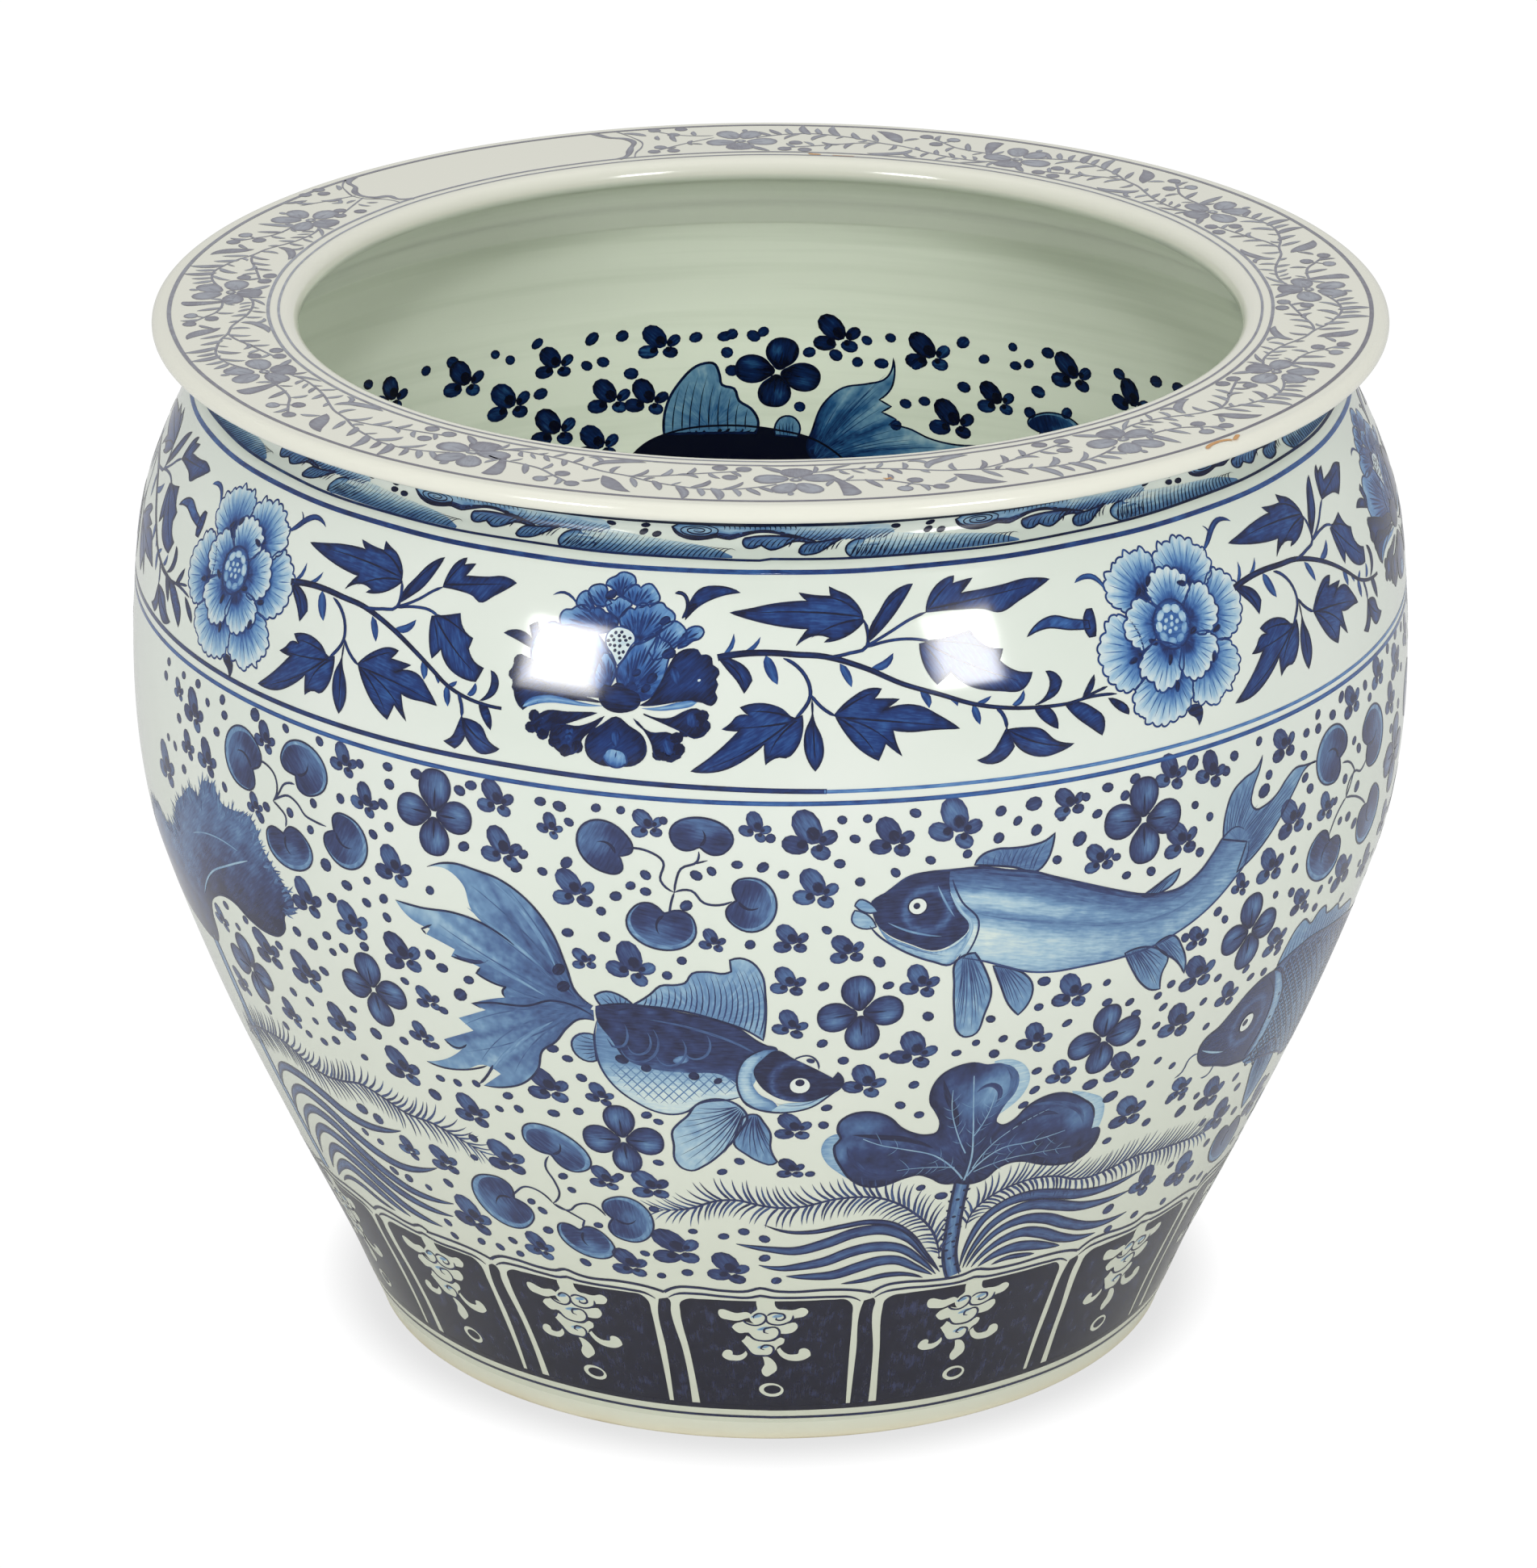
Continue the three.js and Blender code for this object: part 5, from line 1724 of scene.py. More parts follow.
def full_peony(p, at):
    """A peony seen full face: six outer petals, five inner ones and a netted heart, drawn about u = 176.5."""
    saved = p.move
    p.move = (at - FULL_AT, 0)
    outer = [
        (xy(157,385, 149,390, 148,396, 150,401, 154,402, 155,404, 159,405, 162,407, 166,405.5, 170,407,
            173,405, 175.5,402, 174,396, 168,388), (168, 389)),
        (xy(175,402, 178,404, 181,407, 185,406, 190,407.5, 195,406, 199,404.5, 200,402, 204,401, 205,398,
            206,395, 204,391, 200,388, 188,388, 178,395), (187, 390)),
        (xy(200,389, 206,392.5, 210,391, 214,388, 217,384, 217,379, 216,374, 213,370, 208,367, 202,366.5,
            197,368, 196,376, 198,384), (194, 378)),
        (xy(199,367, 204,366, 208,362, 210,357, 208,352, 204,349, 204,346, 199,346, 197,343, 193,342,
            190,344, 186,344, 183,347, 183,356, 190,364), (190, 364)),
        (xy(157,359, 153,355, 153,351, 154,347, 157,346, 158,343, 162,341.5, 166,340, 170,340.5, 175,341.5,
            179,343, 181,346, 183,352, 180,361, 166,362), (173, 362)),
        (xy(157,359, 152,357, 148,357.5, 145,360, 142,363, 140,368, 139,373, 141,378, 144,381, 145,384,
            150,386, 156,384, 160,376, 160,366), (162, 371)),
    ]
    inner = [
        (xy(155,384, 158,387, 162,390, 167,388, 172,384, 170,377, 166,373, 160,371, 155,375,
            153,379), (171, 378)),
        (xy(168,392, 169,395, 174,397.5, 180,398, 186,396, 190,393, 190,388, 184,383.5, 176,383, 170,387),
         (178, 383)),
        (xy(190,388, 193,390, 199,388.5, 201,384, 203,379, 201,374, 196,371, 190,371, 185,376,
            185,382), (185, 378)),
        (xy(188,372, 196,370.5, 199,367, 198,361, 194,359, 190,356, 185,354.5, 180,357, 177,362, 180,369),
         (182, 371)),
        (xy(167,373, 160,369, 157,365, 158,361, 163,358, 165,354, 170,354, 175,356, 179,361, 180,368,
            174,371),
         (174, 372)),
    ]
    for i, (loop, base) in enumerate(outer):
        petal(p, loop, base, 0.05, 0.92, WASH + 0.004 * i, 12)
    for i, (loop, base) in enumerate(inner):
        petal(p, loop, base, 0.05, 0.86, BODY + 0.03 + 0.004 * i, 10)
    heart = oval(177, 377.5, 9.6, 9.2, 0, 26)
    p.fill(heart, lambda u, z, gap: 0.62 + 0.2 * np.exp(-gap / 1.5), DARK + 0.01, 2.0)
    for i in range(9):
        a = TAU * i / 9 + 0.3
        tone = 0.5 if math.sin(a) < -0.2 else 0.3
        p.blob(177 + 6.6 * math.cos(a), 377.5 + 6.2 * math.sin(a), random.uniform(2.1, 2.8),
               random.uniform(1.5, 2.0),
               math.degrees(a) + 90, tone, tone - 0.2, 0, OVER, 9)
    for u, z in xy(174.5,379.4, 177.6,380, 180,378.2, 178.6,375.6, 175.4,375.2, 173.2,377, 177,377.6):
        p.blob(u, z, 1.15, 0.95, random.uniform(0, 90), 0.3, 0.1, 0, OVER, 7)
    for u, z, angle in ((164, 392, 50), (170, 395, 60), (187, 391, -20), (200, 371, 20), (196, 361, 70),
                        (175, 354, 80), (155, 368, 20), (166, 373, -30), (187, 373, 20), (173, 365, 70)):
        p.blob(u, z, 2.6, 1.3, angle, 0.8, 0.95, 0.2, OVER, 9)
    outline_of(p, heart, 0.8, 0.85, OVER)
    curl = xy(134,400, 139,401.5, 144,400.5, 147,397.5, 148,395)
    p.stroke(curl, 3.6, leaf_shape, 0.72, LINE, 0.12)
    leafy(p, xy(108,384, 114,388.5, 120,390, 130,387.5, 137,386, 137,383, 128,384, 117,386),
          (), BODY, 0.78, 0.58)
    leafy(p, xy(136,380, 134.5,386, 137,390, 139.5,390, 140,384, 139,380))
    p.stroke(xy(204,399.5, 208,402, 213,406, 218,408, 226,406), 4.2, leaf_shape, 0.8, LINE, 0.12)
    p.stroke(xy(211,403, 210.5,406, 208,408), 1.4, tail_off, 0.85, LINE)
    bud = xy(179,344, 183,345, 187,343, 187,338.5, 185,335.5, 183.5,339, 180,341.5)
    p.fill(bud, 0.95, LINE, 2.0)
    p.stroke(xy(108,358, 121,357, 133,358, 145,357), 1.3, thick_line, 0.92, BODY)
    p.stroke(xy(128,357.5, 136,359.6, 141,360.6), 1.2, thick_line, 0.92, BODY)
    leafy(p, xy(121,357, 128,356.5, 134,353, 138,349, 137,342, 132,346, 125,352))
    leafy(p, xy(141,356, 146,354, 150,350, 150,348, 145,351))
    leafy(p, xy(129,358, 134,361, 135.5,366, 132.5,363))
    p.move = saved


def leafy(p, loop, veins=(), lift=BODY, edge=0.95, middle=0.76):
    """A leaf of one loaded brush: deeper at its edges, with streaks from base to tip and dark veins."""
    turn = 20.0
    if veins:
        turn = math.degrees(math.atan2(veins[0][-1][1] - veins[0][0][1], veins[0][-1][0] - veins[0][0][0]))
    p.fill(loop, lambda u, z, gap: middle + (edge - middle) * np.exp(-gap / 1.1), lift, 2.6, turn, None, 55)
    outline_of(p, loop, 0.6, 0.98, lift + 0.03, True, 55)
    for vein in veins:
        p.stroke(vein, 1.0, tail_off, 1.0, lift + 0.04, 0.0, 4.0)


def cloud(p, u, z, wide, high, turn=90.0, lobes=5, tone=0.42, lift=BODY, hairs=6):
    """A small scalloped petal like a cloud. It points along turn, and fine lines run back from its rim."""
    c, s = math.cos(math.radians(turn)), math.sin(math.radians(turn))
    loop = []
    for i in range(44):
        a = -math.pi + TAU * i / 44
        bump = 1 + 0.1 * abs(math.sin(lobes * a / 2)) * (math.cos(a) > -0.4)
        x = wide * math.cos(a) * bump
        y = high * math.sin(a) * bump
        loop.append((u + c * x - s * y, z + s * x + c * y))

    def shade(pu, pz, gap):
        along = ((pu - u) * c + (pz - z) * s) / wide
        return tone + 0.3 * np.clip(-along, 0, 1) - 0.12 * np.clip(along, 0, 1) + 0.1 * np.exp(-gap / 0.9)

    p.fill(loop, shade, lift, 2.0, turn, None, 0)
    outline_of(p, loop, 0.7, 0.82, lift + 0.035, True, 0)
    for i in range(hairs):
        y = high * (i + 0.5 - hairs / 2) / (hairs / 2) * 0.72
        far = wide * math.sqrt(max(0.05, 1 - (y / high) ** 2)) * 0.84
        near = far - wide * random.uniform(0.55, 0.9)
        p.stroke([(u + c * near - s * y, z + s * near + c * y), (u + c * far - s * y, z + s * far + c * y)],
                 0.7, blade, 0.76, lift + 0.03, 0.0, 3.0)


def from_sheet(points):
    """Points of a sketch, fifteen units to a millimetre and y downwards, as distance round and height."""
    made = []
    for x, y in points:
        across = x - 737
        u = -68.5 + 0.0684 * across - 0.00000184 * across ** 2 + y * (0.0059 - 0.0000056 * across)
        z = 413.2 - 0.0521 * y - 0.0000028 * y ** 2 + 0.00468 * across - 0.00000285 * across ** 2
        made.append((u, z))
    return made


def cloud_petal(p, loop, base, lift, pale=0.4, deep=0.84):
    """A scalloped petal with dark stripes that run from near its rim down to its base."""
    far = max(math.dist(base, q) for q in loop)

    def shade(u, z, gap):
        reach = np.hypot(u - base[0], z - base[1]) / far
        stripe = 0.1 * np.sin(np.arctan2(z - base[1], u - base[0]) * 34)
        wash = pale + (deep - pale) * np.clip(1.1 - 1.25 * reach, 0, 1)
        return wash + stripe * np.clip(1.3 - 1.5 * reach, 0, 1)

    p.fill(loop, shade, lift, 1.3, 0, base, 50)
    rim = smooth(loop, 1.0, True, 50)
    reach = np.hypot(rim[:, 0] - base[0], rim[:, 1] - base[1])
    outer = rim[reach > far * 0.55]
    count = int(len(outer) / 3.2)
    for i in range(count):
        tip = outer[int((i + 0.5) / count * len(outer))]
        near = random.uniform(0.14, 0.2)
        share = random.uniform(0.5, 0.8)
        start = (tip[0] + (base[0] - tip[0]) * near, tip[1] + (base[1] - tip[1]) * near)
        end = (tip[0] + (base[0] - tip[0]) * share, tip[1] + (base[1] - tip[1]) * share)
        p.stroke([end, start], 1.0, blade, random.uniform(0.76, 0.88), lift + 0.03, 0.0, 2.5)
    outline_of(p, loop, 0.75, 0.84, lift + 0.033, True, 50)


def side_peony(p, at):
    """A peony seen from the side: a seed pod among cloud petals over a fan of dark ones, about u = -60."""
    saved = p.move
    p.move = (at - SIDE_AT, 0)
    crown = [
        (xy(512,250, 520,215, 535,190, 555,175, 580,170, 592,180, 610,215, 625,250, 600,300, 560,290,
            520,270),
         (640, 330)),
        (xy(588,190, 592,160, 612,138, 640,128, 680,128, 702,142, 710,165, 715,210, 740,250, 690,270,
            640,265, 612,220), (720, 290)),
        (xy(808,200, 812,160, 835,142, 870,132, 905,130, 925,150, 960,125, 995,125, 1015,145, 1040,185,
            1050,210, 1045,235, 1020,248, 965,262, 900,262, 850,235), (880, 290)),
        (xy(700,130, 712,100, 740,82, 765,72, 785,54, 815,46, 850,54, 880,72, 893,100, 890,128, 850,150,
            810,200, 775,195, 745,155), (795, 205)),
        (xy(700,245, 720,225, 760,230, 780,212, 802,210, 820,222, 845,225, 865,240, 870,262, 845,282,
            815,310, 785,360, 750,335, 715,290), (785, 370)),
        (xy(408,350, 415,320, 430,300, 450,290, 485,290, 510,272, 545,262, 580,265, 605,282, 650,278,
            685,292, 702,312, 735,318, 765,338, 785,370, 770,410, 700,440, 560,440, 430,410), (720, 430)),
        (xy(235,640, 225,560, 250,470, 290,410, 330,378, 380,372, 420,392, 480,390, 560,410, 640,440,
            700,520, 730,590, 762,650, 766,700, 745,760, 690,810, 560,820, 400,780, 300,720), (735, 770)),
        (xy(1215,450, 1228,420, 1260,400, 1300,395, 1328,408, 1338,432, 1325,460, 1300,480, 1265,490,
            1225,520, 1170,540, 1180,480), (1150, 520)),
        (xy(790,350, 808,320, 832,295, 862,280, 888,292, 905,270, 930,250, 960,250, 985,275, 1012,258,
            1045,245, 1075,250, 1092,275, 1130,300, 1150,330, 1146,360, 1100,400, 1050,440, 990,480, 930,510,
            890,520, 880,450, 840,410, 800,395), (900, 510)),
        (xy(1030,470, 1050,425, 1070,395, 1110,372, 1160,365, 1192,385, 1215,412, 1228,450, 1215,490,
            1160,525, 1125,560, 1070,600, 1010,620, 980,560), (1000, 620)),
        (xy(775,690, 790,650, 830,600, 862,550, 892,520, 930,500, 962,470, 1005,448, 1045,452, 1062,480,
            1105,500, 1132,540, 1112,600, 1098,650, 1080,720, 1035,800, 980,860, 900,880, 840,830, 790,790),
         (850, 830)),
        (xy(655,640, 690,572, 722,575, 748,602, 766,652, 768,705, 750,750, 720,800, 680,840, 640,820,
            630,720),
         (720, 810)),
    ]
    for i, (loop, base) in enumerate(crown):
        cloud_petal(p, from_sheet(loop), from_sheet([base])[0], WASH + 0.0035 * i)
    top = WASH + 0.0035 * len(crown) + 0.045
    pod = from_sheet(xy(705,505, 712,455, 738,420, 780,402, 830,410, 870,430, 893,468, 890,502, 868,525,
                        850,555, 830,592, 802,630, 778,655, 762,620, 742,575, 718,542))
    p.fill(pod, 0.02, top, 2.4)
    outline_of(p, pod, 0.6, 0.8, top + 0.02)
    seeds = xy(808,437, 770,440, 742,462, 792,460, 824,466, 860,476, 757,487, 795,492, 834,490, 722,492,
               847,520, 733,520, 762,524, 795,527, 764,556, 790,572, 817,566, 795,605)
    for u, z in from_sheet(seeds):
        p.blob(u, z, 0.78, 0.68, random.uniform(0, 90), 1.0, 0.95, 0, top + 0.02, 7)
    blots = from_sheet(xy(745,402, 735,195, 1085,362, 1110,575, 1000,735, 900,700, 860,790, 960,800))
    for (u, z), size in zip(blots, (2.1, 2.6, 2.4, 3.0, 2.6, 2.0, 2.4, 2.2)):
        p.blob(u, z, size, size * 0.7, random.uniform(20, 70), 0.96, 0.84, 0.1, top - 0.01, 10)
    dark = [
        from_sheet(xy(920,910, 990,870, 1040,800, 1082,720, 1122,640, 1160,582, 1205,553, 1250,545, 1295,550,
                      1318,585, 1352,582, 1385,602, 1390,645, 1425,670, 1432,702, 1410,735, 1424,770,
                      1404,820, 1418,852, 1408,882, 1380,904, 1330,886, 1280,878, 1200,876, 1100,892,
                      1000,908)),
        xy(-67,364, -84,367, -101,369, -104,366, -103,361, -100,358, -96,361, -88,363, -81,364),
        xy(-104,366, -106,373, -103,378, -96,376, -84,372, -70,369, -66,366, -84,366),
        xy(-50,361, -39,360, -33,363, -29,364, -25,360, -25,355, -30,353, -34,355, -39,357),
        xy(-54,359, -47,354, -39,354, -35,350, -35,345, -40,343.5, -45,345, -46,349),
        xy(-66,359, -76,354, -86,353, -88,349, -86,345, -80,342.5, -76,345, -75,349, -70,354),
        xy(-69,360, -81,359, -91,358, -95,354, -94,350, -89,349, -88,352, -81,355),
        xy(-61,359, -56,356, -50,352, -49,345, -53,341, -60,340, -67,340, -72,343, -73,349, -66,356),
    ]
    for i, loop in enumerate(dark):
        p.fill(loop, lambda u, z, gap: 0.98 - 0.16 * np.clip((gap - 1) / 4, 0, 1),
               top - 0.02 + 0.003 * i, 2.6, 40)
        outline_of(p, loop, 0.7, 0.98, top + 0.01)
    for u, z in xy(-103.5,376, -105,371, -103,366.5, -95,356, -96,351.5, -91,349.5, -26.5,361.5, -25.5,357.5,
                   -29,355, -33,355.5, -85.5,351.5, -86,347, -81.5,344, -76.5,346, -36.5,352.5, -35.5,348,
                   -39,345, -43.5,345.5):
        p.blob(u, z, 2.7, 2.4, random.uniform(0, 90), 0.99, 0.96, 0, top + 0.004, 9)
    for u, z in xy(-38,376, -61,351, -80,350, -40,349, -92,353.5, -31,359.5):
        p.blob(u, z, 3.6, 2.0, random.uniform(60, 120), 0.92, 0.74, 0, top + 0.006, 10)
    heart = from_sheet(xy(655,870, 668,805, 700,776, 740,786, 768,765, 812,772, 842,802, 885,818, 915,842,
        925,885, 900,930, 860,950, 800,962, 730,952, 685,925))
    p.fill(heart, lambda u, z, gap: 0.98 - 0.12 * np.clip((gap - 0.8) / 3, 0, 1), top, 2.0)
    p.stroke(from_sheet(xy(930,930, 1050,932, 1160,912, 1290,888)), 2.7, swell, 0.4, top + 0.015, 0.2)
    p.stroke(from_sheet(xy(680,916, 560,908, 450,888, 340,872, 240,884, 160,926)), 3.1, swell, 0.42,
             top + 0.015, 0.2)
    cloud(p, -61, 342.8, 3.6, 4.6, 80, 5, 0.38, top + 0.02, 3)
    p.blob(-28.2, 374.6, 0.7, 0.5, 30, 0.1, 0.0, 0, top + 0.02, 7)
    p.stroke(xy(-36.4,396.4, -34.3,401.4, -36,404.6, -40,405), 1.5, thick_line, 0.95, LINE)
    leafy(p, xy(-34,400.7, -30,406.4, -21.4,408, -12.4,406, -23,404, -30,400.7, -35,396))
    leafy(p, xy(-112,385, -105,386.6, -99,384, -101,389, -98,390.5, -96,385, -99,381, -106,383.4))
    p.stroke(xy(-93,400.6, -88,402, -84,400.5, -81,397.5), 1.8, leaf_shape, 0.8, LINE)
    p.move = saved


def leaf_spray(p, at, keep=1.0):
    """The stem and leaves that follow a flower. keep is how much of the far end's length is left."""

    def moved(points):
        made = []
        for u, z in points:
            if u > 52:
                u = 52 + (u - 52) * keep
            made.append((u + at, z))
        return made

    def go(points, width, shape=thick_line, tone=0.84, lift=LINE):
        p.stroke(moved(points), width, shape, tone, lift, 0.1)

    def patch(points, *veins):
        leafy(p, moved(points), [moved(v) for v in veins])

    main_stem = xy(-21,383, -10,384.7, 0,385, 11,384.3, 23,383.3, 27,382.4, 39,378.6, 54,372, 69,367, 83,362,
                   97,359, 109,357.6, 125,357)
    go(main_stem, 2.7, lambda t: 1.0 - 0.5 * t, 0.96)
    go(xy(23,383, 33,384.3, 40,386.4, 40.7,391.4, 39.3,396), 1.4, thick_line, 0.86)
    patch(xy(39,397, 34,404, 27,407, 25.6,407.8, 26,404.5, 18,405, 12.6,405.9, 16,403, 1,402, -8,400.4,
             -16.4,399, -4,396, 4,394.6, 16,393.4, 13,390, 11,387.6, 22,391, 25,390, 22.6,388.6, 33,391,
             39,395),
          xy(38,397, 20,399, -6,399), xy(38,398, 30,403, 20,404), xy(38,396, 26,394, 17,390))
    patch(xy(40.7,388, 42,393, 46,398, 51,403.6, 61.4,407.2, 56,401, 51,396, 45,391),
          xy(41,389, 48,399, 58,405.5))
    go(xy(39,386, 50,391, 59,395, 66,397), 1.2)
    patch(xy(66,397, 68,402, 72,406, 80,408.6, 79,406, 88,407.2, 82,402.4, 101,403.4, 112,404.4, 123,403,
             108,397.6, 97,394.4, 92,396, 80,397),
          xy(67,398, 74,404, 79,407), xy(67,398, 90,400, 114,402))
    go(xy(40,386, 50,388, 59,388, 67,386.4), 1.2)
    patch(xy(62,386, 63,379, 68,371, 74,375, 80,370, 94,366, 104,365.6, 108.5,371, 101,372.6, 95,377, 97,381,
             88,384, 84,389, 75,387.5),
          xy(64,385, 70,378, 72,374), xy(65,386, 82,377, 103,368.5), xy(66,387, 80,385, 94,381))
    for points, width in (
        (xy(-19,384, -15.6,387, -14.6,391.7), 2.6),
        (xy(-10.7,385, -6,387.3, -3.6,390.7), 2.4),
        (xy(-1.4,384, 0.6,379, 3.3,373.6), 6.2),
        (xy(28.6,380.7, 31,377, 33,372), 4.6),
        (xy(41.4,378.6, 47,379.6, 50.7,383.4), 4.4),
        (xy(60.7,369, 63.4,366, 64,362.4), 4.6),
        (xy(72,365.7, 75,364, 75.7,362), 2.8),
        (xy(82,362, 83.4,358, 84.6,354), 4.4),
        (xy(83,362, 87,362.8, 90,364.4), 2.6),
        (xy(98.6,360, 102,361, 104,365), 3.4),
    ):
        go(points, width * 1.12, leaf_shape, 0.72, BODY)
    patch(xy(-20.7,383, -14,382, -9,379, -7,375, -10,370.4, -13,375, -17,379),
          xy(-19,382, -12,377, -10,372))
    patch(xy(108.6,358.6, 113,359.6, 118.6,362, 121,366, 119,369, 114.6,370.6, 116,366.6, 114,362))
    patch(xy(108,358, 112,357.8, 116,355, 117.8,348, 113,351, 109.6,354.6))
    go(xy(5.7,383, 11.4,380, 15.7,374.3, 16.4,369.3, 13,363.6, 10,360.7), 1.5, thick_line, 0.88)
    patch(xy(10,361, 5,364.5, -2,366.5, -11.4,365, -8,362, -13,361.4, -15,359, -18.6,356.5, -12,356, -20,348,
             -30.7,339.6, -20,340, -8,346, -2,351, -1.4,343, 4,346, 6.4,345.7, 11,350, 13,356, 13,362),
          xy(10,361, -2,352, -24,341), xy(10,361, -1,363.5, -9,363.4), xy(11,360, 4,354, 0,347),
          xy(11,360, -2,358, -14,357))
    patch(xy(17,368, 17,362, 14.4,356, 14,349, 18,340.2, 21,346, 20.6,353, 17.6,360),
          xy(17,364, 17.6,352, 18,343))
    go(xy(16.4,370, 20.7,365, 26.4,361.4), 1.4, thick_line, 0.88)
    patch(xy(26,362, 33,368, 40,371, 45,370.8, 42,367.2, 52,366.6, 45,362.6, 60,363.4, 68,359, 76,353.4,
             66,354, 55,354, 49,355, 50,350, 52.4,344.6, 46,350, 43,343.4, 36,348, 30,355),
          xy(27,361, 44,359, 70,355), xy(27,361, 36,354, 42,346), xy(28,363, 36,367.5, 43,370),
          xy(28,361, 42,355, 50,348))
    go(xy(91.4,360, 94.8,356, 95.7,351), 1.6, thick_line, 0.85)
    patch(xy(95.7,351.5, 92,345.6, 90,343, 83,340, 91.4,338, 98.6,343.6))
    patch(xy(96.4,350.6, 103,350.4, 110,349, 117,343, 124.6,340.8, 118,338.6, 111.4,337.8, 101.4,342),
          xy(97,350, 108,344, 122,340.4))


# A spray's free end starts SPRAY_START after its flower, and is shortened where it would come within
# FLOWER_REACH of the next one
SPRAY_START = 91
FLOWER_REACH = 72
SPRAY_LENGTH = 70
FLOWER_PLACES = [
    (-265, "full"), (-60.5, "side"), (176.5, "full"), (378, "side"), (592, "full"), (804, "side"),
    (1012, "full"), (1222, "side"),
]
for number, (at, kind) in enumerate(FLOWER_PLACES):
    following = FLOWER_PLACES[(number + 1) % len(FLOWER_PLACES)][0]
    if number + 1 == len(FLOWER_PLACES):
        following += TAU * BELLY
    leaf_spray(flowers, at + 60, min(1.0, (following - at - SPRAY_START - FLOWER_REACH) / SPRAY_LENGTH))
for at, kind in FLOWER_PLACES:
    if kind == "full":
        full_peony(flowers, at)
    else:
        side_peony(flowers, at)
flowers.finish()


# The neck: rolling waves

waves = Paint("neck_waves", Outside, NECK_BLUE, "cobalt_wash")


WAVES = 13
WAVE_SCALE = 0.98


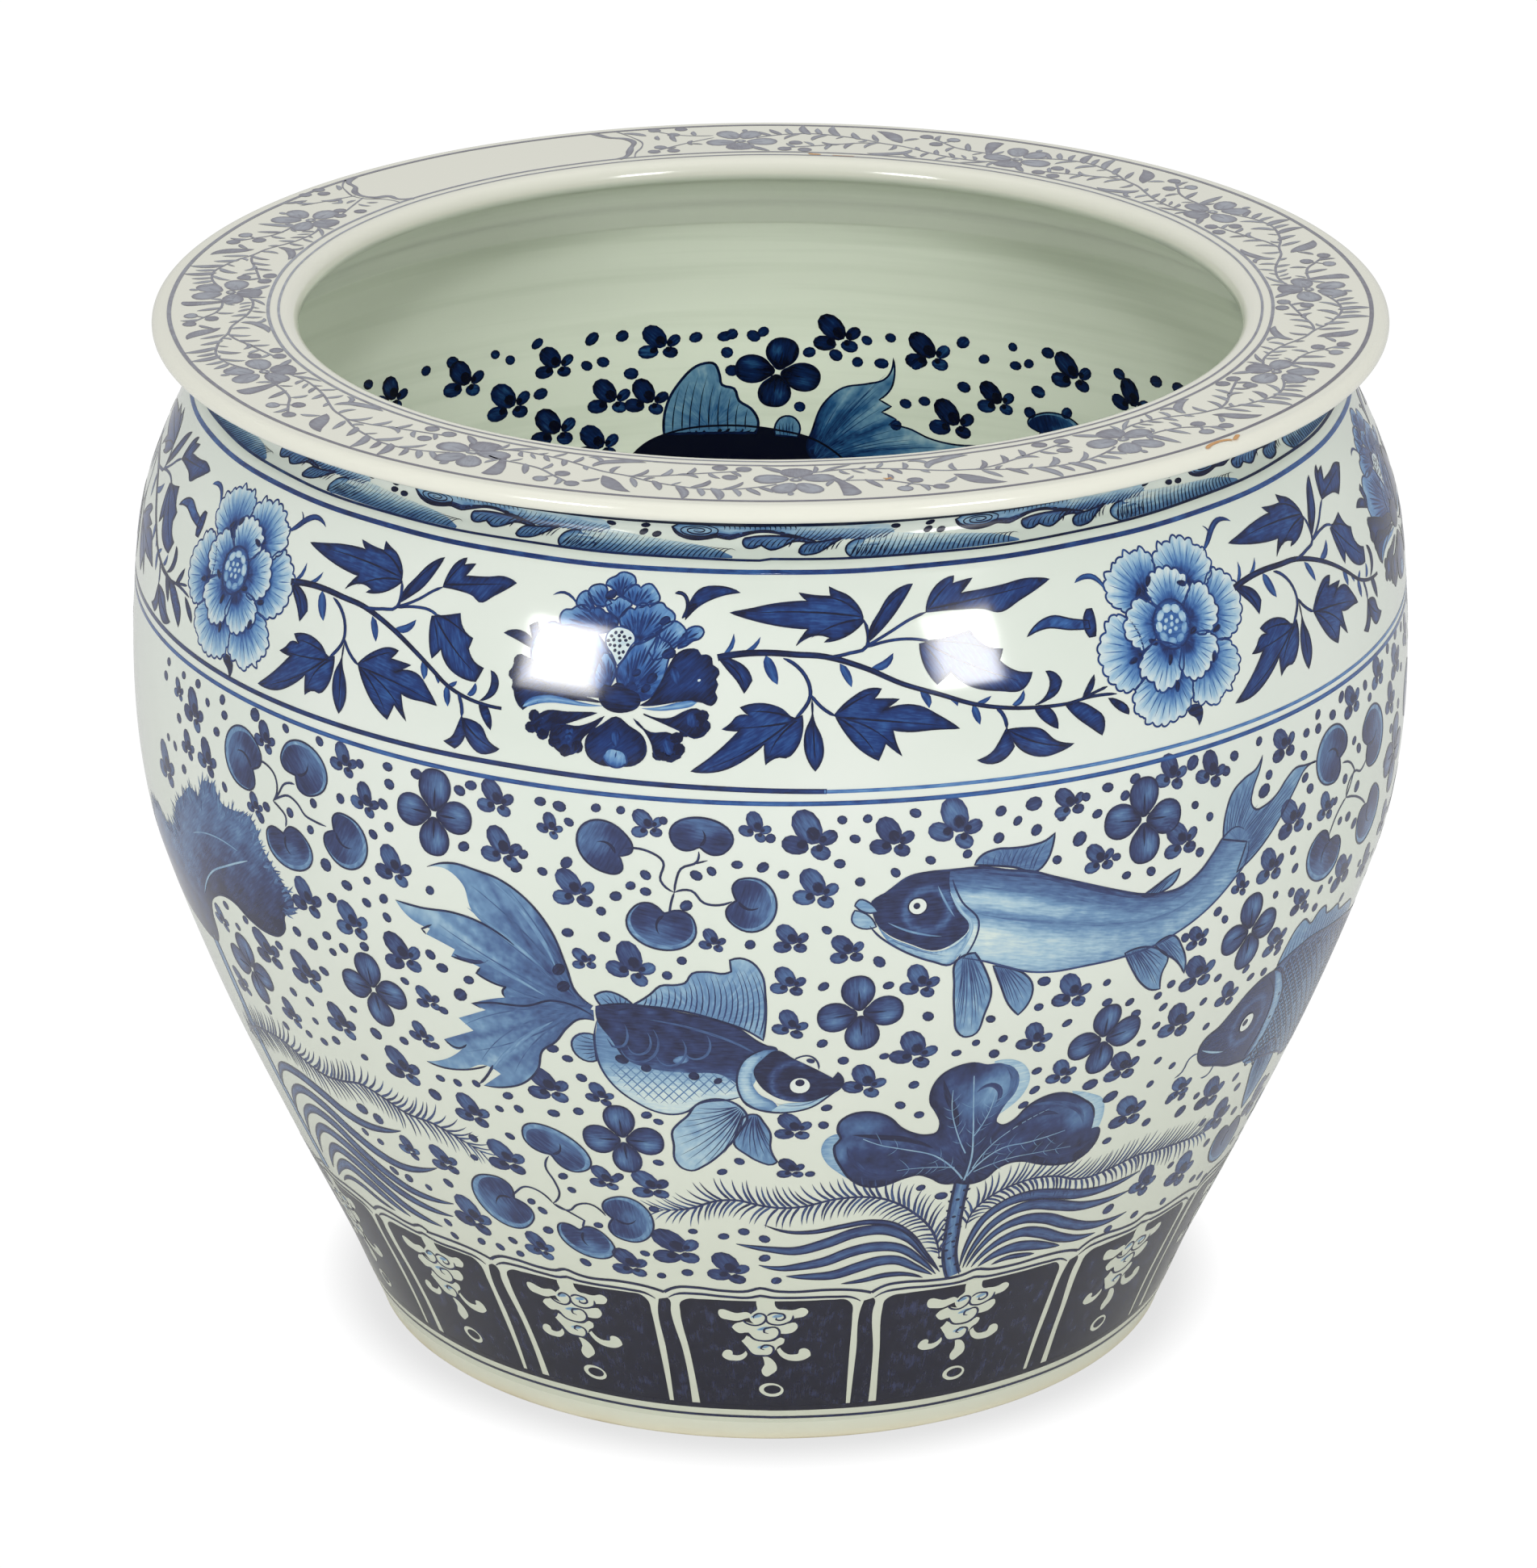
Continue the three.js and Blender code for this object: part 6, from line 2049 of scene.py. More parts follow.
def wave_unit(p, at):
    """One rolling wave, with the small rolls and combed water under it."""

    def moved(points):
        return [(at + u * WAVE_SCALE, z if z < 422 else 422 + (z - 422) * 0.84) for u, z in points]

    under = xy(-42.6,429.4, -45.6,427.4, -44,424.9, -40.4,423.1, -34.9,422.3, -29.1,422.9, -24.8,423.7,
               -22.2,423.3, -19,422.9, -15.4,423.8, -11.7,424.9, -8.1,425.9, -3.8,426.4, 1.3,426.1,
               5.7,425.2, 9.3,424.1, 13,423.5, 17.2,422.6)
    crest = under + xy(22,421.9, 30,421.9, 38,422.2, 45,421.6, 52,421.6, 58,423.5, 57,426.5, 48,429, 35,430,
                       15,430, -15,430, -35,430)

    def shade(u, z, gap):
        along = (u - at) / WAVE_SCALE
        left = np.clip((16 - along) / 10, 0, 1)
        lobe = np.exp(-(((along + 25) / 9) ** 2)) + 0.7 * np.exp(-(((along + 40) / 5) ** 2))
        roll = 0.28 + (0.08 + 0.24 * lobe) * np.clip((425.0 - z) / 2.2, 0, 1) + 0.42 * np.exp(-gap / 0.7)
        water = 0.12 + 0.4 * np.clip((426.8 - z) / 4, 0, 1) * np.clip(1.2 - (along - 14) / 55, 0.2, 1)
        return left * roll + (1 - left) * water

    p.fill(moved(crest), shade, WASH, 1.3)
    p.stroke(moved(under), 1.5, thick_line, 0.98, BODY, 0.04, 2.0)
    p.stroke(moved(xy(-30,423.7, -24,424.5, -19,423.7, -14,424.8, -8,426.8)), 1.7, blade, 0.8, BODY, 0.0)
    turns = []
    for i in range(48):
        a = i * 0.42 + 1.0
        share = i / 47
        turns.append((-33.8 + (0.7 + 9.8 * share) * math.cos(a), 426.1 + (0.25 + 3.0 * share) * math.sin(a)))
    p.stroke(moved(turns), 0.55, thick_line, 1.0, LINE, 0.0, 1.2)
    for i in range(15):
        u = -22 + i * 2.35
        p.stroke(moved([(u, 429.6), (u + 0.9, 428.3), (u + 0.6, 426.9)]), 0.7, tail_off, 0.98, LINE, 0.0, 1.3)
    for i in range(19):
        u = 12 + i * 2.5
        top = 428.9 - 0.07 * (u - 12)
        p.stroke(moved([(u - 5.0, 421.9), (u - 1.2, 423.9), (u + 2.2, top)]), 0.6, tail_off, 0.98 - 0.012 * i,
                 OVER, 0.0, 1.0)
    rolls = [
        (xy(-12.8,421.3, -12.5,422.4, -9.6,423.4, -5.2,424, -0.9,424.2, 4.2,424.1, 9.3,423.8, 13.6,423.3,
            18,422.4, 21.6,421.5, 17.2,421.4, 13.6,421.8, 10,421.6, 7.1,420.6, 4.2,419.7, 0.2,419.1,
            -2.3,419.7, -4.1,420.5, -6.7,419.8, -9.6,419.5, -12.1,420.2), 0.66),
        (xy(12.9,418.4, 13.3,419.3, 14.7,420.4, 17.2,421.2, 20.9,421.4, 24.5,421.6, 30.3,422.4, 33.9,422.7,
            29.6,421.1, 25.9,419.6, 22.3,418.4, 17.2,417.8, 14,417.9), 0.62),
        (xy(34.3,418.5, 35,419.8, 37.2,421.1, 40.4,422, 44,421.7, 49.1,420.6, 52.8,418.7, 45.5,417.4,
            37.5,416.9, 35,417.6), 0.5),
    ]
    for number, (loop, tone) in enumerate(rolls):
        p.fill(moved(loop), lambda u, z, gap, tone=tone: tone - 0.2 + 0.34 * np.exp(-gap / 0.7),
               WASH + 0.01, 1.2)
        edge = moved(loop) if number < 2 else moved(xy(44,421.9, 40.4,422, 37.2,421.1, 35,419.8, 34.3,418.5,
            35,417.6, 37.5,416.9))
        outline_of(p, edge, 0.75, 0.98, BODY + 0.01, number < 2)
        first = loop[0][0] + 3
        for i in range(8):
            u = first + i * (2.7 if number == 0 else 2.1)
            low = (419.9, 418.2, 417.4)[number] + (0.12 * i if number == 1 else 0.0)
            p.stroke(moved([(u - 0.8, low), (u + 1.6, low + 2.1), (u + 3.4, low + 3.0)]),
                     0.65, tail_off, 0.98,
                     LINE, 0.0, 1.3)
    low_wash = xy(37.5,416.9, 40,419, 44,421.6, 50,423.4, 58,423.8, 66,423, 76,422, 86,421.3, 98,420.4,
                  108,419.2, 116,417.4, 116,416.9)
    p.fill(moved(low_wash), lambda u, z, gap: 0.06 + 0.5 * np.clip((421.2 - z) / 4.4, 0, 1), WASH + 0.02, 1.3)
    for i in range(31):
        u = 40 + i * 2.5
        top = 425.2 - 0.085 * (u - 40)
        p.stroke(moved([(u - 4.6, 416.9), (u - 1.0, 419.2), (u + 2.4, top)]),
                 0.65, tail_off, 0.95, OVER, 0.0, 1.0)
    for u, z in xy(58.5,426.3, 75,426.6, 74,423.8, 80.2,423.2):
        p.blob(at + u * WAVE_SCALE, z, 2.0, 1.2, random.uniform(-10, 30), 1.0, 0.97, 0, LINE, 10)


for i in range(WAVES):
    wave_unit(waves, i * TAU * BELLY / WAVES)
add_band(waves, 427.8, 430.6, 1.0, DARK)
add_band(waves, 416.3, 416.9, 0.8, LINE)
waves.finish()


# The foot band: dark panels with a pale pendant in each, under a bracket line

panels = Paint("foot_panels", Outside, DARK_BLUE, "cobalt_line")
pendants = Paint("panel_pendants", Outside, RESERVE_LOW, "porcelain_glaze")
marks = Paint("panel_lines", Outside, BLUE, "cobalt_line")


def sag(u, z):
    """The painter's lines run a little downhill to the right."""
    return z - 2.4 * math.sin(u / BELLY + 0.15) * (1 - min(z, 90) / 90)


def one_panel(left, right, pendant_at):
    half = (right - left) / 2
    mid = (right + left) / 2

    def place(points, stretch=True):
        made = []
        for u, z in points:
            u = mid + (u + 1.5) * half / 55.5 if stretch else pendant_at + u + 4.5
            made.append((u, sag(u, z)))
        return made

    def edged(points):
        """Points whose distance from the panel's own side is kept."""
        made = []
        for u, z in points:
            u = left + (u + 57) if u < -1.5 else right + (u - 54)
            made.append((u, sag(u, z)))
        return made

    body = edged(xy(-44,18, -47,50, -49.5,74, -49,79, -45,81.6, -38,82, -20,82, 20,82, 34,82, 41,81.4,
                    44.4,78, 45,72, 46,50, 47.5,18))
    panels.fill(body, lambda u, z, gap: 0.7 + 0.2 * np.exp(-gap / 2.5), WASH, 4.2, 90, None, 60)
    bar = edged(xy(50,18, 50,50, 49.4,76, 50.5,80.2))
    bar_edge = xy(-54.5,80.2, -54.8,74, -51,50, -49.2,18)
    next_bar = [(right + 1.5, 81.4)] + [(right + (u + 57), sag(right, z)) for u, z in bar_edge]
    panels.fill(bar + next_bar, lambda u, z, gap: 0.62 + 0.25 * np.exp(-gap / 2), WASH, 4.2, 90, None, 60)
    upper = edged(xy(-57,84.6, -50,88, -40,88.7, -25,87.6)) + place(xy(-12,87.8, -5.5,89.6, 2,88))
    upper += edged(xy(10,87.4, 30,87.9, 40,87.4, 48,86.2, 54,84.6))
    marks.stroke(upper, 1.6, even, 0.98, LINE, 0.03, 3.0, False, 50)
    lower = edged(xy(-55,81.6, -51,83.8, -40,85, -25,84.3)) + place(xy(-10,84.2, -5.5,85.2, 0,84.3))
    lower += edged(xy(12,83.9, 35,83.6, 43,82.9, 48.6,80.2))
    marks.stroke(lower, 1.5, thick_line, 0.98, LINE, 0.03, 3.0, False, 50)

    def white(points):
        pendants.fill(place(points, False), 0.0, LINE, 3.0)

    white(xy(-10,84, -10,79.5, -9.6,77.4, -12,75.4, -14,73, -12,69, -5,67.5, 4,68.5, 9,71, 10.5,74.5, 6,77,
             1.5,77.6, 0,79.4, 0.4,84))
    white(xy(-31,74, -30.6,76.2, -28,76.8, -25.4,76, -22,74.9, -14,75, -12,72.6, -17,71.4, -19,70.6,
             -26,70.8, -30,72))
    white(xy(6,77, 11,77, 14,78, 16.4,77.6, 18,75.8, 16.6,73.4, 12,72.2, 8.6,72))
    white(xy(-24,66.4, -22,68.6, -19.4,69.4, -17,70, -13,69, -5,68, 3,68, 8,69, 11,69.4, 12.6,67, 10.6,64,
             6,62.8, 2,62.6, 0,60, -6,58.6, -12,60.4, -15,63.4, -20,63))
    white(xy(-19,58.4, -17,60, -16,61.6, -14.6,61, -12,59.4, -6,58, 0,58.8, 3,60.6, 5.4,59.6, 5,57.4,
             1.6,55.2, 0.2,53, -3,50.4, -8,50, -13,51, -15.6,54.4, -17,56))
    white(xy(-16,51, -16.8,52.4, -19,50.4, -22,49.6, -24.6,50, -24.6,51.8, -26.6,52.8, -29.6,51.6, -30.6,49,
             -28.6,47.2, -24,46.4, -19,47.2))
    white(xy(1,53.4, 3,54.6, 4.4,52.6, 7.6,50.6, 11,50.4, 13.6,51, 14,53, 17,54, 20,52.4, 20.8,49.4,
             17.6,47.4, 11,46.6, 6,47.8, 2.6,50.4))
    white(xy(-7,49, -4,49, -1,47, 1,44, 1,41, -1.6,39, -5,37.4, -7.6,39.6, -7.8,41.4, -6,44.4, -6.4,47))
    white(oval(-2, 29.6, 7.5, 3.9, -4, 20))
    inner = oval(-1.4, 29.8, 5.2, 2.5, 0, 16)
    panels.fill(place(inner, False), 0.75, DARK, 2.0)

    def dark(points):
        marks.stroke(place(points, False), 1.0, thick_line, 0.97, OVER, 0.02, 1.6)

    dark(xy(-18,71, -16.6,69.6, -13,68, -8,68.4, -5.4,70.6, -5,73, -7.4,74.8, -10,74.6, -12,73, -11.6,72))
    dark(xy(-5,73, -4.4,70, 0,68.2, 6,69, 9.6,71.4, 9.8,73.8))
    dark(xy(-4.4,73.4, -2,75, 2,75, 5,74, 5.4,72.2, 3,70.9, 0.6,71.3, 0.6,72.6))
    dark(xy(-15,63.6, -13.4,60.8, -6,58.6, -0.6,59.6, 2,61.6, 2.6,64, 1,66.4, -3,66.6, -6,65.4, -6,63.6,
            -3.6,63))
    dark(xy(-15.8,54.4, -13.6,51, -7,49.8, -2.4,50.4, -0.8,52.4, -1,54.8, -3.4,56, -7,55.6, -8,54, -6,53.2))
    for u, z, wide in ((-10, 73.2, 2.6), (1.5, 73.4, 2.6), (-6, 66, 3.4), (-6.4, 55.2, 3)):
        pu, pz = place([(u, z)], False)[0]
        marks.blob(pu, pz, wide, 1.1, 15, 0.12, 0.34, 0, DARK, 10)


EDGES = [-250, -159, -57, 54, 178, 283]
BACK_PANELS = 11
BACK_STEP = (TAU * BELLY - (EDGES[-1] - EDGES[0])) / BACK_PANELS
EDGES += [EDGES[-1] + BACK_STEP * (i + 1) for i in range(BACK_PANELS)]
for number, (left, right) in enumerate(zip(EDGES, EDGES[1:])):
    shift = {1: -4.5, 3: -2.0}.get(number, random.uniform(-2, 2) if number > 4 else 0.0)
    one_panel(left, right, (left + right) / 2 + shift - 0.5)


def sagging_band(paint, low, high, tone, lift=LINE):
    count = 400
    sheet = []
    for i in range(count):
        u = TAU * BELLY * i / count
        wobble = 0.15 * math.sin(i * 0.21)
        sheet += [(u, sag(u, low) + wobble), (u, sag(u, high) + wobble)]
    faces = [(2 * i, 2 * ((i + 1) % count), 2 * ((i + 1) % count) + 1, 2 * i + 1) for i in range(count)]
    paint.lay(sheet, faces, [tone] * len(sheet), [(p[1], p[0]) for p in sheet], lift)


sagging_band(panels, 17.4, 20.2, 0.82, WASH + 0.02)
sagging_band(marks, 12.8, 14.2, 0.97)
panels.finish()
pendants.finish()
marks.finish()


# The rim: a grey-blue scroll between fine lines, and a plain cartouche at the back. The scroll is drawn on a
# strip: x counts steps of 0.125 mm along it from a flower, y counts steps of 0.164 mm in from the outer line.

rim = Paint("rim_scroll", RimTop, RIM_BLUE, "rim_blue")
add_band(rim, 249.1, 250.9, 0.7)
add_band(rim, 208.5, 209.9, 0.56)
add_band(rim, 204.1, 205.2, 0.52)

ALONG = 0.125
INWARD = 0.164
BACK_INWARD = 0.148
BACK_TOP = 142
BACK_DEGREE = 32
OUTER_LINE = 250.0
DEGREE = math.radians(RimTop.ROUND)
UNIT_DEGREES = 35.4


def strip(points, start, share=1.0):
    return [(start * DEGREE + x * ALONG * share, OUTER_LINE - y * INWARD) for x, y in points]


def back_strip(points):
    """The part beside the cartouche, drawn from 180 degrees on, with its steps a little shorter inward."""
    return [((180 + x / BACK_DEGREE) * DEGREE, OUTER_LINE - (y - BACK_TOP) * BACK_INWARD) for x, y in points]


def rim_leaf(p, points, width):
    p.stroke(points, width, leaf_shape, 0.54 + random.uniform(-0.06, 0.06), LINE, 0.12, 2.0)


def rim_berry(p, u, r, light=False, size=3.2):
    p.blob(u, r, size * 1.02, size * 0.92, 20, 0.72, 0.38 if light else 0.58, 0.1, LINE, 12)


RIM_PETALS = [
    (-36, -60, 6.6, 4.8, 120, 0.34), (36, -62, 6.8, 4.8, 62, 0.34), (-78, 3, 7.0, 5.2, 178, 0.32),
    (72, 6, 6.8, 4.6, -4, 0.38), (5, 44, 5.5, 6.6, 270, 0.5),
]


def rim_flower(p, at):
    """Five petals about a bare eye, paler in the middle than at their edges."""
    centre = strip([(0, 151)], at)[0]
    for x, y, long, wide, turn, tone in RIM_PETALS:
        turn = turn + random.uniform(-7, 7)
        u, r = centre[0] + x * ALONG, centre[1] - y * INWARD
        p.blob(u, r, long, wide, turn, 0.7, tone + 0.06, 0.18, BODY, 14)
        c, s = math.cos(math.radians(turn)), math.sin(math.radians(turn))
        base = (u - c * long * 0.9, r - s * long * 0.9)
        p.stroke([base, (u + c * long * 0.1, r + s * long * 0.1)], 2.6, tail_off, 0.52, LINE, 0.0, 2.0)
    p.blob(centre[0] - 2.6, centre[1] + 16.5, 2.0, 1.3, 100, 0.6, 0.5, 0.1, LINE, 8)
    p.blob(centre[0], centre[1] + 0.6, 2.6, 2.2, 0, 0.62, 0.58, 0.0, DARK, 9)
    p.blob(centre[0], centre[1] + 0.6, 0.95, 0.8, 0, 0.0, 0.0, 0.0, OVER, 8)


SCROLL_STEMS = [
    xy(70,146, 116,136, 206,131, 286,116, 346,86, 421,48), [(346, 86), (322, 66)], [(346, 86), (364, 102)],
    xy(46,191, 136,209, 256,206, 346,191, 416,171, 486,151, 576,136, 656,111, 746,91, 846,76, 936,81,
       1016,99, 1070,118),
    xy(576,136, 656,146, 716,161, 776,176, 876,196, 966,211),
]
# Each leaf: the points from its base to its tip, and its width in mm
SCROLL_LEAVES = [
    (xy(216,136, 240,100, 256,69), 4.2), (xy(156,138, 176,152, 186,166), 2.0),
    (xy(446,71, 470,80, 496,104), 3.6), (xy(591,126, 612,95, 628,61), 3.8),
    (xy(666,116, 690,90, 706,53), 4.6), (xy(748,91, 782,52, 786,3), 5.8), (xy(862,85, 892,47, 896,3), 6.0),
    (xy(971,88, 1000,65, 1019,39), 4.4), (xy(590,136, 622,160, 628,191), 3.4),
    (xy(680,148, 704,175, 706,206), 3.8), (xy(796,86, 836,105, 851,139), 4.8),
    (xy(900,80, 945,105, 961,133), 3.4), (xy(731,94, 748,106, 761,119), 2.0),
    (xy(731,163, 765,172, 811,150), 3.6), (xy(186,207, 206,190, 226,176), 2.4),
    (xy(316,200, 334,175, 341,154), 3.8), (xy(406,175, 420,160, 431,146), 3.0),
    (xy(84,196, 140,226, 194,241), 3.0), (xy(271,206, 290,225, 304,245), 2.8),
    (xy(206,208, 225,215, 241,228), 2.0), (xy(452,205, 430,233, 388,236), 3.4),
    (xy(436,176, 450,205, 500,226, 560,237, 605,236), 6.0), (xy(1094,196, 1056,222, 1019,240), 4.8),
    (xy(120,137, 100,118, 92,96), 3.2), (xy(286,118, 300,140, 296,164), 3.4),
    (xy(370,76, 384,52, 380,26), 3.6), (xy(520,146, 512,170, 528,196), 3.4),
    (xy(640,112, 652,132, 670,136), 2.8), (xy(820,80, 838,52, 842,26), 4.2),
    (xy(930,82, 950,58, 954,30), 3.8), (xy(1010,98, 1036,84, 1058,60), 4.0),
    (xy(840,190, 858,166, 884,152), 3.2), (xy(766,174, 782,196, 784,222), 3.4),
    (xy(910,204, 932,190, 952,168), 3.0), (xy(150,208, 160,186, 178,176), 3.0),
    (xy(356,188, 372,210, 370,234), 3.4), (xy(240,208, 262,186, 282,172), 3.2),
    (xy(60,196, 72,220, 70,242), 3.0),
]
BLUNT_LEAF = xy(131,31, 158,28, 181,36, 179,81, 156,121, 126,161, 116,150, 126,120, 130,80)
BOW_LEAF = xy(496,123, 505,88, 522,58, 552,38, 590,28, 623,28, 600,48, 565,88, 532,112)


def rim_unit(p, at, following, mirrored=False):
    """One length of scroll, from one flower to the next."""
    share = (following - at) / UNIT_DEGREES
    for stem in SCROLL_STEMS:
        p.stroke(strip(stem, at, share), 1.1, even, 0.6, BODY, 0.04, 2.0)
    for leaf, width in SCROLL_LEAVES:
        rim_leaf(p, strip(leaf, at, share), width * (0.78 + 0.32 * share))
    if mirrored:
        rim_leaf(p, strip(xy(118,140, 134,90, 152,40), at, share), 5.6)
    else:
        p.fill(strip(BLUNT_LEAF, at, share), lambda u, z, gap: 0.56 + 0.14 * np.exp(-gap / 0.8), BODY, 2.4)
    p.fill(strip(BOW_LEAF, at, share), lambda u, z, gap: 0.58 + 0.12 * np.exp(-gap / 0.8), BODY, 2.4)
    for number, (x, y) in enumerate(xy(319,54, 366,106, 426,48, 914,163, 871,226, 956,221)):
        u, r = strip([(x, y)], at, share)[0]
        rim_berry(p, u, r, number == 0)


RIM_FLOWERS = [-31.2, 2.5, 37.9, 65, 93, 122, 151, 183.4, 241.5, 268, 295, 329]
for number, at in enumerate(RIM_FLOWERS):
    rim_flower(rim, at)
    if number + 1 < len(RIM_FLOWERS) and number != 7:
        rim_unit(rim, at, RIM_FLOWERS[number + 1], number % 3 == 2)

for points in (xy(200,240, 330,216, 390,166), xy(200,262, 300,306, 445,374),
               xy(1650,300, 1760,330, 1870,356), xy(1650,270, 1760,236, 1850,200)):
    rim.stroke(back_strip(points), 0.9, thick_line, 0.58, BODY, 0.04, 2.0)
for points, width in (
    (xy(262,236, 266,212, 262,190), 4.0), (xy(340,214, 346,250, 340,290), 4.2),
    (xy(396,262, 400,240, 392,218), 3.8), (xy(430,212, 452,190, 498,168), 5.2),
    (xy(290,330, 296,306, 280,284), 3.4), (xy(250,330, 270,320, 300,318), 2.4),
    (xy(396,336, 380,350, 352,340), 3.0), (xy(1640,196, 1616,176, 1606,156), 3.8),
    (xy(1790,186, 1826,170, 1860,146), 4.4), (xy(1800,220, 1826,196, 1818,160), 4.0),
    (xy(1700,252, 1740,250, 1766,220), 5.0), (xy(1720,262, 1746,280, 1770,262), 3.6),
    (xy(1690,300, 1716,296, 1742,300), 3.0), (xy(1690,340, 1676,356, 1660,366), 2.8),
    (xy(1720,330, 1724,350, 1712,372), 2.8),
):
    rim_leaf(rim, back_strip(points), width)
for x, y in xy(300,164, 390,162, 335,216, 410,336, 370,378, 445,376, 1680,148, 1746,148, 1700,184, 1820,326,
               1786,380, 1870,356):
    u, r = back_strip([(x, y)])[0]
    rim_berry(rim, u, r, False, 2.9)

CARTOUCHE = [
    (xy(600,142, 585,160, 560,197, 506,226, 490,262, 515,317, 535,357, 560,397, 600,419), 3.2),
    (xy(520,142, 480,217, 462,277, 480,327, 515,372, 535,419), 0.9),
    (xy(1500,142, 1560,167, 1580,212, 1625,247, 1640,282, 1625,327, 1580,352, 1585,387, 1540,419), 3.0),
    (xy(1545,142, 1600,177, 1635,222, 1662,272, 1655,317, 1620,357, 1610,417), 0.9),
]
for points, width in CARTOUCHE:
    rim.stroke(back_strip(points), width, lambda t: 0.8 + 0.2 * math.sin(t * 19), 0.62, LINE, 0.06, 2.0)
rim.finish()

rust = Paint("iron_spots", RimTop, RUST, "iron_stain")
RUST_LINES = [
    (xy(42.1,255.2, 42.7,253.6, 43.7,252.6, 44.7,252.9, 45.3,254.2, 45.4,255.4), 2.0),
    (xy(45.6,255.4, 46.2,254.0, 46.9,252.4), 1.9), (xy(11.1,230.0, 11.5,228.8, 11.9,227.6), 0.8),
    (xy(11.0,227.8, 11.5,228.8, 12.0,229.9), 0.7), (xy(169.5,205.6, 171.0,205.2, 172.4,205.6), 0.6),
]
for points, width in RUST_LINES:
    rust.stroke([(u * DEGREE, r) for u, r in points], width, thick_line, 0.5, OVER, 0.1, 1.0)
for u, r, long, wide in ((174.4, 206.0, 2.6, 1.0), (175.0, 206.8, 1.4, 0.6), (11.5, 228.8, 0.9, 0.8)):
    rust.blob(u * DEGREE, r, long, wide, 0, 0.2, 0.5, 0.2, OVER, 10)
rust.finish()


# The inside of the far wall: a fish under scattered flowers, as deep as the mouth shows it

within_pot = Paint("inside_painting", Inside, DEEP_BLUE, "cobalt_wash")
four_petals(within_pot, 3, 326, 18.0, -8, (1.0, 0.86))
for u, z in xy(-167,337, -131,336, -110,321, -90,305, -90,337, -66,317, -50,315, -45,342, -71,295, 29,345,
               67,339, 96,320, 77,307, 131,339, 160,332):
    sprig(within_pot, u, z, random.uniform(0.95, 1.2), 0.08)
for u, z in xy(-181,346, -151,345, -138,346, -118,346, -111,342, -99,348, -75,347, -62,347, -70,335, -77,334,
               -31,344, -19,344, -16,345, -7,344, -3,346, -18,336, -16,327, 16,336, 40,343, 50,345, 36,332,
               46,332, 27,335, 61,333, 81,346, 90,339, 103,347, 104,338, 110,340, 119,347, 114,327, 81,324,
               153,344, 172,345, 184,345, -58,328, -97,323, 56,313, 64,315, 12,309, 52,302, 127,319,
               110,316):
    within_pot.dot(u, z, random.uniform(2.3, 3.2))
inner_body = xy(-62,280, -52,293, -40,298, -20,300, 0,298, 20,292, 30,284, 20,272, -10,264, -45,268)
within_pot.fill(inner_body, lambda u, z, gap: 1.0 + 0.2 * np.clip((z - 278) / 14, 0, 1), WASH, 3.0)
outline_of(within_pot, inner_body, 1.0, 1.1)
inner_fin = xy(-44,297, -39,320, -27,331, -24,331, -21,325, -20,320, -15,318, -13,312, -8,308, -5,301,
               -6,296)
fin(within_pot, inner_fin, [(-42, 298), (-8, 298)], xy(-39,320, -27,329, -20,320,
    -7,307), 9, 0.46, 0.98, WASH, 0.04, 1.3)
fin(within_pot, xy(2,295, 2,300, 5,304, 9,304, 12,300, 11,294), [(4, 295), (10, 295)],
    [(3, 301), (10, 303)], 5, 0.5, 0.9, BODY)
inner_tail = xy(15,290, 17,297, 22,311, 30,319, 40,321.5, 47,324, 51,335, 51.5,327, 50,320, 45,314, 50,311,
                46,308, 52,305, 49,302, 57,301, 66,297, 86,296, 80,292, 72,288, 40,280, 20,280)


def fan(u, z, gap):
    turned = np.arctan2(z - 284, u - 12)
    reach = np.hypot(z - 284, u - 12) / 66
    bright = 0.09 * np.sin(turned * 17) + 0.07 * np.sin(turned * 41 + 1)
    return 0.8 - 0.62 * np.clip(reach - 0.08, 0, 1) + bright


within_pot.fill(inner_tail, fan, WASH + 0.01, 2.2, 0, (12, 284))
fin(within_pot, inner_tail, [(18, 286), (20, 282)], xy(24,312, 44,322, 50,330, 48,310, 60,297, 80,294),
    22, 0.42, 0.72)
pad(within_pot, 122, 309, 26, 18, 200)
within_pot.finish()


# Camera, floor and light


def aim(obj, place, target):
    obj.location = place
    way = Vector(target) - Vector(place)
    obj.rotation_euler = way.to_track_quat("-Z", "Y").to_euler()


SENSOR = 36
PICTURE_HEIGHT = 1942
FOCUS = 8570.09
PICTURE_SHIFT = -2.5
CAMERA_TILT = 22.1296
CAMERA_PLACE = (0, -2.75, 1.344585)


def make_camera():
    """The photo's view. FOCUS and PICTURE_SHIFT are in steps of which the picture is PICTURE_HEIGHT high."""
    lens = bpy.data.cameras.new("camera")
    lens.sensor_width = SENSOR
    lens.lens = FOCUS / PICTURE_HEIGHT * SENSOR
    lens.shift_x = PICTURE_SHIFT / PICTURE_HEIGHT
    lens.clip_start = 0.1
    lens.clip_end = 50
    camera = bpy.data.objects.new("camera", lens)
    camera.location = CAMERA_PLACE
    camera.rotation_euler = (math.radians(90 - CAMERA_TILT), 0, 0)
    bpy.context.scene.collection.objects.link(camera)
    bpy.context.scene.camera = camera
    return camera


def make_softbox(name, place, target, wide, high, power):
    lamp = bpy.data.lights.new(name, "AREA")
    lamp.shape = "RECTANGLE"
    lamp.size = wide
    lamp.size_y = high
    lamp.energy = power
    lamp.spread = math.pi
    obj = bpy.data.objects.new(name, lamp)
    bpy.context.scene.collection.objects.link(obj)
    aim(obj, place, target)
    return obj


def make_gleam(name, place, target, wide, high, power):
    """A lamp seen only in the shine of the glaze."""
    obj = make_softbox(name, place, target, wide, high, power)
    obj.visible_diffuse = False
    return obj


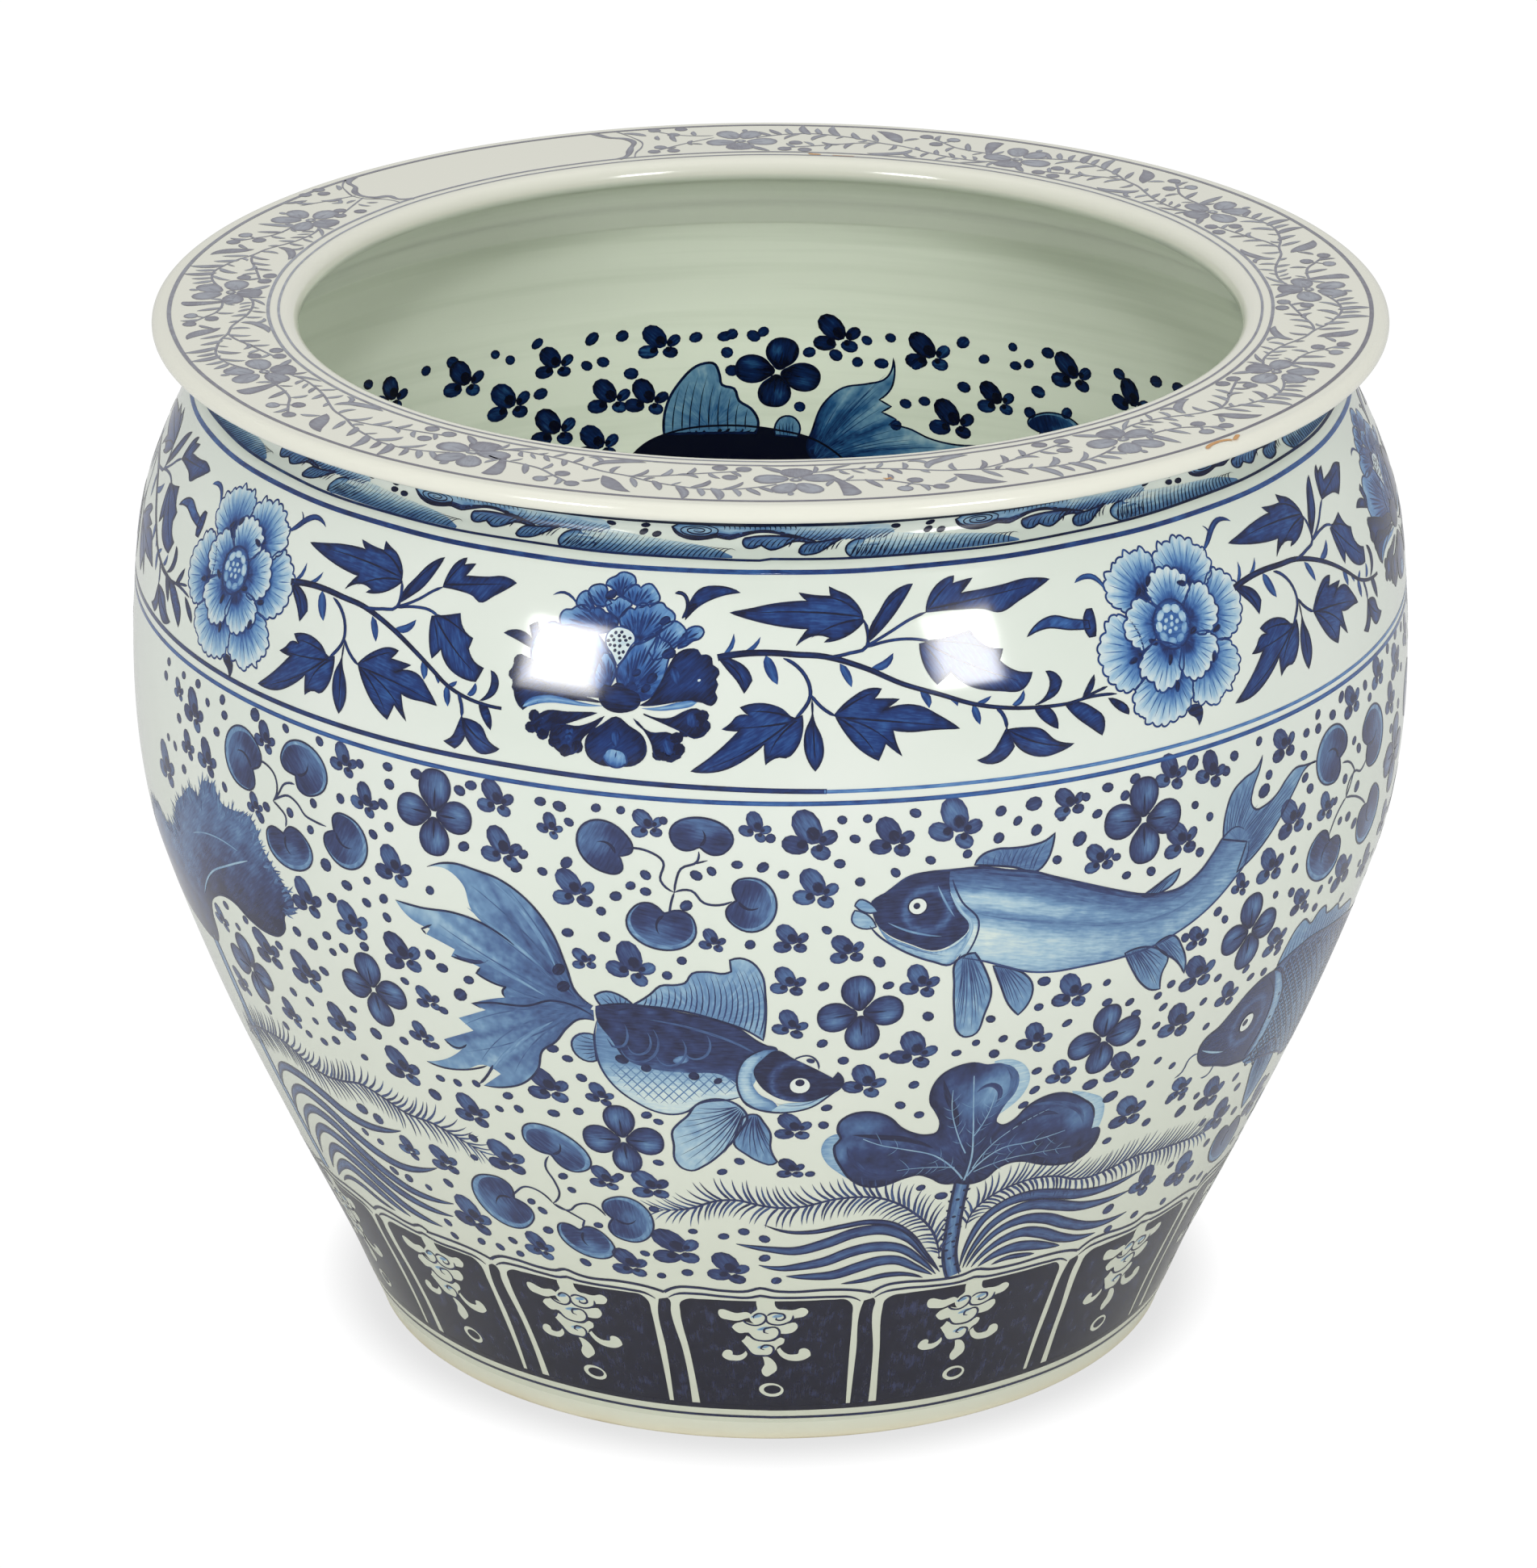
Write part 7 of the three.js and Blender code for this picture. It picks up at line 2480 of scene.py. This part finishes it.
def make_spot(name, place, target, angle, power):
    """A soft narrow lamp through the mouth on to the inside of the far wall."""
    lamp = bpy.data.lights.new(name, "SPOT")
    lamp.energy = power
    lamp.spot_size = math.radians(angle)
    lamp.spot_blend = 1.0
    lamp.shadow_soft_size = 0.12
    obj = bpy.data.objects.new(name, lamp)
    bpy.context.scene.collection.objects.link(obj)
    aim(obj, place, target)
    return obj


def make_floor():
    """White paper: seen from the camera it is plain white but for a painted contact shadow, a soft grey close
    round the foot.
    """
    side = 12.0
    corners = [(-side, -side, 0), (side, -side, 0), (side, side, 0), (-side, side, 0)]
    mesh = bpy.data.meshes.new("floor")
    mesh.from_pydata(corners, [], [(0, 1, 2, 3)])
    material, tree, shader = new_material("floor", 0.9, 0.1)
    shader.inputs["Base Color"].default_value = (0.9, 0.9, 0.9, 1)
    rays = tree.nodes.new("ShaderNodeLightPath")
    # Painted shadow: the nearer the pot, the darker the floor's camera-seen white, as a soft contact shadow
    # round the foot
    near = tree.nodes.new("ShaderNodeAmbientOcclusion")
    near.samples = 12
    near.inputs["Distance"].default_value = 0.03
    level = tree.nodes.new("ShaderNodeMapRange")
    level.inputs["From Min"].default_value = 0.4
    level.inputs["From Max"].default_value = 0.93
    level.inputs["To Min"].default_value = 0.76
    level.inputs["To Max"].default_value = 1.03
    link(tree, near.outputs["AO"], level.inputs["Value"])
    bright = tree.nodes.new("ShaderNodeEmission")
    link(tree, level.outputs["Result"], bright.inputs["Strength"])
    mix = tree.nodes.new("ShaderNodeMixShader")
    link(tree, rays.outputs["Is Camera Ray"], mix.inputs[0])
    link(tree, shader.outputs[0], mix.inputs[1])
    link(tree, bright.outputs[0], mix.inputs[2])
    link(tree, mix.outputs[0], tree.nodes["Material Output"].inputs["Surface"])
    mesh.materials.append(material)
    obj = bpy.data.objects.new("floor", mesh)
    bpy.context.scene.collection.objects.link(obj)
    return obj


def make_world():
    world = bpy.data.worlds.new("world")
    bpy.context.scene.world = world
    world.use_nodes = True
    back = world.node_tree.nodes["Background"]
    back.inputs["Color"].default_value = (1.0, 1.0, 1.0, 1)
    back.inputs["Strength"].default_value = 0.62
    tree = world.node_tree
    rays = tree.nodes.new("ShaderNodeLightPath")
    plain = tree.nodes.new("ShaderNodeBackground")
    plain.inputs["Color"].default_value = (1.0, 1.0, 1.0, 1)
    plain.inputs["Strength"].default_value = 1.0
    mix = tree.nodes.new("ShaderNodeMixShader")
    link(tree, rays.outputs["Is Camera Ray"], mix.inputs[0])
    link(tree, back.outputs[0], mix.inputs[1])
    link(tree, plain.outputs[0], mix.inputs[2])
    link(tree, mix.outputs[0], tree.nodes["World Output"].inputs["Surface"])


camera = make_camera()
left_box = make_softbox("left_softbox", (-1.3458, -1.87325, 1.02525), (-0.16, -0.21, 0.38), 0.585, 0.64, 10)
right_box = make_softbox("right_softbox", (1.2515, -1.88775, 1.1545), (0.13, -0.22, 0.383), 0.50, 0.64, 10)
left_gleam = make_gleam("left_gleam", (-1.322, -1.85, 1.05), (-0.155, -0.21, 0.383), 0.43, 0.42, 7.5)
left_edge = make_gleam("left_gleam_edge", (-1.322, -1.85, 1.06), (-0.155, -0.21, 0.383), 0.54, 0.57, 8)
right_gleam = make_gleam("right_gleam", (1.255, -1.87, 1.11), (0.136, -0.22, 0.385), 0.38, 0.51, 7.8)
right_edge = make_gleam("right_gleam_edge", (1.255, -1.87, 1.11), (0.136, -0.22, 0.385), 0.42, 0.57, 5)
top_box = make_softbox("top_softbox", (0, 0.1, 2.4), (0, 0, 0.4), 2.0, 2.0, 6)
well_lamp = make_spot("inside_lamp", (0, -1.2, 1.62), (0, 0.235, 0.36), 16.5, 100)
unlit = bpy.data.collections.new("not_lit_by_the_inside_lamp")
well_lamp.light_linking.receiver_collection = unlit
for obj in list(bpy.data.objects):
    if obj.name.startswith(("rim_", "iron_")) and obj.type == "MESH":
        unlit.objects.link(obj)
for entry in unlit.collection_objects:
    entry.light_linking.link_state = "EXCLUDE"
floor = make_floor()
make_world()
scene = bpy.context.scene
scene.view_settings.view_transform = "Standard"
scene.view_settings.look = "None"
